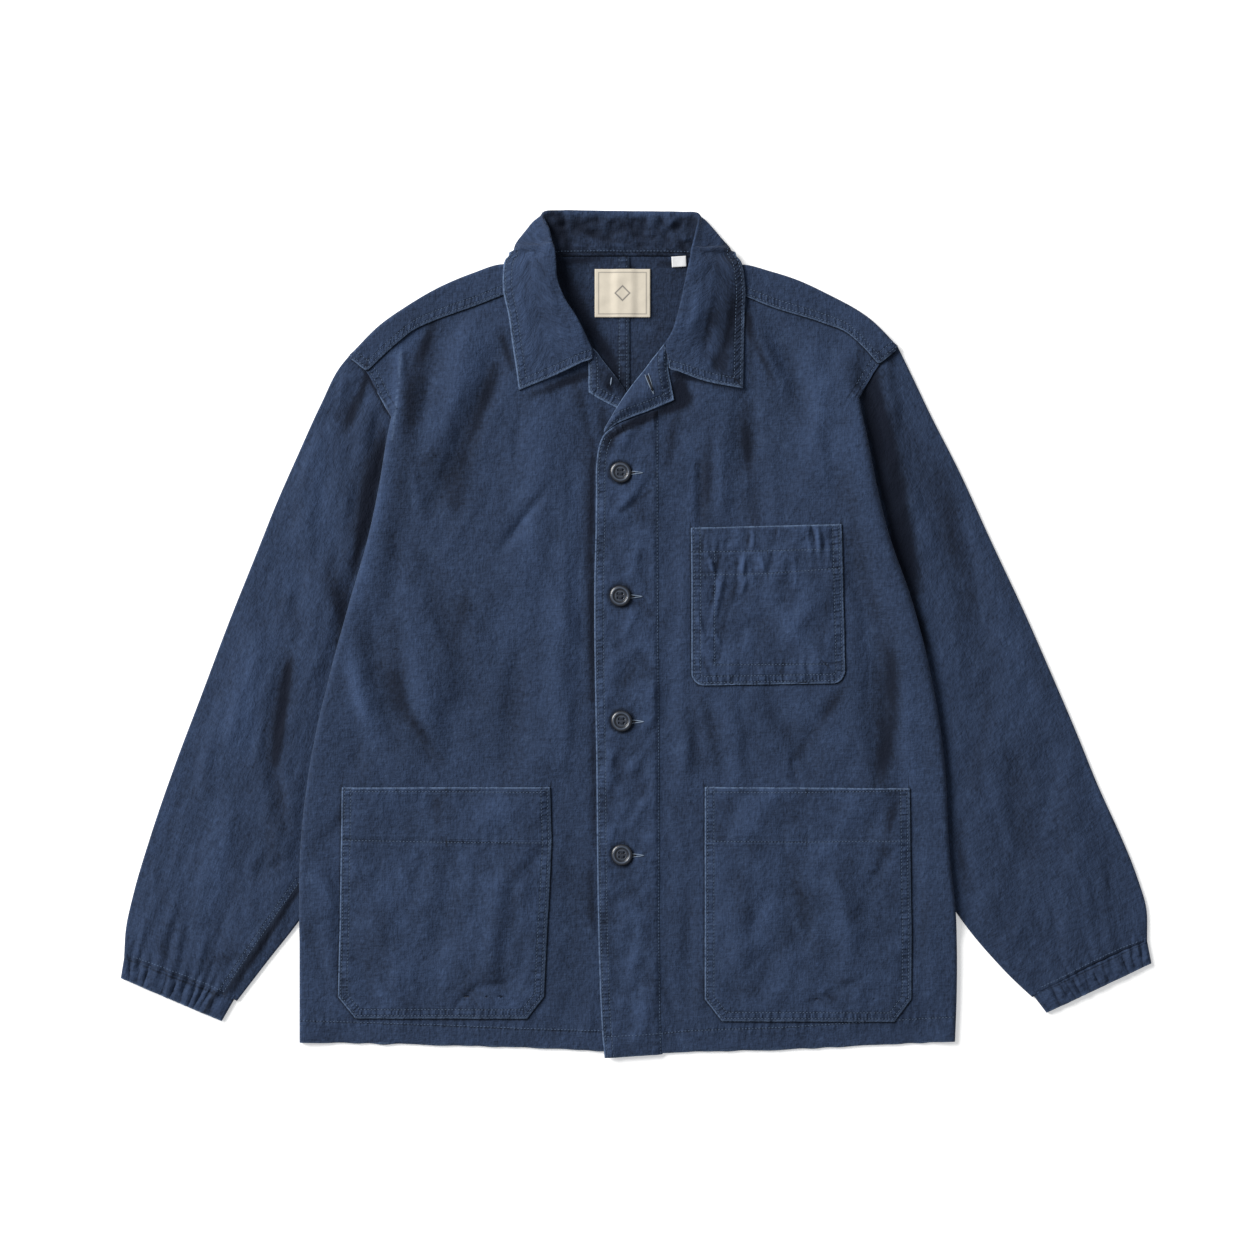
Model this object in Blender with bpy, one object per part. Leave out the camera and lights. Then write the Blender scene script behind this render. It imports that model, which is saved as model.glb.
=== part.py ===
"""A garment-dyed work jacket laid flat on its back, front up.

+X is the wearer's left, +Y runs from hem to collar and +Z points up from the surface that the
jacket lies on. The origin is the bottom centre of the jacket's box. Tables and named sizes are in
millimetres; meshes are in metres. "left" and "right" are the wearer's.

Every panel is a sheet: a grid of points in the middle of the cloth, given half a wall on each side.
Sheets that lie on each other share the height functions below, so that they never cross.
"""

import math

import bpy
import numpy as np

MM = 0.001

# ---------------------------------------------------------------- driving sizes, mm
CLOTH = 1.2  # wall of one layer of cloth
HALF = CLOTH / 2
COLLAR_WALL = 1.8  # two layers and their interlining
LAY = 0.45  # clear gap between layers that lie on each other
STEP = CLOTH + LAY  # from the middle of one layer to the middle of the next
SEAM_GAP = 0.5  # between pieces that meet edge to edge
ARMHOLE_GAP = 1.7  # from the middle of the armhole seam to the back panel's edge
LAP = 3.0  # how far a felled seam laps over its neighbour
SLEEVE_FLAT = 4.0  # a sleeve pressed flat under the body, outside to outside
BACK_LEVEL = HALF  # middle of the back panels, flat on the surface
UNDER_LEVEL = SLEEVE_FLAT + LAY + HALF  # middle of cloth that lies on the flat sleeve
FRONT_LEVEL = BACK_LEVEL + CLOTH + 0.6  # middle of a front where it is pressed on the back
CENTRE_X = -12.4  # centre-back seam and button line
POCKET_LIFT = STEP + 0.75  # pocket over its front, to clear the facets of both
BUTTON_RADIUS = 10.0
BUTTON_HEIGHT = 3.4
BUTTON_SIDES = 20

FRONT_COLUMNS = 15
FRONT_ROWS = 30
BACK_COLUMNS = 8
BACK_ROWS = (7, 6)  # below and above the underarm
SLEEVE_RINGS = 19
SLEEVE_TOP_POINTS = 8
CUFF_GATHERS = 11
CUFF_RINGS = 4
CUFF_LEVEL = 4.2  # middle of a cuff's upper wall
CUFF_RELIEF = 1.25  # of its gathers, each way
CUFF_START = 0.035  # share of its length that it leaves free next to the sleeve
COLLAR_SECTIONS = 35
COLLAR_POINTS = 11

# ---------------------------------------------------------------- outlines, mm
# Side fold of the body: from the hem up to where it fades on the chest.
# y, x on the wearer's right, radius there, x on the wearer's left, radius there
SIDE_FOLD = [
    (-374.2, -309.3, 2.6, 293.2, 2.6),
    (-336.4, -309.3, 2.9, 294.6, 2.9),
    (-262.8, -309.1, 3.2, 293.9, 3.4),
    (-203.0, -308.2, 3.4, 287.8, 4.0),
    (-111.0, -297.6, 3.7, 282.3, 4.8),
    (-39.3, -281.5, 3.8, 270.8, 5.6),
    (31.6, -262.2, 4.0, 252.7, 6.6),
    (93.2, -244.7, 4.3, 231.4, 7.0),
    (137.4, -235.5, 4.2, 220.5, 6.6),
    (181.5, -228.2, 3.8, 212.0, 5.2),
    (211.0, -222.2, 3.0, 205.8, 3.6),
    (241.3, -218.0, 2.8, 201.5, 3.0),
    (270.8, -214.4, 2.8, 198.7, 3.0),
]

# Armhole seam, from the shoulder tip past the side fold to the hidden underarm point, then the
# sleeve's inner edge down to the cuff.
ARMHOLE = {
    "right": [(-262.5, 257.4), (-246.5, 243.2), (-229.2, 211.9), (-222.6, 201.8), (-183.1, 140.1),
              (-134.3, 68.4)],
    "left": [(240.1, 265.2), (222.0, 249.6), (207.9, 227.5), (200.6, 215.6), (169.3, 149.3), (132.5, 68.4)],
}
ARMHOLE_TIP_ROW = {"right": 206.4, "left": 217.4}  # where the side fold starts to cover it
SLEEVE_INNER = {
    "right": [(-134.3, 68.4), (-165.6, 7.6), (-238.3, -134.0), (-311.0, -264.3), (-339.5, -300.6),
              (-367.6, -337.2)],
    "left": [(132.5, 68.4), (167.4, 4.0), (231.8, -132.2), (294.7, -255.3), (314.5, -281.0),
             (336.4, -304.4), (365.1, -331.6)],
}
SLEEVE_OUTER = {
    "right": [(-262.5, 257.4), (-272.3, 245.0), (-288.4, 211.0), (-309.1, 160.4), (-336.7, 100.6),
              (-367.1, 28.8), (-401.1, -60.4), (-424.1, -121.2), (-448.0, -191.1), (-462.3, -239.8),
              (-469.2, -272.0), (-470.8, -296.9)],
    "left": [(240.1, 265.2), (252.1, 240.4), (270.5, 201.8), (295.8, 152.1), (325.7, 86.8),
             (357.9, 17.8), (390.1, -55.8), (422.3, -129.4), (445.3, -181.9), (461.8, -226.0),
             (469.2, -251.8), (470.1, -282.2)],
}
CUFF_SEAM = {
    "right": [(-470.8, -296.9), (-439.1, -307.6), (-406.7, -319.7), (-370.3, -335.5)],
    "left": [(470.1, -282.2), (436.1, -296.0), (401.1, -313.4), (365.7, -331.4)],
}
CUFF_MOUTH = {
    "right": [(-474.0, -316.7), (-445.3, -328.2), (-412.2, -342.4), (-382.0, -355.9)],
    "left": [(474.2, -303.0), (443.4, -316.7), (411.2, -332.8), (378.5, -348.2)],
}
SIDE_SEAM_HEM = {"right": -285.2, "left": 269.6}

SHOULDER_FOLD = {
    "right": [(-82.8, 339.8), (-104.9, 339.2), (-125.1, 340.1), (-149.1, 332.6), (-186.1, 316.6),
              (-210.7, 301.9), (-235.3, 284.6), (-262.5, 257.4)],
    "left": [(58.0, 339.3), (79.1, 338.7), (99.4, 339.8), (123.5, 333.9), (148.1, 326.0),
             (172.7, 314.7), (215.8, 289.5), (240.1, 265.2)],
}
FORWARD_SEAM = {
    "right": [(-82.8, 326.9), (-122.6, 312.2), (-149.1, 302.0), (-187.3, 288.2), (-203.3, 280.9),
              (-220.6, 267.4), (-246.5, 243.2)],
    "left": [(58.0, 326.0), (100.6, 311.1), (123.5, 301.9), (172.7, 286.4), (192.5, 278.4),
             (207.2, 266.2), (222.0, 249.6)],
}

# Front edge of each front, from the hem up, then its lapel's roll line and its neck edge.
FRONT_EDGE = {
    "right": [(8.3, -381.5), (8.3, -244.4), (8.3, -97.2), (8.3, 40.8), (8.3, 146.6), (3.7, 192.6),
              (-8.7, 221.1), (-23.0, 238.6), (-38.3, 259.7), (-54.3, 280.0), (-68.1, 302.0),
              (-82.8, 326.9)],
    "left": [(-29.0, -383.8), (-33.1, -301.5), (-35.9, -134.0), (-36.8, 68.4), (-35.4, 151.2),
             (-30.8, 176.0), (-9.2, 220.6), (7.9, 241.3), (26.6, 266.6), (37.7, 284.6), (48.8, 304.8),
             (58.0, 326.0)],
}
HEM = {
    "right": [(8.3, -381.5), (-33.1, -382.0), (-69.9, -380.1), (-171.1, -376.9), (-253.9, -374.9),
              (-307.3, -374.2)],
    "left": [(-29.0, -383.8), (23.9, -384.7), (49.7, -383.8), (134.8, -381.8), (219.9, -377.4),
             (290.7, -374.2)],
}
BACK_HEM_Y = -371.4
NECK_EDGE_Y = 347.6

# ---------------------------------------------------------------- folds of the fronts, mm
# Each row is a soft ridge (height above zero) or trough (below), from one end to the other.
# x0, y0, x1, y1, width, height
FOLDS = {
    "right": [
        (-219.0, 261.6, -221.7, 178.8, 16, 2.6),
        (-185.8, 287.3, -207.9, 178.8, 26, -3.8),
        (-152.7, 280.0, -180.3, 169.6, 24, 2.6),
        (-120.5, 266.2, -152.7, 188.0, 20, -3.8),
        (-152.7, 188.0, -189.5, 114.4, 20, -3.2),
        (-83.7, 197.2, -106.7, -5.2, 34, 2.9),
        (-270.5, -5.2, -242.9, -83.4, 16, 3.2),
        (-252.1, 22.4, -217.1, -101.8, 18, -2.9),
        (-224.5, 123.6, -224.5, 40.8, 20, -1.9),
        (-189.5, 68.4, -152.7, -60.4, 24, -3.2),
        (-207.9, 13.2, -180.3, -124.8, 26, 2.6),
        (-125.1, 77.6, -81.0, 134.6, 10, -1.6),
        (-106.7, -14.4, -120.5, -134.0, 24, -2.2),
        (-69.9, 68.4, -71.8, -115.6, 26, 2.9),
        (-46.0, 178.8, -44.2, -60.4, 14, -2.9),
        (-56.1, -170.8, -53.4, -336.4, 20, -2.2),
        (-288.9, -216.8, -276.9, -336.4, 16, 1.9),
        (-249.3, -226.0, -217.1, -336.4, 24, 2.2),
        (-171.1, -207.6, -189.5, -336.4, 26, -1.9),
        (-125.1, -216.8, -134.3, -336.4, 24, 2.2),
    ],
    "left": [
        (102.1, 291.9, 134.3, 229.4, 14, 2.9),
        (123.3, 289.2, 161.9, 197.2, 18, -2.9),
        (100.3, 218.3, 100.3, 155.8, 24, -4.2),
        (161.9, 266.2, 171.1, 151.2, 26, 2.9),
        (58.9, 165.0, 58.9, 96.0, 9, -1.9),
        (77.3, 178.8, 79.1, 105.2, 14, 1.9),
        (196.9, 215.6, 213.4, 105.2, 16, 2.6),
        (192.3, 142.0, 217.1, 13.2, 20, -3.2),
        (213.4, 31.6, 224.5, -115.6, 22, -3.2),
        (242.9, -5.2, 256.7, -134.0, 18, 2.9),
        (49.7, -60.4, 58.9, -124.8, 16, -2.2),
        (123.3, -60.4, 161.9, -124.8, 18, -2.6),
        (141.7, -51.2, 187.7, -101.8, 18, 2.2),
        (86.5, -60.4, 93.8, -134.0, 20, 2.2),
        (40.5, 68.4, 42.3, -115.6, 16, 1.6),
        (49.7, -207.6, 47.8, -336.4, 14, -1.6),
        (265.9, -207.6, 275.1, -336.4, 14, 1.9),
        (132.5, -207.6, 150.9, -299.6, 26, -2.2),
        (187.7, -216.8, 196.9, -327.2, 28, 2.6),
        (95.7, -226.0, 100.3, -336.4, 24, 2.2),
    ],
}
SLEEVE_FOLDS = {
    "right": [
        (-242.9, 238.6, -263.1, 178.8, 16, -1.6),
        (-281.5, 188.0, -309.1, 68.4, 26, 1.9),
        (-240.1, 169.6, -276.9, 40.8, 20, -2.6),
        (-322.9, -32.8, -338.6, -111.0, 16, -2.9),
        (-338.6, -111.0, -318.3, -181.9, 14, -2.2),
        (-355.1, -5.2, -378.1, -115.6, 24, 2.2),
        (-408.5, -115.6, -437.9, -198.4, 12, -1.9),
        (-373.5, -152.4, -401.1, -262.8, 24, 1.6),
        (-447.1, -249.0, -456.3, -290.4, 9, 1.6),
        (-424.1, -262.8, -433.3, -301.5, 9, -1.4),
        (-396.5, -276.6, -404.8, -313.4, 10, 1.4),
    ],
    "left": [
        (247.5, 197.2, 298.1, 68.4, 24, -2.9),
        (284.3, 178.8, 325.7, -60.4, 26, -2.6),
        (311.9, 105.2, 371.7, -60.4, 26, 2.6),
        (298.1, -5.2, 334.9, -152.4, 26, 1.9),
        (344.1, -115.6, 362.5, -207.6, 18, -2.2),
        (390.1, -115.6, 413.1, -226.0, 22, 1.9),
        (431.5, -198.4, 443.4, -285.8, 10, -1.4),
        (413.1, -235.2, 422.3, -295.0, 10, 1.4),
        (380.9, -244.4, 391.9, -304.2, 10, -1.3),
    ],
}

# ---------------------------------------------------------------- collar and lapels, mm
# One row for each section, from the centre back to the front end of the fall.
# seam x, y, z; roll x, y, z; middle of the fall x, y, z; outer edge x, y, z
COLLAR = {
    "right": [
        (-42.3, 348.5, 5.1, -42.3, 388.7, 6.0, -42.3, 379.3, 1.0, -42.3, 341.6, 0.95),
        (-69.9, 348.0, 5.2, -68.1, 389.0, 6.5, -69.0, 380.2, 1.0, -69.0, 341.6, 0.95),
        (-78.2, 346.2, 5.6, -85.6, 387.1, 8.0, -86.9, 383.9, 3.6, -76.4, 343.4, 0.95),
        (-80.0, 343.4, 6.2, -81.4, 373.8, 13.2, -97.1, 372.4, 4.8, -87.4, 343.4, 0.95),
        (-81.9, 339.8, 7.6, -77.7, 360.9, 16.0, -107.2, 359.5, 4.4, -101.2, 346.2, 0.95),
        (-82.8, 338.4, 7.9, -76.5, 357.2, 16.8, -107.6, 354.0, 7.0, -112.7, 351.3, 2.2),
        (-83.7, 337.0, 8.2, -75.4, 353.6, 17.4, -100.3, 349.9, 9.6, -117.0, 347.7, 4.3),
        (-84.6, 333.3, 8.6, -74.1, 342.5, 18.0, -96.6, 338.8, 14.2, -121.4, 340.7, 7.6),
        (-83.7, 324.1, 8.0, -72.7, 325.0, 18.0, -95.7, 319.5, 14.4, -122.0, 316.8, 7.6),
        (-77.3, 308.5, 8.0, -65.3, 306.6, 17.0, -90.2, 297.4, 13.0, -117.3, 293.8, 6.8),
        (-68.1, 293.8, 7.6, -54.3, 289.6, 15.2, -83.7, 273.5, 10.0, -114.1, 269.8, 6.4),
        (-57.0, 277.2, 7.0, -41.4, 262.5, 10.0, -76.4, 250.5, 8.6, -110.4, 245.0, 6.4),
        (-51.5, 268.0, 6.9, -40.5, 254.2, 9.2, -73.6, 238.6, 8.2, -107.8, 224.5, 6.6),
    ],
    "left": [
        (17.5, 348.5, 5.1, 17.5, 388.0, 6.0, 17.5, 379.3, 1.0, 17.5, 341.6, 0.95),
        (44.2, 348.0, 5.2, 41.4, 387.6, 6.5, 42.3, 379.3, 1.0, 43.2, 341.6, 0.95),
        (53.4, 346.2, 5.6, 57.8, 385.8, 8.0, 59.3, 383.0, 3.6, 50.6, 343.4, 0.95),
        (55.2, 343.4, 6.2, 56.1, 371.0, 13.2, 70.7, 372.4, 4.8, 61.6, 343.4, 0.95),
        (57.0, 339.8, 7.6, 52.4, 357.2, 16.0, 83.3, 356.8, 4.4, 77.3, 346.2, 0.95),
        (57.5, 338.4, 7.9, 51.5, 354.0, 16.8, 83.7, 353.1, 7.0, 88.1, 351.3, 2.2),
        (58.0, 337.0, 8.2, 51.1, 350.8, 17.4, 76.4, 349.0, 9.6, 91.6, 347.5, 4.3),
        (59.8, 333.3, 8.6, 49.7, 342.5, 18.0, 73.6, 338.8, 14.2, 97.2, 340.3, 7.6),
        (58.9, 322.3, 8.0, 46.9, 330.6, 18.0, 73.6, 320.4, 14.4, 100.3, 316.8, 7.6),
        (53.4, 305.7, 8.0, 42.0, 306.6, 17.0, 70.8, 296.5, 13.0, 99.7, 292.8, 6.8),
        (46.0, 291.0, 7.6, 35.1, 280.9, 15.2, 68.1, 271.7, 10.0, 99.2, 268.0, 6.4),
        (38.6, 276.3, 7.0, 28.5, 265.7, 10.0, 64.4, 250.5, 8.6, 98.8, 245.0, 6.4),
        (35.9, 265.2, 6.9, 31.3, 244.5, 8.6, 61.6, 233.4, 8.0, 98.4, 226.2, 6.6),
    ],
}
COLLAR_CENTRE = (-12.4, 348.5, 5.0, -12.4, 388.3, 6.0, -12.4, 379.3, 1.0, -12.4, 341.6, 0.95)

# One row across the lapel each: roll line x, y; outer edge x, y; height of the roll
LAPELS = {
    "right": [
        (-40.5, 262.0, -45.1, 258.8, 2.2),
        (-36.8, 258.3, -43.7, 244.7, 2.6),
        (-30.4, 250.1, -43.8, 229.4, 2.6),
        (-25.8, 244.1, -43.4, 222.5, 2.4),
        (-19.8, 236.3, -33.6, 216.5, 2.0),
        (-13.8, 228.4, -23.9, 211.4, 1.2),
        (-8.7, 221.1, -15.6, 207.3, 0.6),
    ],
    "left": [
        (26.2, 265.7, 28.5, 262.5, 2.0),
        (18.9, 256.0, 29.6, 242.7, 3.0),
        (9.2, 243.2, 35.1, 215.6, 3.4),
        (-1.8, 229.8, 10.1, 204.9, 3.5),
        (-10.1, 218.3, -3.7, 200.1, 3.0),
        (-18.4, 205.4, -17.9, 194.0, 2.6),
        (-29.0, 188.0, -29.3, 185.6, 1.2),
    ],
}
LAPEL_COLUMNS = 4
LAPEL_STEPS = 2

# ---------------------------------------------------------------- band, pockets, buttons, labels, mm
BAND_EDGE = [(-28.9, -388.2), (-30.8, -368.6), (-33.9, -301.5), (-35.6, -216.8), (-36.3, -134.0),
             (-37.9, 68.4), (-37.1, 96.9), (-36.8, 123.6), (-36.2, 160.4), (-34.1, 173.2),
             (-29.8, 183.4), (-18.6, 192.2), (-4.3, 198.1), (6.7, 202.1), (14.7, 205.4)]
BAND_SIDE_X = -35.9  # where its edge starts to curve away
BAND_SEAM = [(24.2, -385.8), (23.2, -336.4), (22.5, -134.0), (21.2, 68.4), (21.2, 207.3)]
BAND_COLUMNS = 4
BAND_ROWS = 36

# One row across each pocket: y, left x, right x, rise of its right end, puff of its middle
POCKETS = {
    "pocket_chest": ("left", [
        (98.0, 50.5, 188.8, 3.0, 0.0),
        (77.6, 50.8, 189.3, 3.0, 0.4),
        (54.6, 51.0, 189.9, 3.0, 0.7),
        (31.6, 51.0, 190.4, 3.0, 0.9),
        (5.8, 51.0, 191.2, 3.0, 0.9),
        (-20.0, 51.0, 191.7, 3.0, 0.6),
        (-37.4, 51.1, 192.1, 3.0, 0.3),
        (-47.1, 57.2, 187.7, 2.0, 0.0),
    ]),
    "pocket_lower_right": ("right", [
        (-140.7, -270.1, -79.2, 0.0, 0.0),
        (-166.2, -270.5, -78.4, 0.0, 0.8),
        (-190.2, -270.8, -77.7, 0.0, 1.2),
        (-216.8, -271.4, -78.8, 0.0, 1.4),
        (-244.4, -272.0, -80.2, 0.0, 1.4),
        (-272.0, -272.5, -81.9, 0.0, 1.2),
        (-304.2, -273.4, -83.4, 0.0, 0.9),
        (-333.2, -274.1, -84.7, 0.0, 0.4),
        (-353.4, -258.1, -100.3, 0.0, 0.0),
    ]),
    "pocket_lower_left": ("left", [
        (-140.5, 63.3, 251.3, -1.0, 0.0),
        (-166.2, 63.3, 251.6, -0.5, 0.8),
        (-190.2, 63.3, 251.9, 0.0, 1.2),
        (-216.8, 63.3, 252.2, 0.0, 1.4),
        (-244.4, 63.3, 252.8, 0.0, 1.4),
        (-272.0, 63.3, 253.5, 0.0, 1.2),
        (-304.2, 63.3, 253.3, 0.0, 0.9),
        (-335.5, 63.3, 253.0, 0.0, 0.4),
        (-355.8, 79.1, 237.4, -0.6, 0.0),
    ]),
}
POCKET_COLUMNS = 9

BUTTONS = [(-14.2, 149.1), (-14.7, 35.4), (-13.4, -79.7), (-13.1, -202.7)]
LABELS = {
    "label_neck": ((-38.0, 291.9), (13.1, 336.1)),
    "label_size": ((32.6, 337.7), (46.0, 347.5)),
}
LABEL_WALL = 1.0

# ---------------------------------------------------------------- finishes: colour, roughness, metallic
FINISHES = {
    "navy_cloth": ((0.032, 0.050, 0.094), 0.90, 0.0),
    "navy_collar": ((0.032, 0.050, 0.094), 0.90, 0.0),
    "button_resin": ((0.020, 0.021, 0.024), 0.35, 0.0),
    "label_cotton": ((0.74, 0.70, 0.60), 0.85, 0.0),
    "label_white": ((0.84, 0.85, 0.86), 0.80, 0.0),
}

OUTWARD = {"right": -1.0, "left": 1.0}  # the side's direction along X
LOFT = 3.2  # air under a front away from its pressed edges
NECK_LIFT = 2.3  # the back lies this much higher over the collar's fall
NECK_HALF_WIDTH = 140.0
SHOULDER_BAND_ROWS = 2
FOLD_STEPS = 4


# ---------------------------------------------------------------- curves
def smooth(value):
    """0 below 0, 1 above 1 and an eased ramp between."""
    value = np.clip(value, 0.0, 1.0)
    return value * value * (3.0 - 2.0 * value)


class Line:
    """A smooth curve through the rows of a table, read by its length or by one coordinate."""

    def __init__(self, rows, steps=16):
        knots = np.array(rows, float)
        length = np.r_[0.0, np.cumsum(np.linalg.norm(np.diff(knots[:, :2], axis=0), axis=1))]
        curved = len(knots) > 2
        slope = np.gradient(knots, length, axis=0) if curved else np.diff(knots, axis=0) / length[-1]
        slope = np.broadcast_to(slope, knots.shape)
        dense = [knots[:1]]
        for i in range(len(knots) - 1):
            span = length[i + 1] - length[i]
            t = np.linspace(0.0, 1.0, steps + 1)[1:, None]
            dense.append(
                knots[i] * (2 * t**3 - 3 * t**2 + 1) + knots[i + 1] * (3 * t**2 - 2 * t**3)
                + span * (slope[i] * (t**3 - 2 * t**2 + t) + slope[i + 1] * (t**3 - t**2))
            )
        self.dense = np.concatenate(dense)
        steps_long = np.linalg.norm(np.diff(self.dense[:, :2], axis=0), axis=1)
        self.t = np.r_[0.0, np.cumsum(steps_long)] / steps_long.sum()

    def at(self, t):
        """Points at these shares of the length."""
        columns = [np.interp(t, self.t, self.dense[:, k]) for k in range(self.dense.shape[1])]
        return np.stack(columns, axis=-1)

    def by(self, value, axis, wanted):
        """The wanted coordinate where the curve's coordinate along axis has this value."""
        order = np.argsort(self.dense[:, axis])
        return np.interp(value, self.dense[order, axis], self.dense[order, wanted])


SIDE_LINE = {
    "right": Line([(y, xr, rr) for y, xr, rr, xl, rl in SIDE_FOLD]),
    "left": Line([(y, xl, rl) for y, xr, rr, xl, rl in SIDE_FOLD]),
}
ARMHOLE_LINE = {side: Line(rows) for side, rows in ARMHOLE.items()}
INNER_LINE = {side: Line(ARMHOLE[side] + SLEEVE_INNER[side][1:]) for side in ARMHOLE}
OUTER_LINE = {side: Line(rows) for side, rows in SLEEVE_OUTER.items()}
FRONT_LINE = {side: Line(rows) for side, rows in FRONT_EDGE.items()}
HEM_LINE = {side: Line(rows) for side, rows in HEM.items()}
FOLD_LINE = {side: Line(rows) for side, rows in SHOULDER_FOLD.items()}
SEAM_LINE = {side: Line(rows) for side, rows in FORWARD_SEAM.items()}
UNDERARM = {side: ARMHOLE[side][-1] for side in ARMHOLE}


# ---------------------------------------------------------------- heights of the layers
def fold_relief(rows, x, y):
    """Sum of the soft ridges and troughs of a fold table."""
    total = np.zeros(np.broadcast(x, y).shape)
    for x0, y0, x1, y1, width, height in rows:
        dx, dy = x1 - x0, y1 - y0
        along = np.clip(((x - x0) * dx + (y - y0) * dy) / (dx * dx + dy * dy), 0.0, 1.0)
        away = np.hypot(x - x0 - along * dx, y - y0 - along * dy)
        profile = np.exp(-((away / (0.5 * width)) ** 2))
        total = total + height * (0.45 + 0.55 * np.sin(math.pi * along)) * profile
    return total


def past_side(side, x, y):
    """How far a point lies outside the body's side fold."""
    return OUTWARD[side] * (x - SIDE_LINE[side].by(y, 0, 1))


def into_sleeve(side, x, y):
    """How far a point lies inside the sleeve's inner edge and the armhole."""
    return 0.88 * OUTWARD[side] * (x - INNER_LINE[side].by(y, 1, 0))


def neck_lift(x, y):
    """Rise of the body where the collar's fall lies under it."""
    across = smooth((NECK_HALF_WIDTH - np.abs(x - CENTRE_X)) / 46.0)
    return NECK_LIFT * across * smooth((y - 275.4) / (337.9 - 275.4))


def sleeve_top(side, x, y):
    """Middle of a sleeve's upper wall: flat under the body, fuller where it comes out."""
    shown = smooth(past_side(side, x, y) / 42.0)
    from_outer = 0.9 * OUTWARD[side] * (OUTER_LINE[side].by(y, 1, 0) - x)
    full = 2.0 * shown * smooth(from_outer / 34.0) * smooth(into_sleeve(side, x, y) / 34.0)
    folds = shown * smooth(from_outer / 12.0) * fold_relief(SLEEVE_FOLDS[side], x, y)
    relief = full + folds
    return SLEEVE_FLAT - HALF + 0.5 * (relief + np.sqrt(relief * relief + 0.16)) - 0.2


def under_middle(side, x, y):
    """Middle of the part of a front that is turned under: over the sleeve, then down to the surface."""
    over = smooth((into_sleeve(side, x, y) + 20.0) / 20.0)
    over = np.where(y >= UNDERARM[side][1], 1.0, over)
    return BACK_LEVEL + (UNDER_LEVEL - BACK_LEVEL) * over


def front_middle(side, x, y):
    """Middle of a front's upper layer."""
    over = smooth((into_sleeve(side, x, y) + 45.0) / 41.0)
    base = FRONT_LEVEL + (UNDER_LEVEL - BACK_LEVEL) * over + neck_lift(x, y)
    if side == "left":  # it laps over the right front, and over that front's lapel
        base = base + STEP * (1.0 - smooth((x - 13.8) / (33.1 - 13.8)))
        base = base + 3.2 * np.exp(-(((x - -14.7) / 16.0) ** 2) - ((y - 211.9) / 16.0) ** 2)
    hem = smooth((y - HEM_LINE[side].by(x, 0, 1)) / 36.0)
    edge = OUTWARD[side] * (x - FRONT_LINE[side].by(y, 1, 0))
    if side == "right":  # its edge is pressed flat under the other front
        edge = np.minimum(edge, BAND_SIDE_X - x)
    else:  # the band keeps its edge flat
        edge = edge - 34.0
    shoulder = SEAM_LINE[side].by(x, 0, 1) - y
    pressed = smooth(hem) * smooth(edge / 62.0) * smooth(shoulder / 36.0)
    creased = smooth(hem) * smooth(edge / 16.0) * smooth(shoulder / 16.0)
    relief = LOFT * pressed + creased * fold_relief(FOLDS[side], x, y)
    relief = 0.5 * (relief + np.sqrt(relief * relief + 0.3))
    inside = base + relief
    fold_x = SIDE_LINE[side].by(y, 0, 1)
    radius = SIDE_LINE[side].by(y, 0, 2)
    above = np.maximum(y - ARMHOLE_TIP_ROW[side], 0.0)
    swell = 24.0 + 4.0 * radius
    near = smooth((past_side(side, x, y) + swell) / (swell - radius)) * (1.0 - smooth(above / 55.0))
    inside = (1.0 - near) * inside + near * (under_middle(side, fold_x, y) + 2.0 * radius)
    width = 8.0 + 0.5 * above
    outside = smooth((past_side(side, x, y) + 0.5 * width) / width) * (above > 0.0)
    return inside + outside * (sleeve_top(side, x, y) + STEP - inside)


def back_middle(x, y):
    return BACK_LEVEL + neck_lift(x, y)


def band_middle(x, y):
    """Middle of the buttonhole band, on the left front."""
    return front_middle("left", x, y) + STEP


def shoulder_band_middle(side, x):
    """Middle of the back's turned-over strip, on the top edge of the front."""
    seam_y = SEAM_LINE[side].by(x, 0, 1)
    return np.maximum(front_middle(side, x, seam_y), front_middle(side, x, seam_y + LAP + 1.0)) + STEP


# ---------------------------------------------------------------- meshes
def material(name):
    if name in bpy.data.materials:
        return bpy.data.materials[name]
    colour, roughness, metallic = FINISHES[name]
    made = bpy.data.materials.new(name)
    made.use_nodes = True
    shader = made.node_tree.nodes["Principled BSDF"]
    shader.inputs["Base Color"].default_value = (*colour, 1.0)
    shader.inputs["Roughness"].default_value = roughness
    shader.inputs["Metallic"].default_value = metallic
    made.diffuse_color = (*colour, 1.0)
    return made


def solid(name, points, faces, finish, wall=0.0):
    """An object from points in mm. With a wall, the points are the middle of a sheet of cloth."""
    mesh = bpy.data.meshes.new(name)
    mesh.from_pydata((np.asarray(points) * MM).tolist(), [], faces)
    mesh.update()
    mesh.shade_smooth()
    mesh.materials.append(material(finish))
    made = bpy.data.objects.new(name, mesh)
    bpy.context.scene.collection.objects.link(made)
    if wall:
        thick = made.modifiers.new("wall", "SOLIDIFY")
        thick.thickness = wall * MM
        thick.offset = 0.0
    return made


def quads(rows, columns, first=0, closed=False, keep=None):
    """Faces of a grid of rows x columns points, whose first point has this number."""
    faces = []
    for r in range(rows - 1):
        for c in range(columns if closed else columns - 1):
            if keep is None or keep(r, c):
                d = (c + 1) % columns
                a = first + r * columns
                faces.append((a + c, a + d, a + columns + d, a + columns + c))
    return faces


def between(table, steps):
    """The rows of a table with this many steps from each to the next."""
    rows = np.array(table, float)
    parts = [np.linspace(a, b, steps, endpoint=False) for a, b in zip(rows, rows[1:])]
    return np.concatenate(parts + [rows[-1:]])


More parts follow.
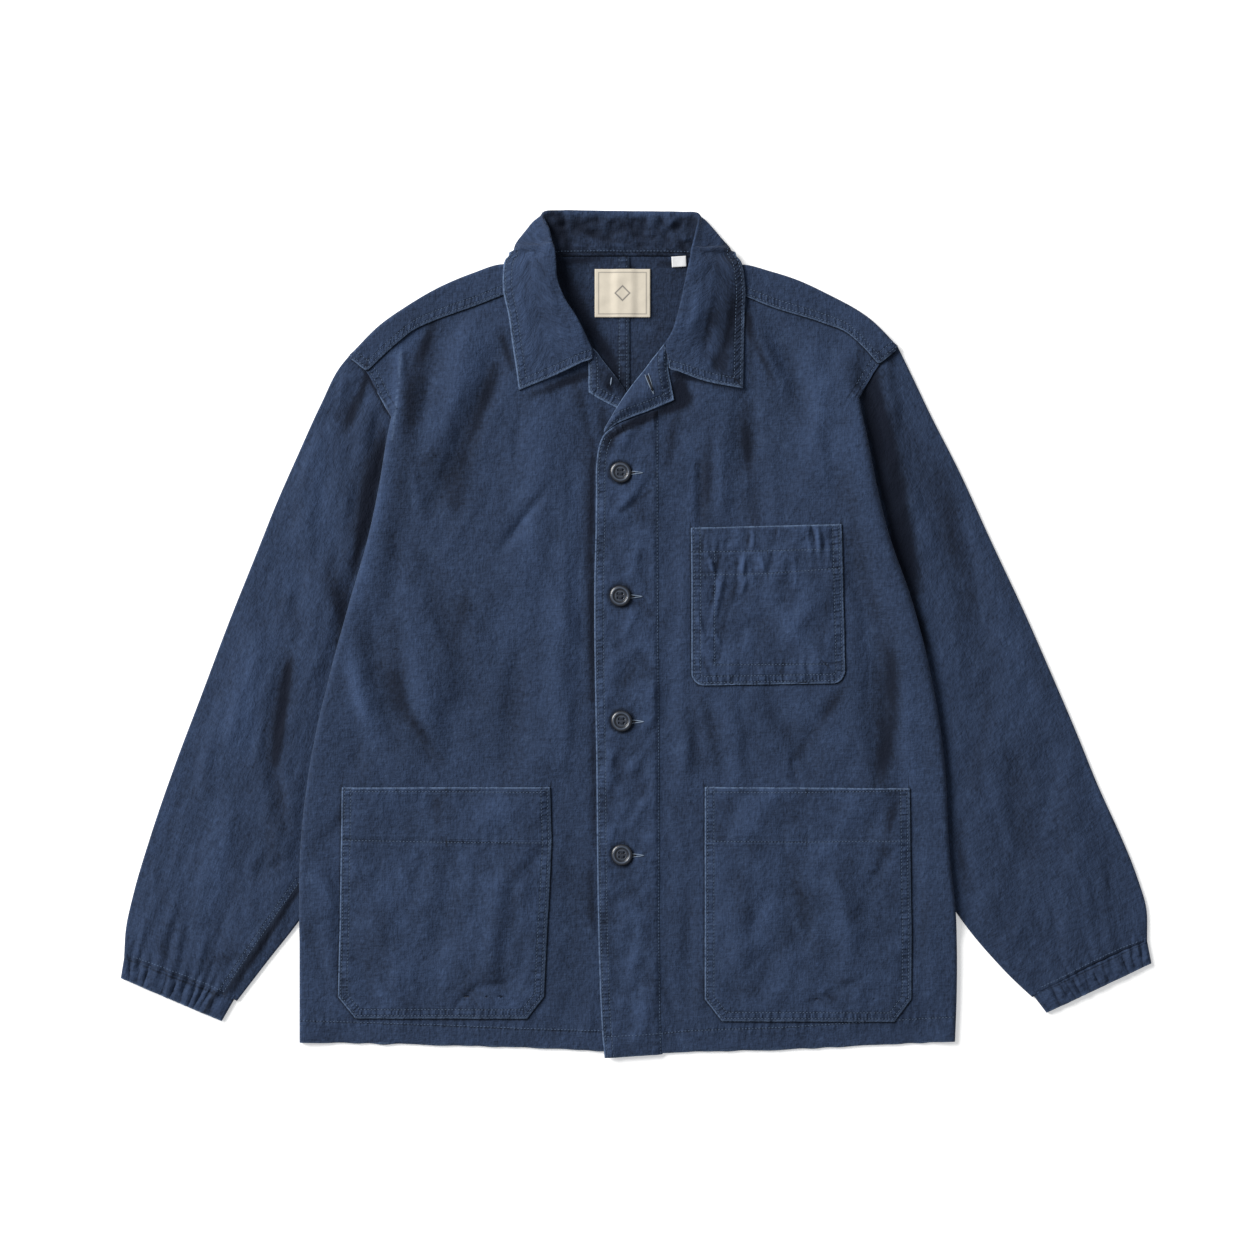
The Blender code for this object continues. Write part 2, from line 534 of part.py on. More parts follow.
def with_height(x, y, z):
    return np.stack(np.broadcast_arrays(x, y, z), axis=-1).reshape(-1, 3)


# ---------------------------------------------------------------- fronts
def front_outer(side, rows):
    """Outer edge of a front's upper layer: side fold from the hem up, then the armhole seam.

    Returns x and y for each row, and the number of the row at the armhole's tip."""
    tip = ARMHOLE_TIP_ROW[side]
    low = SIDE_FOLD[0][0]
    top = FORWARD_SEAM[side][-1][1]
    arm = UNDERARM[side][1]
    below = round((rows - 1) * (arm - low) / (top - low))
    lower = round((rows - 1) * (tip - low) / (top - low))
    y = np.r_[np.linspace(low, arm, below + 1), np.linspace(arm, tip, lower - below + 1)[1:],
              np.linspace(tip, top, rows - lower)[1:]]
    fold = SIDE_LINE[side].by(y, 0, 1) - OUTWARD[side] * SIDE_LINE[side].by(y, 0, 2)
    armhole = ARMHOLE_LINE[side].by(y, 1, 0) + OUTWARD[side] * LAP
    return np.where(y <= tip, fold, armhole), y, lower


def front(side):
    out = OUTWARD[side]
    outer_x, outer_y, tip_row = front_outer(side, FRONT_ROWS)
    v = (outer_y - outer_y[0]) / (outer_y[-1] - outer_y[0])
    inner = FRONT_LINE[side].at(v)
    u = np.linspace(0.0, 1.0, FRONT_COLUMNS + 1)
    straight = inner[:, None, :] * (1 - u)[None, :, None]
    straight = straight + np.stack([outer_x, outer_y], -1)[:, None, :] * u[None, :, None]
    hem = HEM_LINE[side].at(u)
    seam_x = straight[-1, :, 0]
    seam = np.stack([seam_x, SEAM_LINE[side].by(seam_x, 0, 1) + LAP], -1)
    rise, fall = (v**4)[:, None, None], ((1 - v) ** 4)[:, None, None]
    plan = straight + rise * (seam - straight[-1]) + fall * (hem - straight[0])
    x, y = plan[..., 0], plan[..., 1]
    top = with_height(x, y, front_middle(side, x, y))
    columns = FRONT_COLUMNS + 1
    points, faces = [top], quads(FRONT_ROWS, columns)
    # The side rolls over its fold and runs back under the body to the side seam or the armhole.
    y = outer_y[:tip_row, None]
    fold_x, radius = SIDE_LINE[side].by(y, 0, 1), SIDE_LINE[side].by(y, 0, 2)
    level = under_middle(side, fold_x, y)
    angle = np.linspace(0.5, -0.5, FOLD_STEPS + 1)[None, 1:] * math.pi
    roll_x = fold_x - out * radius * (1.0 - np.cos(angle))
    roll = np.stack(np.broadcast_arrays(roll_x, y, level + radius * (1.0 + np.sin(angle))), -1)
    end_x = np.where(y >= UNDERARM[side][1], ARMHOLE_LINE[side].by(y, 1, 0), side_seam_x(side, y))
    end_x = end_x + out * 0.5 * SEAM_GAP
    start_x = fold_x - out * radius
    # Below the underarm its columns follow the slope off the sleeve's inner edge.
    sleeve_x = INNER_LINE[side].by(y, 1, 0)
    slope_x = np.concatenate([sleeve_x + out * 2.0, sleeve_x - out * 12.0, sleeve_x - out * 23.0], axis=1)
    even = start_x + (end_x - start_x) * np.array([[0.25, 0.5, 0.75]])
    flap_x = np.where(y >= UNDERARM[side][1], even, slope_x)
    reach = np.array([[0.2, 0.4, 0.6]])
    inner_most = end_x - (end_x - start_x) * np.array([[0.3, 0.2, 0.1]])
    nearest = start_x + (end_x - start_x) * reach * 0.5
    flap_x = out * np.clip(out * flap_x, out * inner_most, out * nearest)
    flap_x = np.concatenate([flap_x, end_x], axis=1)
    flap = np.stack(np.broadcast_arrays(flap_x, y, under_middle(side, flap_x, y)), -1)
    extra = np.concatenate([roll, flap], axis=1)
    wide = extra.shape[1]
    points.append(extra.reshape(-1, 3))
    first = FRONT_ROWS * columns
    for r in range(tip_row - 1):
        edge = [r * columns + FRONT_COLUMNS, (r + 1) * columns + FRONT_COLUMNS]
        near = [first + r * wide, first + (r + 1) * wide]
        faces.append((edge[0], near[0], near[1], edge[1]))
    faces += quads(tip_row, wide, first)
    return solid("front_" + side, np.concatenate(points), faces, "navy_cloth", CLOTH)


def side_seam_x(side, y):
    """The side seam, a straight line from the underarm to the hem."""
    top_x, top_y = UNDERARM[side]
    share = (top_y - y) / (top_y - HEM[side][-1][1])
    return top_x + (SIDE_SEAM_HEM[side] - top_x) * share


# ---------------------------------------------------------------- backs
def back(side):
    out = OUTWARD[side]
    fold = FOLD_LINE[side]
    tip_x = SHOULDER_FOLD[side][-1][0] - out * 2.0 * ARMHOLE_GAP
    neck_column = 3
    neck_x = SHOULDER_FOLD[side][0][0]
    start = CENTRE_X + out * 0.5 * SEAM_GAP
    top_x = np.r_[np.linspace(start, neck_x, neck_column + 1),
                  np.linspace(neck_x, tip_x, BACK_COLUMNS - neck_column + 1)[1:]]
    u = (top_x - start) / (tip_x - start)
    across = np.abs(top_x - CENTRE_X) >= abs(neck_x - CENTRE_X) - 0.01
    top_y = np.where(across, fold.by(top_x, 0, 1), NECK_EDGE_Y)
    level = back_middle(top_x, top_y)
    radius = 0.5 * (shoulder_band_middle(side, top_x) - level)
    low_top = top_y - np.where(across, radius, 0.0)
    closer = 1.0 - (1.0 - np.linspace(0.0, 1.0, BACK_ROWS[1] + 1)[1:]) ** 1.8  # where the armhole bends
    edge_y = np.r_[np.linspace(BACK_HEM_Y, UNDERARM[side][1], BACK_ROWS[0] + 1),
                   UNDERARM[side][1] + (low_top[-1] - UNDERARM[side][1]) * closer][:, None]
    v = (edge_y - BACK_HEM_Y) / (low_top[-1] - BACK_HEM_Y)
    edge_x = np.where(edge_y >= UNDERARM[side][1], ARMHOLE_LINE[side].by(edge_y, 1, 0) - out * ARMHOLE_GAP,
                      side_seam_x(side, edge_y) - out * 0.5 * SEAM_GAP)
    x = start + (edge_x - start) * u[None, :]
    y = BACK_HEM_Y + (low_top[None, :] - BACK_HEM_Y) * v
    lower = with_height(x, y, back_middle(x, y))
    # Over the shoulder fold, then forward to the seam on the front.
    angle = np.linspace(-0.5, 0.5, FOLD_STEPS + 1)[1:, None] * math.pi
    roll_z = level + radius * (1.0 + np.sin(angle))
    roll = with_height(top_x[None, :], low_top + radius * np.cos(angle), roll_z)
    seam_tip_x = FORWARD_SEAM[side][-1][0] + out * LAP
    seam_x = neck_x + (seam_tip_x - neck_x) * (top_x - neck_x) / (tip_x - neck_x)
    seam_y = SEAM_LINE[side].by(seam_x, 0, 1)
    share = np.linspace(0.0, 1.0, SHOULDER_BAND_ROWS + 1)[1:, None]
    strip_x = top_x + (seam_x - top_x) * share
    strip_z = np.maximum(shoulder_band_middle(side, strip_x), shoulder_band_middle(side, top_x)) + 0.1
    band = with_height(strip_x, low_top + (seam_y - low_top) * share, strip_z)
    columns = len(top_x)
    low_rows = sum(BACK_ROWS)
    rows = low_rows + 1 + FOLD_STEPS + SHOULDER_BAND_ROWS
    faces = quads(rows, columns, keep=lambda r, c: r < low_rows or c >= neck_column)
    points = np.concatenate([lower, roll, band])
    used = sorted({i for face in faces for i in face})
    number = {old: new for new, old in enumerate(used)}
    faces = [tuple(number[i] for i in face) for face in faces]
    return solid("back_" + side, points[used], faces, "navy_cloth", CLOTH)


# ---------------------------------------------------------------- sleeves and cuffs
def ring(outer, inner, top_height, top_points, bottom_points, arc_steps=4):
    """Points around a flattened tube between two plan points: round edges, a flat underside."""
    outer, inner = np.array(outer), np.array(inner)
    width = np.linalg.norm(inner - outer)
    along = (inner - outer) / width
    radius = [0.5 * (top_height(*end) - BACK_LEVEL) for end in (outer, inner)]
    points = []
    for angle in np.linspace(-0.5, 0.5, arc_steps + 1) * math.pi:
        plan = outer + along * radius[0] * (1.0 - math.cos(angle))
        points.append((*plan, BACK_LEVEL + radius[0] * (1.0 + math.sin(angle))))
    for share in np.linspace(0.0, 1.0, top_points + 2)[1:-1]:
        plan = outer + along * (radius[0] + (width - radius[0] - radius[1]) * share)
        points.append((*plan, top_height(*plan)))
    for angle in np.linspace(0.5, -0.5, arc_steps + 1) * math.pi:
        plan = inner - along * radius[1] * (1.0 - math.cos(angle))
        points.append((*plan, BACK_LEVEL + radius[1] * (1.0 + math.sin(angle))))
    for share in np.linspace(1.0, 0.0, bottom_points + 2)[1:-1]:
        plan = outer + along * (radius[0] + (width - radius[0] - radius[1]) * share)
        points.append((*plan, BACK_LEVEL))
    return points


def sleeve(side):
    armhole = ARMHOLE_LINE[side]
    inner = Line(SLEEVE_INNER[side])
    outer = OUTER_LINE[side]
    cuff = Line(CUFF_SEAM[side])
    out = OUTWARD[side]
    around = SLEEVE_TOP_POINTS
    points = []
    for t in np.linspace(0.0, 1.0, SLEEVE_RINGS):
        ends = outer.at(t), inner.at(t)
        rows = np.array(ring(*ends, lambda x, y: float(sleeve_top(side, x, y)), around, around))
        share = np.linalg.norm(rows[:, :2] - ends[0], axis=1) / np.linalg.norm(ends[1] - ends[0])
        share = np.clip(share, 0.0, 1.0)
        # The first ring follows the armhole and the last one the cuff seam.
        near_armhole, near_cuff = max(0.0, 1.0 - t / 0.25) ** 2, max(0.0, (t - 0.8) / 0.2) ** 2
        for shape, weight in ((armhole, near_armhole), (cuff, near_cuff)):
            bend = shape.at(share) - (shape.at(0.0) + (shape.at(1.0) - shape.at(0.0)) * share[:, None])
            rows[:, :2] += weight * bend
        top = np.arange(5, 5 + around)
        rows[top, 2] = sleeve_top(side, rows[top, 0], rows[top, 1])
        rows[:, 0] += out * 0.5 * SEAM_GAP
        points.append(rows)
    columns = len(points[0])
    faces = quads(SLEEVE_RINGS, columns, closed=True)
    return solid("sleeve_" + side, np.concatenate(points), faces, "navy_cloth", CLOTH)


def cuff(side):
    """An elastic cuff: its upper face gathered, its underside flat."""
    seam, mouth = Line(CUFF_SEAM[side]), Line(CUFF_MOUTH[side])
    top_points = 4 * CUFF_GATHERS - 1
    points = []
    for t in np.linspace(CUFF_START, 1.0, CUFF_RINGS):
        ends = [seam.at(k) * (1 - t) + mouth.at(k) * t for k in (0.0, 1.0)]
        depth = CUFF_RELIEF * (0.75 + 0.25 * math.cos(2 * math.pi * (t - 0.5)))
        rows = np.array(ring(*ends, lambda x, y: CUFF_LEVEL, top_points, 9))
        share = np.linalg.norm(rows[:, :2] - ends[0], axis=1) / np.linalg.norm(ends[1] - ends[0])
        share = np.clip(share, 0.0, 1.0)
        top = np.arange(5, 5 + top_points)
        wave = np.sin(2 * math.pi * (CUFF_GATHERS * share[top] + 0.35 * np.sin(9.0 * share[top])))
        across = np.sin(math.pi * share[top])
        rows[top, 2] += depth * wave * across**0.3 + 0.6 * across
        points.append(rows)
    columns = len(points[0])
    faces = quads(CUFF_RINGS, columns, closed=True)
    return solid("cuff_" + side, np.concatenate(points), faces, "navy_cloth", CLOTH)


# ---------------------------------------------------------------- collar and lapels
def body_top(side, x, y):
    """Top of the front or of the shoulder strip under the collar."""
    strip = shoulder_band_middle(side, x)
    on_strip = y >= SEAM_LINE[side].by(x, 0, 1) - 2.0
    return np.where(on_strip, strip, front_middle(side, x, y)) + HALF


def collar_section(row, side):
    """Points across the collar from its seam, over the roll, to its outer edge."""
    seam, roll, middle, edge = np.array(row, float).reshape(4, 3)
    stand = seam * 0.42 + roll * 0.58 + np.array([0, 0, 0.2])
    crown = roll * 0.72 + middle * 0.28 + np.array([0, 0, 0.9 if middle[2] > 5.5 else -1.0])
    knots = np.array([seam, stand, roll, crown, middle, edge])
    span = np.r_[0.0, np.cumsum(np.linalg.norm(np.diff(knots, axis=0), axis=1))]
    slope = np.gradient(knots, span, axis=0)
    t = np.interp(np.linspace(0, 5, COLLAR_POINTS), np.arange(6), span)
    points = []
    for value in t:
        i = min(int(np.searchsorted(span, value, side="right")) - 1, 4)
        h = span[i + 1] - span[i]
        s = (value - span[i]) / h
        points.append(
            knots[i] * (2 * s**3 - 3 * s**2 + 1) + knots[i + 1] * (3 * s**2 - 2 * s**3)
            + h * (slope[i] * (s**3 - 2 * s**2 + s) + slope[i + 1] * (s**3 - s**2))
        )
    return np.array(points)


def collar():
    order = [("right", row) for row in reversed(COLLAR["right"])]
    order += [("right", COLLAR_CENTRE)] + [("left", row) for row in COLLAR["left"]]
    sections = np.array([collar_section(row, side) for side, row in order])
    place = np.linspace(0.0, len(order) - 1.0, COLLAR_SECTIONS)
    knots = np.arange(len(order))
    slope = np.gradient(sections, axis=0)
    grid = []
    for value in place:
        i = min(int(value), len(order) - 2)
        s = value - knots[i]
        grid.append(
            sections[i] * (2 * s**3 - 3 * s**2 + 1) + sections[i + 1] * (3 * s**2 - 2 * s**3)
            + slope[i] * (s**3 - 2 * s**2 + s) + slope[i + 1] * (s**3 - s**2)
        )
    grid = np.array(grid)
    grid[..., 2] = np.maximum(grid[..., 2], 0.5 * COLLAR_WALL + 0.05)
    half = len(order) // 2
    for k, value in enumerate(place):
        side = "right" if value < half else "left"
        if abs(value - half) > 7.4:  # the fall lies on the body
            clear = body_top(side, grid[k, :, 0], grid[k, :, 1]) + LAY + COLLAR_WALL / 2 + 0.2
            grid[k, :, 2] = np.maximum(grid[k, :, 2], clear)
    faces = quads(COLLAR_SECTIONS, COLLAR_POINTS)
    return solid("collar", grid.reshape(-1, 3), faces, "navy_collar", COLLAR_WALL)


def lapel(side):
    rows = between(LAPELS[side], LAPEL_STEPS)
    u = np.linspace(0.0, 1.0, LAPEL_COLUMNS + 1)[None, :]
    x = rows[:, 0:1] * (1 - u) + rows[:, 2:3] * u
    y = rows[:, 1:2] * (1 - u) + rows[:, 3:4] * u
    height = rows[:, 4:5] * np.sin(math.pi * (0.15 + 0.85 * u)) ** 2
    z = front_middle(side, x, y) + STEP + 0.25 + height
    faces = quads(len(rows), LAPEL_COLUMNS + 1)
    return solid("lapel_" + side, with_height(x, y, z), faces, "navy_cloth", CLOTH)


# ---------------------------------------------------------------- what lies on the fronts
def band():
    edge, seam = Line(BAND_EDGE), Line(BAND_SEAM)
    u = np.linspace(0.0, 1.0, BAND_COLUMNS + 1)
    v = 1.0 - (1.0 - np.linspace(0.0, 1.0, BAND_ROWS + 1)[:, None]) ** 1.5  # closer where its top curves
    bottom_y = BAND_EDGE[0][1] * (1 - u) + BAND_SEAM[0][1] * u
    y = bottom_y + (BAND_EDGE[-1][1] - bottom_y) * v
    left, right = edge.by(y, 1, 0), seam.by(y, 1, 0)
    x = left + (right - left) * u
    faces = quads(BAND_ROWS + 1, BAND_COLUMNS + 1)
    return solid("placket", with_height(x, y, band_middle(x, y)), faces, "navy_cloth", CLOTH)


def pocket(name):
    side, table = POCKETS[name]
    rows = np.array(table, float)
    u = np.linspace(0.0, 1.0, POCKET_COLUMNS)
    y, left, right, tilt, puff = (rows[:, k : k + 1] for k in range(5))
    x = left + (right - left) * u
    y = y + tilt * u
    z = front_middle(side, x, y) + POCKET_LIFT + puff * np.sin(math.pi * u) ** 0.7
    return solid(name, with_height(x, y, z), quads(len(table), POCKET_COLUMNS), "navy_cloth", CLOTH)


def button(number, centre):
    """A turned disc with a raised rim and a dished middle, on the band."""
    x, y = centre
    angle = np.linspace(0.0, 2 * math.pi, 13)[:-1]
    under = band_middle(x + BUTTON_RADIUS * np.cos(angle), y + BUTTON_RADIUS * np.sin(angle))
    base = float(max(under.max(), band_middle(np.array([x]), np.array([y]))[0])) + HALF + 0.45
    profile = [(0.0, 0.0), (7.6, 0.0), (BUTTON_RADIUS, 1.1), (BUTTON_RADIUS, 2.2), (8.8, BUTTON_HEIGHT),
               (7.2, BUTTON_HEIGHT), (5.8, 2.3), (0.0, 2.1)]
    points, faces = [(x, y, base)], []
    turns = np.linspace(0.0, 2 * math.pi, BUTTON_SIDES + 1)[:-1]
    for radius, height in profile[1:-1]:
        points += [(x + radius * math.cos(a), y + radius * math.sin(a), base + height) for a in turns]
    points.append((x, y, base + profile[-1][1]))
    for c in range(BUTTON_SIDES):
        d = (c + 1) % BUTTON_SIDES
        faces.append((0, 1 + d, 1 + c))
        last = 1 + (len(profile) - 3) * BUTTON_SIDES
        faces.append((last + c, last + d, len(points) - 1))
    faces += quads(len(profile) - 2, BUTTON_SIDES, 1, closed=True)
    return solid(f"button_{number}", points, faces, "button_resin")


def label(name):
    (x0, y0), (x1, y1) = LABELS[name]
    x, y = np.meshgrid(np.linspace(x0, x1, 4), np.linspace(y0, y1, 4))
    z = back_middle(x, y) + HALF + 0.35 + LABEL_WALL / 2
    finish = "label_cotton" if name == "label_neck" else "label_white"
    return solid(name, with_height(x, y, z), quads(4, 4), finish, LABEL_WALL)


# ---------------------------------------------------------------- the jacket
for old in list(bpy.data.objects):
    bpy.data.objects.remove(old, do_unlink=True)

for side in ("right", "left"):
    back(side)
    front(side)
    sleeve(side)
    cuff(side)
    lapel(side)
collar()
band()
for name in POCKETS:
    pocket(name)
for number, centre in enumerate(BUTTONS, 1):
    button(number, centre)
for name in LABELS:
    label(name)
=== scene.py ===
"""Looks of a garment-dyed work jacket that lies flat on its back, front up.

Every cloth piece is a thin shell on the form of its CAD solid: the tables and height functions of
the solids stand here again, read at a finer step, with the small creases, puckers and seams that the
solids leave out. Tables and named sizes are in millimetres, but for the ends of the folds, which
on_jacket() turns from pixels of the photograph; meshes are in metres. "left" and "right" are the
wearer's; +X is the wearer's left, +Y the collar, +Z up from the surface.
"""

import math

import bpy
import numpy as np
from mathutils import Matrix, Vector


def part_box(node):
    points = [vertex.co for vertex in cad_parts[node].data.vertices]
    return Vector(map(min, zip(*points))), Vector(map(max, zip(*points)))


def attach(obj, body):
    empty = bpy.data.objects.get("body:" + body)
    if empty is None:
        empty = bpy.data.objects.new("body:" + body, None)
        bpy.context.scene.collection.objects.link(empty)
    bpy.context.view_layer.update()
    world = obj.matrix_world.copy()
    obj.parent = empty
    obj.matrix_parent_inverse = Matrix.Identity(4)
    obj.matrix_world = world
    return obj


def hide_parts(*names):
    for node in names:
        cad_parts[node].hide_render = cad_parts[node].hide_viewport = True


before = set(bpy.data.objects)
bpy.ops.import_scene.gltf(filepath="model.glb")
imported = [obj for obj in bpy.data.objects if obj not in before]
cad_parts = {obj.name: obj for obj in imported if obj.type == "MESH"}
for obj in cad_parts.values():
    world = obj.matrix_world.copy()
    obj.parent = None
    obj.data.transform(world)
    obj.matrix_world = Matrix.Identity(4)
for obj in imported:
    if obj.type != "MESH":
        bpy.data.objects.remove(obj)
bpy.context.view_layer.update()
MM = 0.001

# ---------------------------------------------------------------- camera, mm
FRAME_PIXELS = 1254
PIXEL = 0.92  # one pixel of the photograph on the jacket
VIEW_CENTRE = (-8.3, 6.7)
SENSOR = 36.0
LENS = 100.0

# ---------------------------------------------------------------- sizes shared with the solids, mm
CLOTH = 1.2  # wall of one layer of cloth
HALF = CLOTH / 2
COLLAR_WALL = 1.8  # two layers and their interlining
LAY = 0.45  # clear gap between layers that lie on each other
STEP = CLOTH + LAY  # from the middle of one layer to the middle of the next
SEAM_GAP = 0.5  # between pieces that meet edge to edge
ARMHOLE_GAP = 1.7  # from the middle of the armhole seam to the back panel's edge
LAP = 3.0  # how far a felled seam laps over its neighbour
SLEEVE_FLAT = 4.0  # a sleeve pressed flat under the body, outside to outside
BACK_LEVEL = HALF  # middle of the back panels, flat on the surface
UNDER_LEVEL = SLEEVE_FLAT + LAY + HALF  # middle of cloth that lies on the flat sleeve
FRONT_LEVEL = BACK_LEVEL + CLOTH + 0.6  # middle of a front where it is pressed on the back
CENTRE_X = -12.4  # centre-back seam and button line
CUFF_GATHERS = 11
LABEL_WALL = 1.0
OUTWARD = {"right": -1.0, "left": 1.0}  # the side's direction along X
LOFT = 3.2  # air under a front away from its pressed edges
NECK_LIFT = 2.3  # the back lies this much higher over the collar's fall
NECK_HALF_WIDTH = 140.0

# ---------------------------------------------------------------- how finely the cloth is cut up
FRONT_COLUMNS = 134
FRONT_ROWS = 268
BACK_NECK_COLUMNS = 26
BACK_SHOULDER_COLUMNS = 52
BACK_ROWS = (15, 96)  # below and above the underarm
SHOULDER_BAND_ROWS = 14
FOLD_STEPS = 8
SLEEVE_RINGS = 198
SLEEVE_TOP_POINTS = 72
SLEEVE_BOTTOM_POINTS = 12
CUFF_RINGS = 18
CUFF_TOP_POINTS = 150
COLLAR_SECTIONS = 248
COLLAR_POINTS = 84
LAPEL_STEPS = 10
LAPEL_COLUMNS = 34
BAND_COLUMNS = 30
BAND_ROWS = 270
POCKET_STEP = 1.82
BUTTON_SIDES = 56

# ---------------------------------------------------------------- outlines of the solids, mm
# Side fold of the body: from the hem up to where it fades on the chest.
# y, x on the wearer's right, radius there, x on the wearer's left, radius there
SIDE_FOLD = [
    (-374.2, -309.3, 2.6, 293.2, 2.6),
    (-336.4, -309.3, 2.9, 294.6, 2.9),
    (-262.8, -309.1, 3.2, 293.9, 3.4),
    (-203.0, -308.2, 3.4, 287.8, 4.0),
    (-111.0, -297.6, 3.7, 282.3, 4.8),
    (-39.3, -281.5, 3.8, 270.8, 5.6),
    (31.6, -262.2, 4.0, 252.7, 6.6),
    (93.2, -244.7, 4.3, 231.4, 7.0),
    (137.4, -235.5, 4.2, 220.5, 6.6),
    (181.5, -228.2, 3.8, 212.0, 5.2),
    (211.0, -222.2, 3.0, 205.8, 3.6),
    (241.3, -218.0, 2.8, 201.5, 3.0),
    (270.8, -214.4, 2.8, 198.7, 3.0),
]
# Armhole seam, from the shoulder tip past the side fold to the hidden underarm point, then the
# sleeve's inner edge down to the cuff.
ARMHOLE = {
    "right": [(-262.5, 257.4), (-246.5, 243.2), (-229.2, 211.9), (-222.6, 201.8), (-183.1, 140.1),
              (-134.3, 68.4)],
    "left": [(240.1, 265.2), (222.0, 249.6), (207.9, 227.5), (200.6, 215.6), (169.3, 149.3), (132.5, 68.4)],
}
ARMHOLE_TIP_ROW = {"right": 206.4, "left": 217.4}  # where the side fold starts to cover it
SLEEVE_INNER = {
    "right": [(-134.3, 68.4), (-165.6, 7.6), (-238.3, -134.0), (-311.0, -264.3), (-339.5, -300.6),
              (-367.6, -337.2)],
    "left": [(132.5, 68.4), (167.4, 4.0), (231.8, -132.2), (294.7, -255.3), (314.5, -281.0),
             (336.4, -304.4), (365.1, -331.6)],
}
SLEEVE_OUTER = {
    "right": [(-262.5, 257.4), (-272.3, 245.0), (-288.4, 211.0), (-309.1, 160.4), (-336.7, 100.6),
              (-367.1, 28.8), (-401.1, -60.4), (-424.1, -121.2), (-448.0, -191.1), (-462.3, -239.8),
              (-469.2, -272.0), (-470.8, -296.9)],
    "left": [(240.1, 265.2), (252.1, 240.4), (270.5, 201.8), (295.8, 152.1), (325.7, 86.8),
             (357.9, 17.8), (390.1, -55.8), (422.3, -129.4), (445.3, -181.9), (461.8, -226.0),
             (469.2, -251.8), (470.1, -282.2)],
}
CUFF_SEAM = {
    "right": [(-470.8, -296.9), (-439.1, -307.6), (-406.7, -319.7), (-370.3, -335.5)],
    "left": [(470.1, -282.2), (436.1, -296.0), (401.1, -313.4), (365.7, -331.4)],
}
CUFF_MOUTH = {
    "right": [(-474.0, -316.7), (-445.3, -328.2), (-412.2, -342.4), (-382.0, -355.9)],
    "left": [(474.2, -303.0), (443.4, -316.7), (411.2, -332.8), (378.5, -348.2)],
}
SIDE_SEAM_HEM = {"right": -285.2, "left": 269.6}
SHOULDER_FOLD = {
    "right": [(-82.8, 339.8), (-104.9, 339.2), (-125.1, 340.1), (-149.1, 332.6), (-186.1, 316.6),
              (-210.7, 301.9), (-235.3, 284.6), (-262.5, 257.4)],
    "left": [(58.0, 339.3), (79.1, 338.7), (99.4, 339.8), (123.5, 333.9), (148.1, 326.0),
             (172.7, 314.7), (215.8, 289.5), (240.1, 265.2)],
}
FORWARD_SEAM = {
    "right": [(-82.8, 326.9), (-122.6, 312.2), (-149.1, 302.0), (-187.3, 288.2), (-203.3, 280.9),
              (-220.6, 267.4), (-246.5, 243.2)],
    "left": [(58.0, 326.0), (100.6, 311.1), (123.5, 301.9), (172.7, 286.4), (192.5, 278.4),
             (207.2, 266.2), (222.0, 249.6)],
}
# Front edge of each front, from the hem up, then its lapel's roll line and its neck edge.
FRONT_EDGE = {
    "right": [(8.3, -381.5), (8.3, -244.4), (8.3, -97.2), (8.3, 40.8), (8.3, 146.6), (3.7, 192.6),
              (-8.7, 221.1), (-23.0, 238.6), (-38.3, 259.7), (-54.3, 280.0), (-68.1, 302.0),
              (-82.8, 326.9)],
    "left": [(-29.0, -383.8), (-33.1, -301.5), (-35.9, -134.0), (-36.8, 68.4), (-35.4, 151.2),
             (-30.8, 176.0), (-9.2, 220.6), (7.9, 241.3), (26.6, 266.6), (37.7, 284.6), (48.8, 304.8),
             (58.0, 326.0)],
}
HEM = {
    "right": [(8.3, -381.5), (-33.1, -382.0), (-69.9, -380.1), (-171.1, -376.9), (-253.9, -374.9),
              (-307.3, -374.2)],
    "left": [(-29.0, -383.8), (23.9, -384.7), (49.7, -383.8), (134.8, -381.8), (219.9, -377.4),
             (290.7, -374.2)],
}
BACK_HEM_Y = -371.4
NECK_EDGE_Y = 347.6
ORIGIN_PIXEL = (636, 634.3)  # where the jacket's origin is in the photograph


def on_jacket(table):
    """A fold table in mm, from one whose folds' ends are read in pixels of the photograph."""
    if isinstance(table, dict):
        return {piece: on_jacket(rows) for piece, rows in table.items()}
    right, down = ORIGIN_PIXEL
    return [
        (*(round(at * PIXEL, 1) for at in (x0 - right, down - y0, x1 - right, down - y1)), width, height)
        for x0, y0, x1, y1, width, height in table
    ]


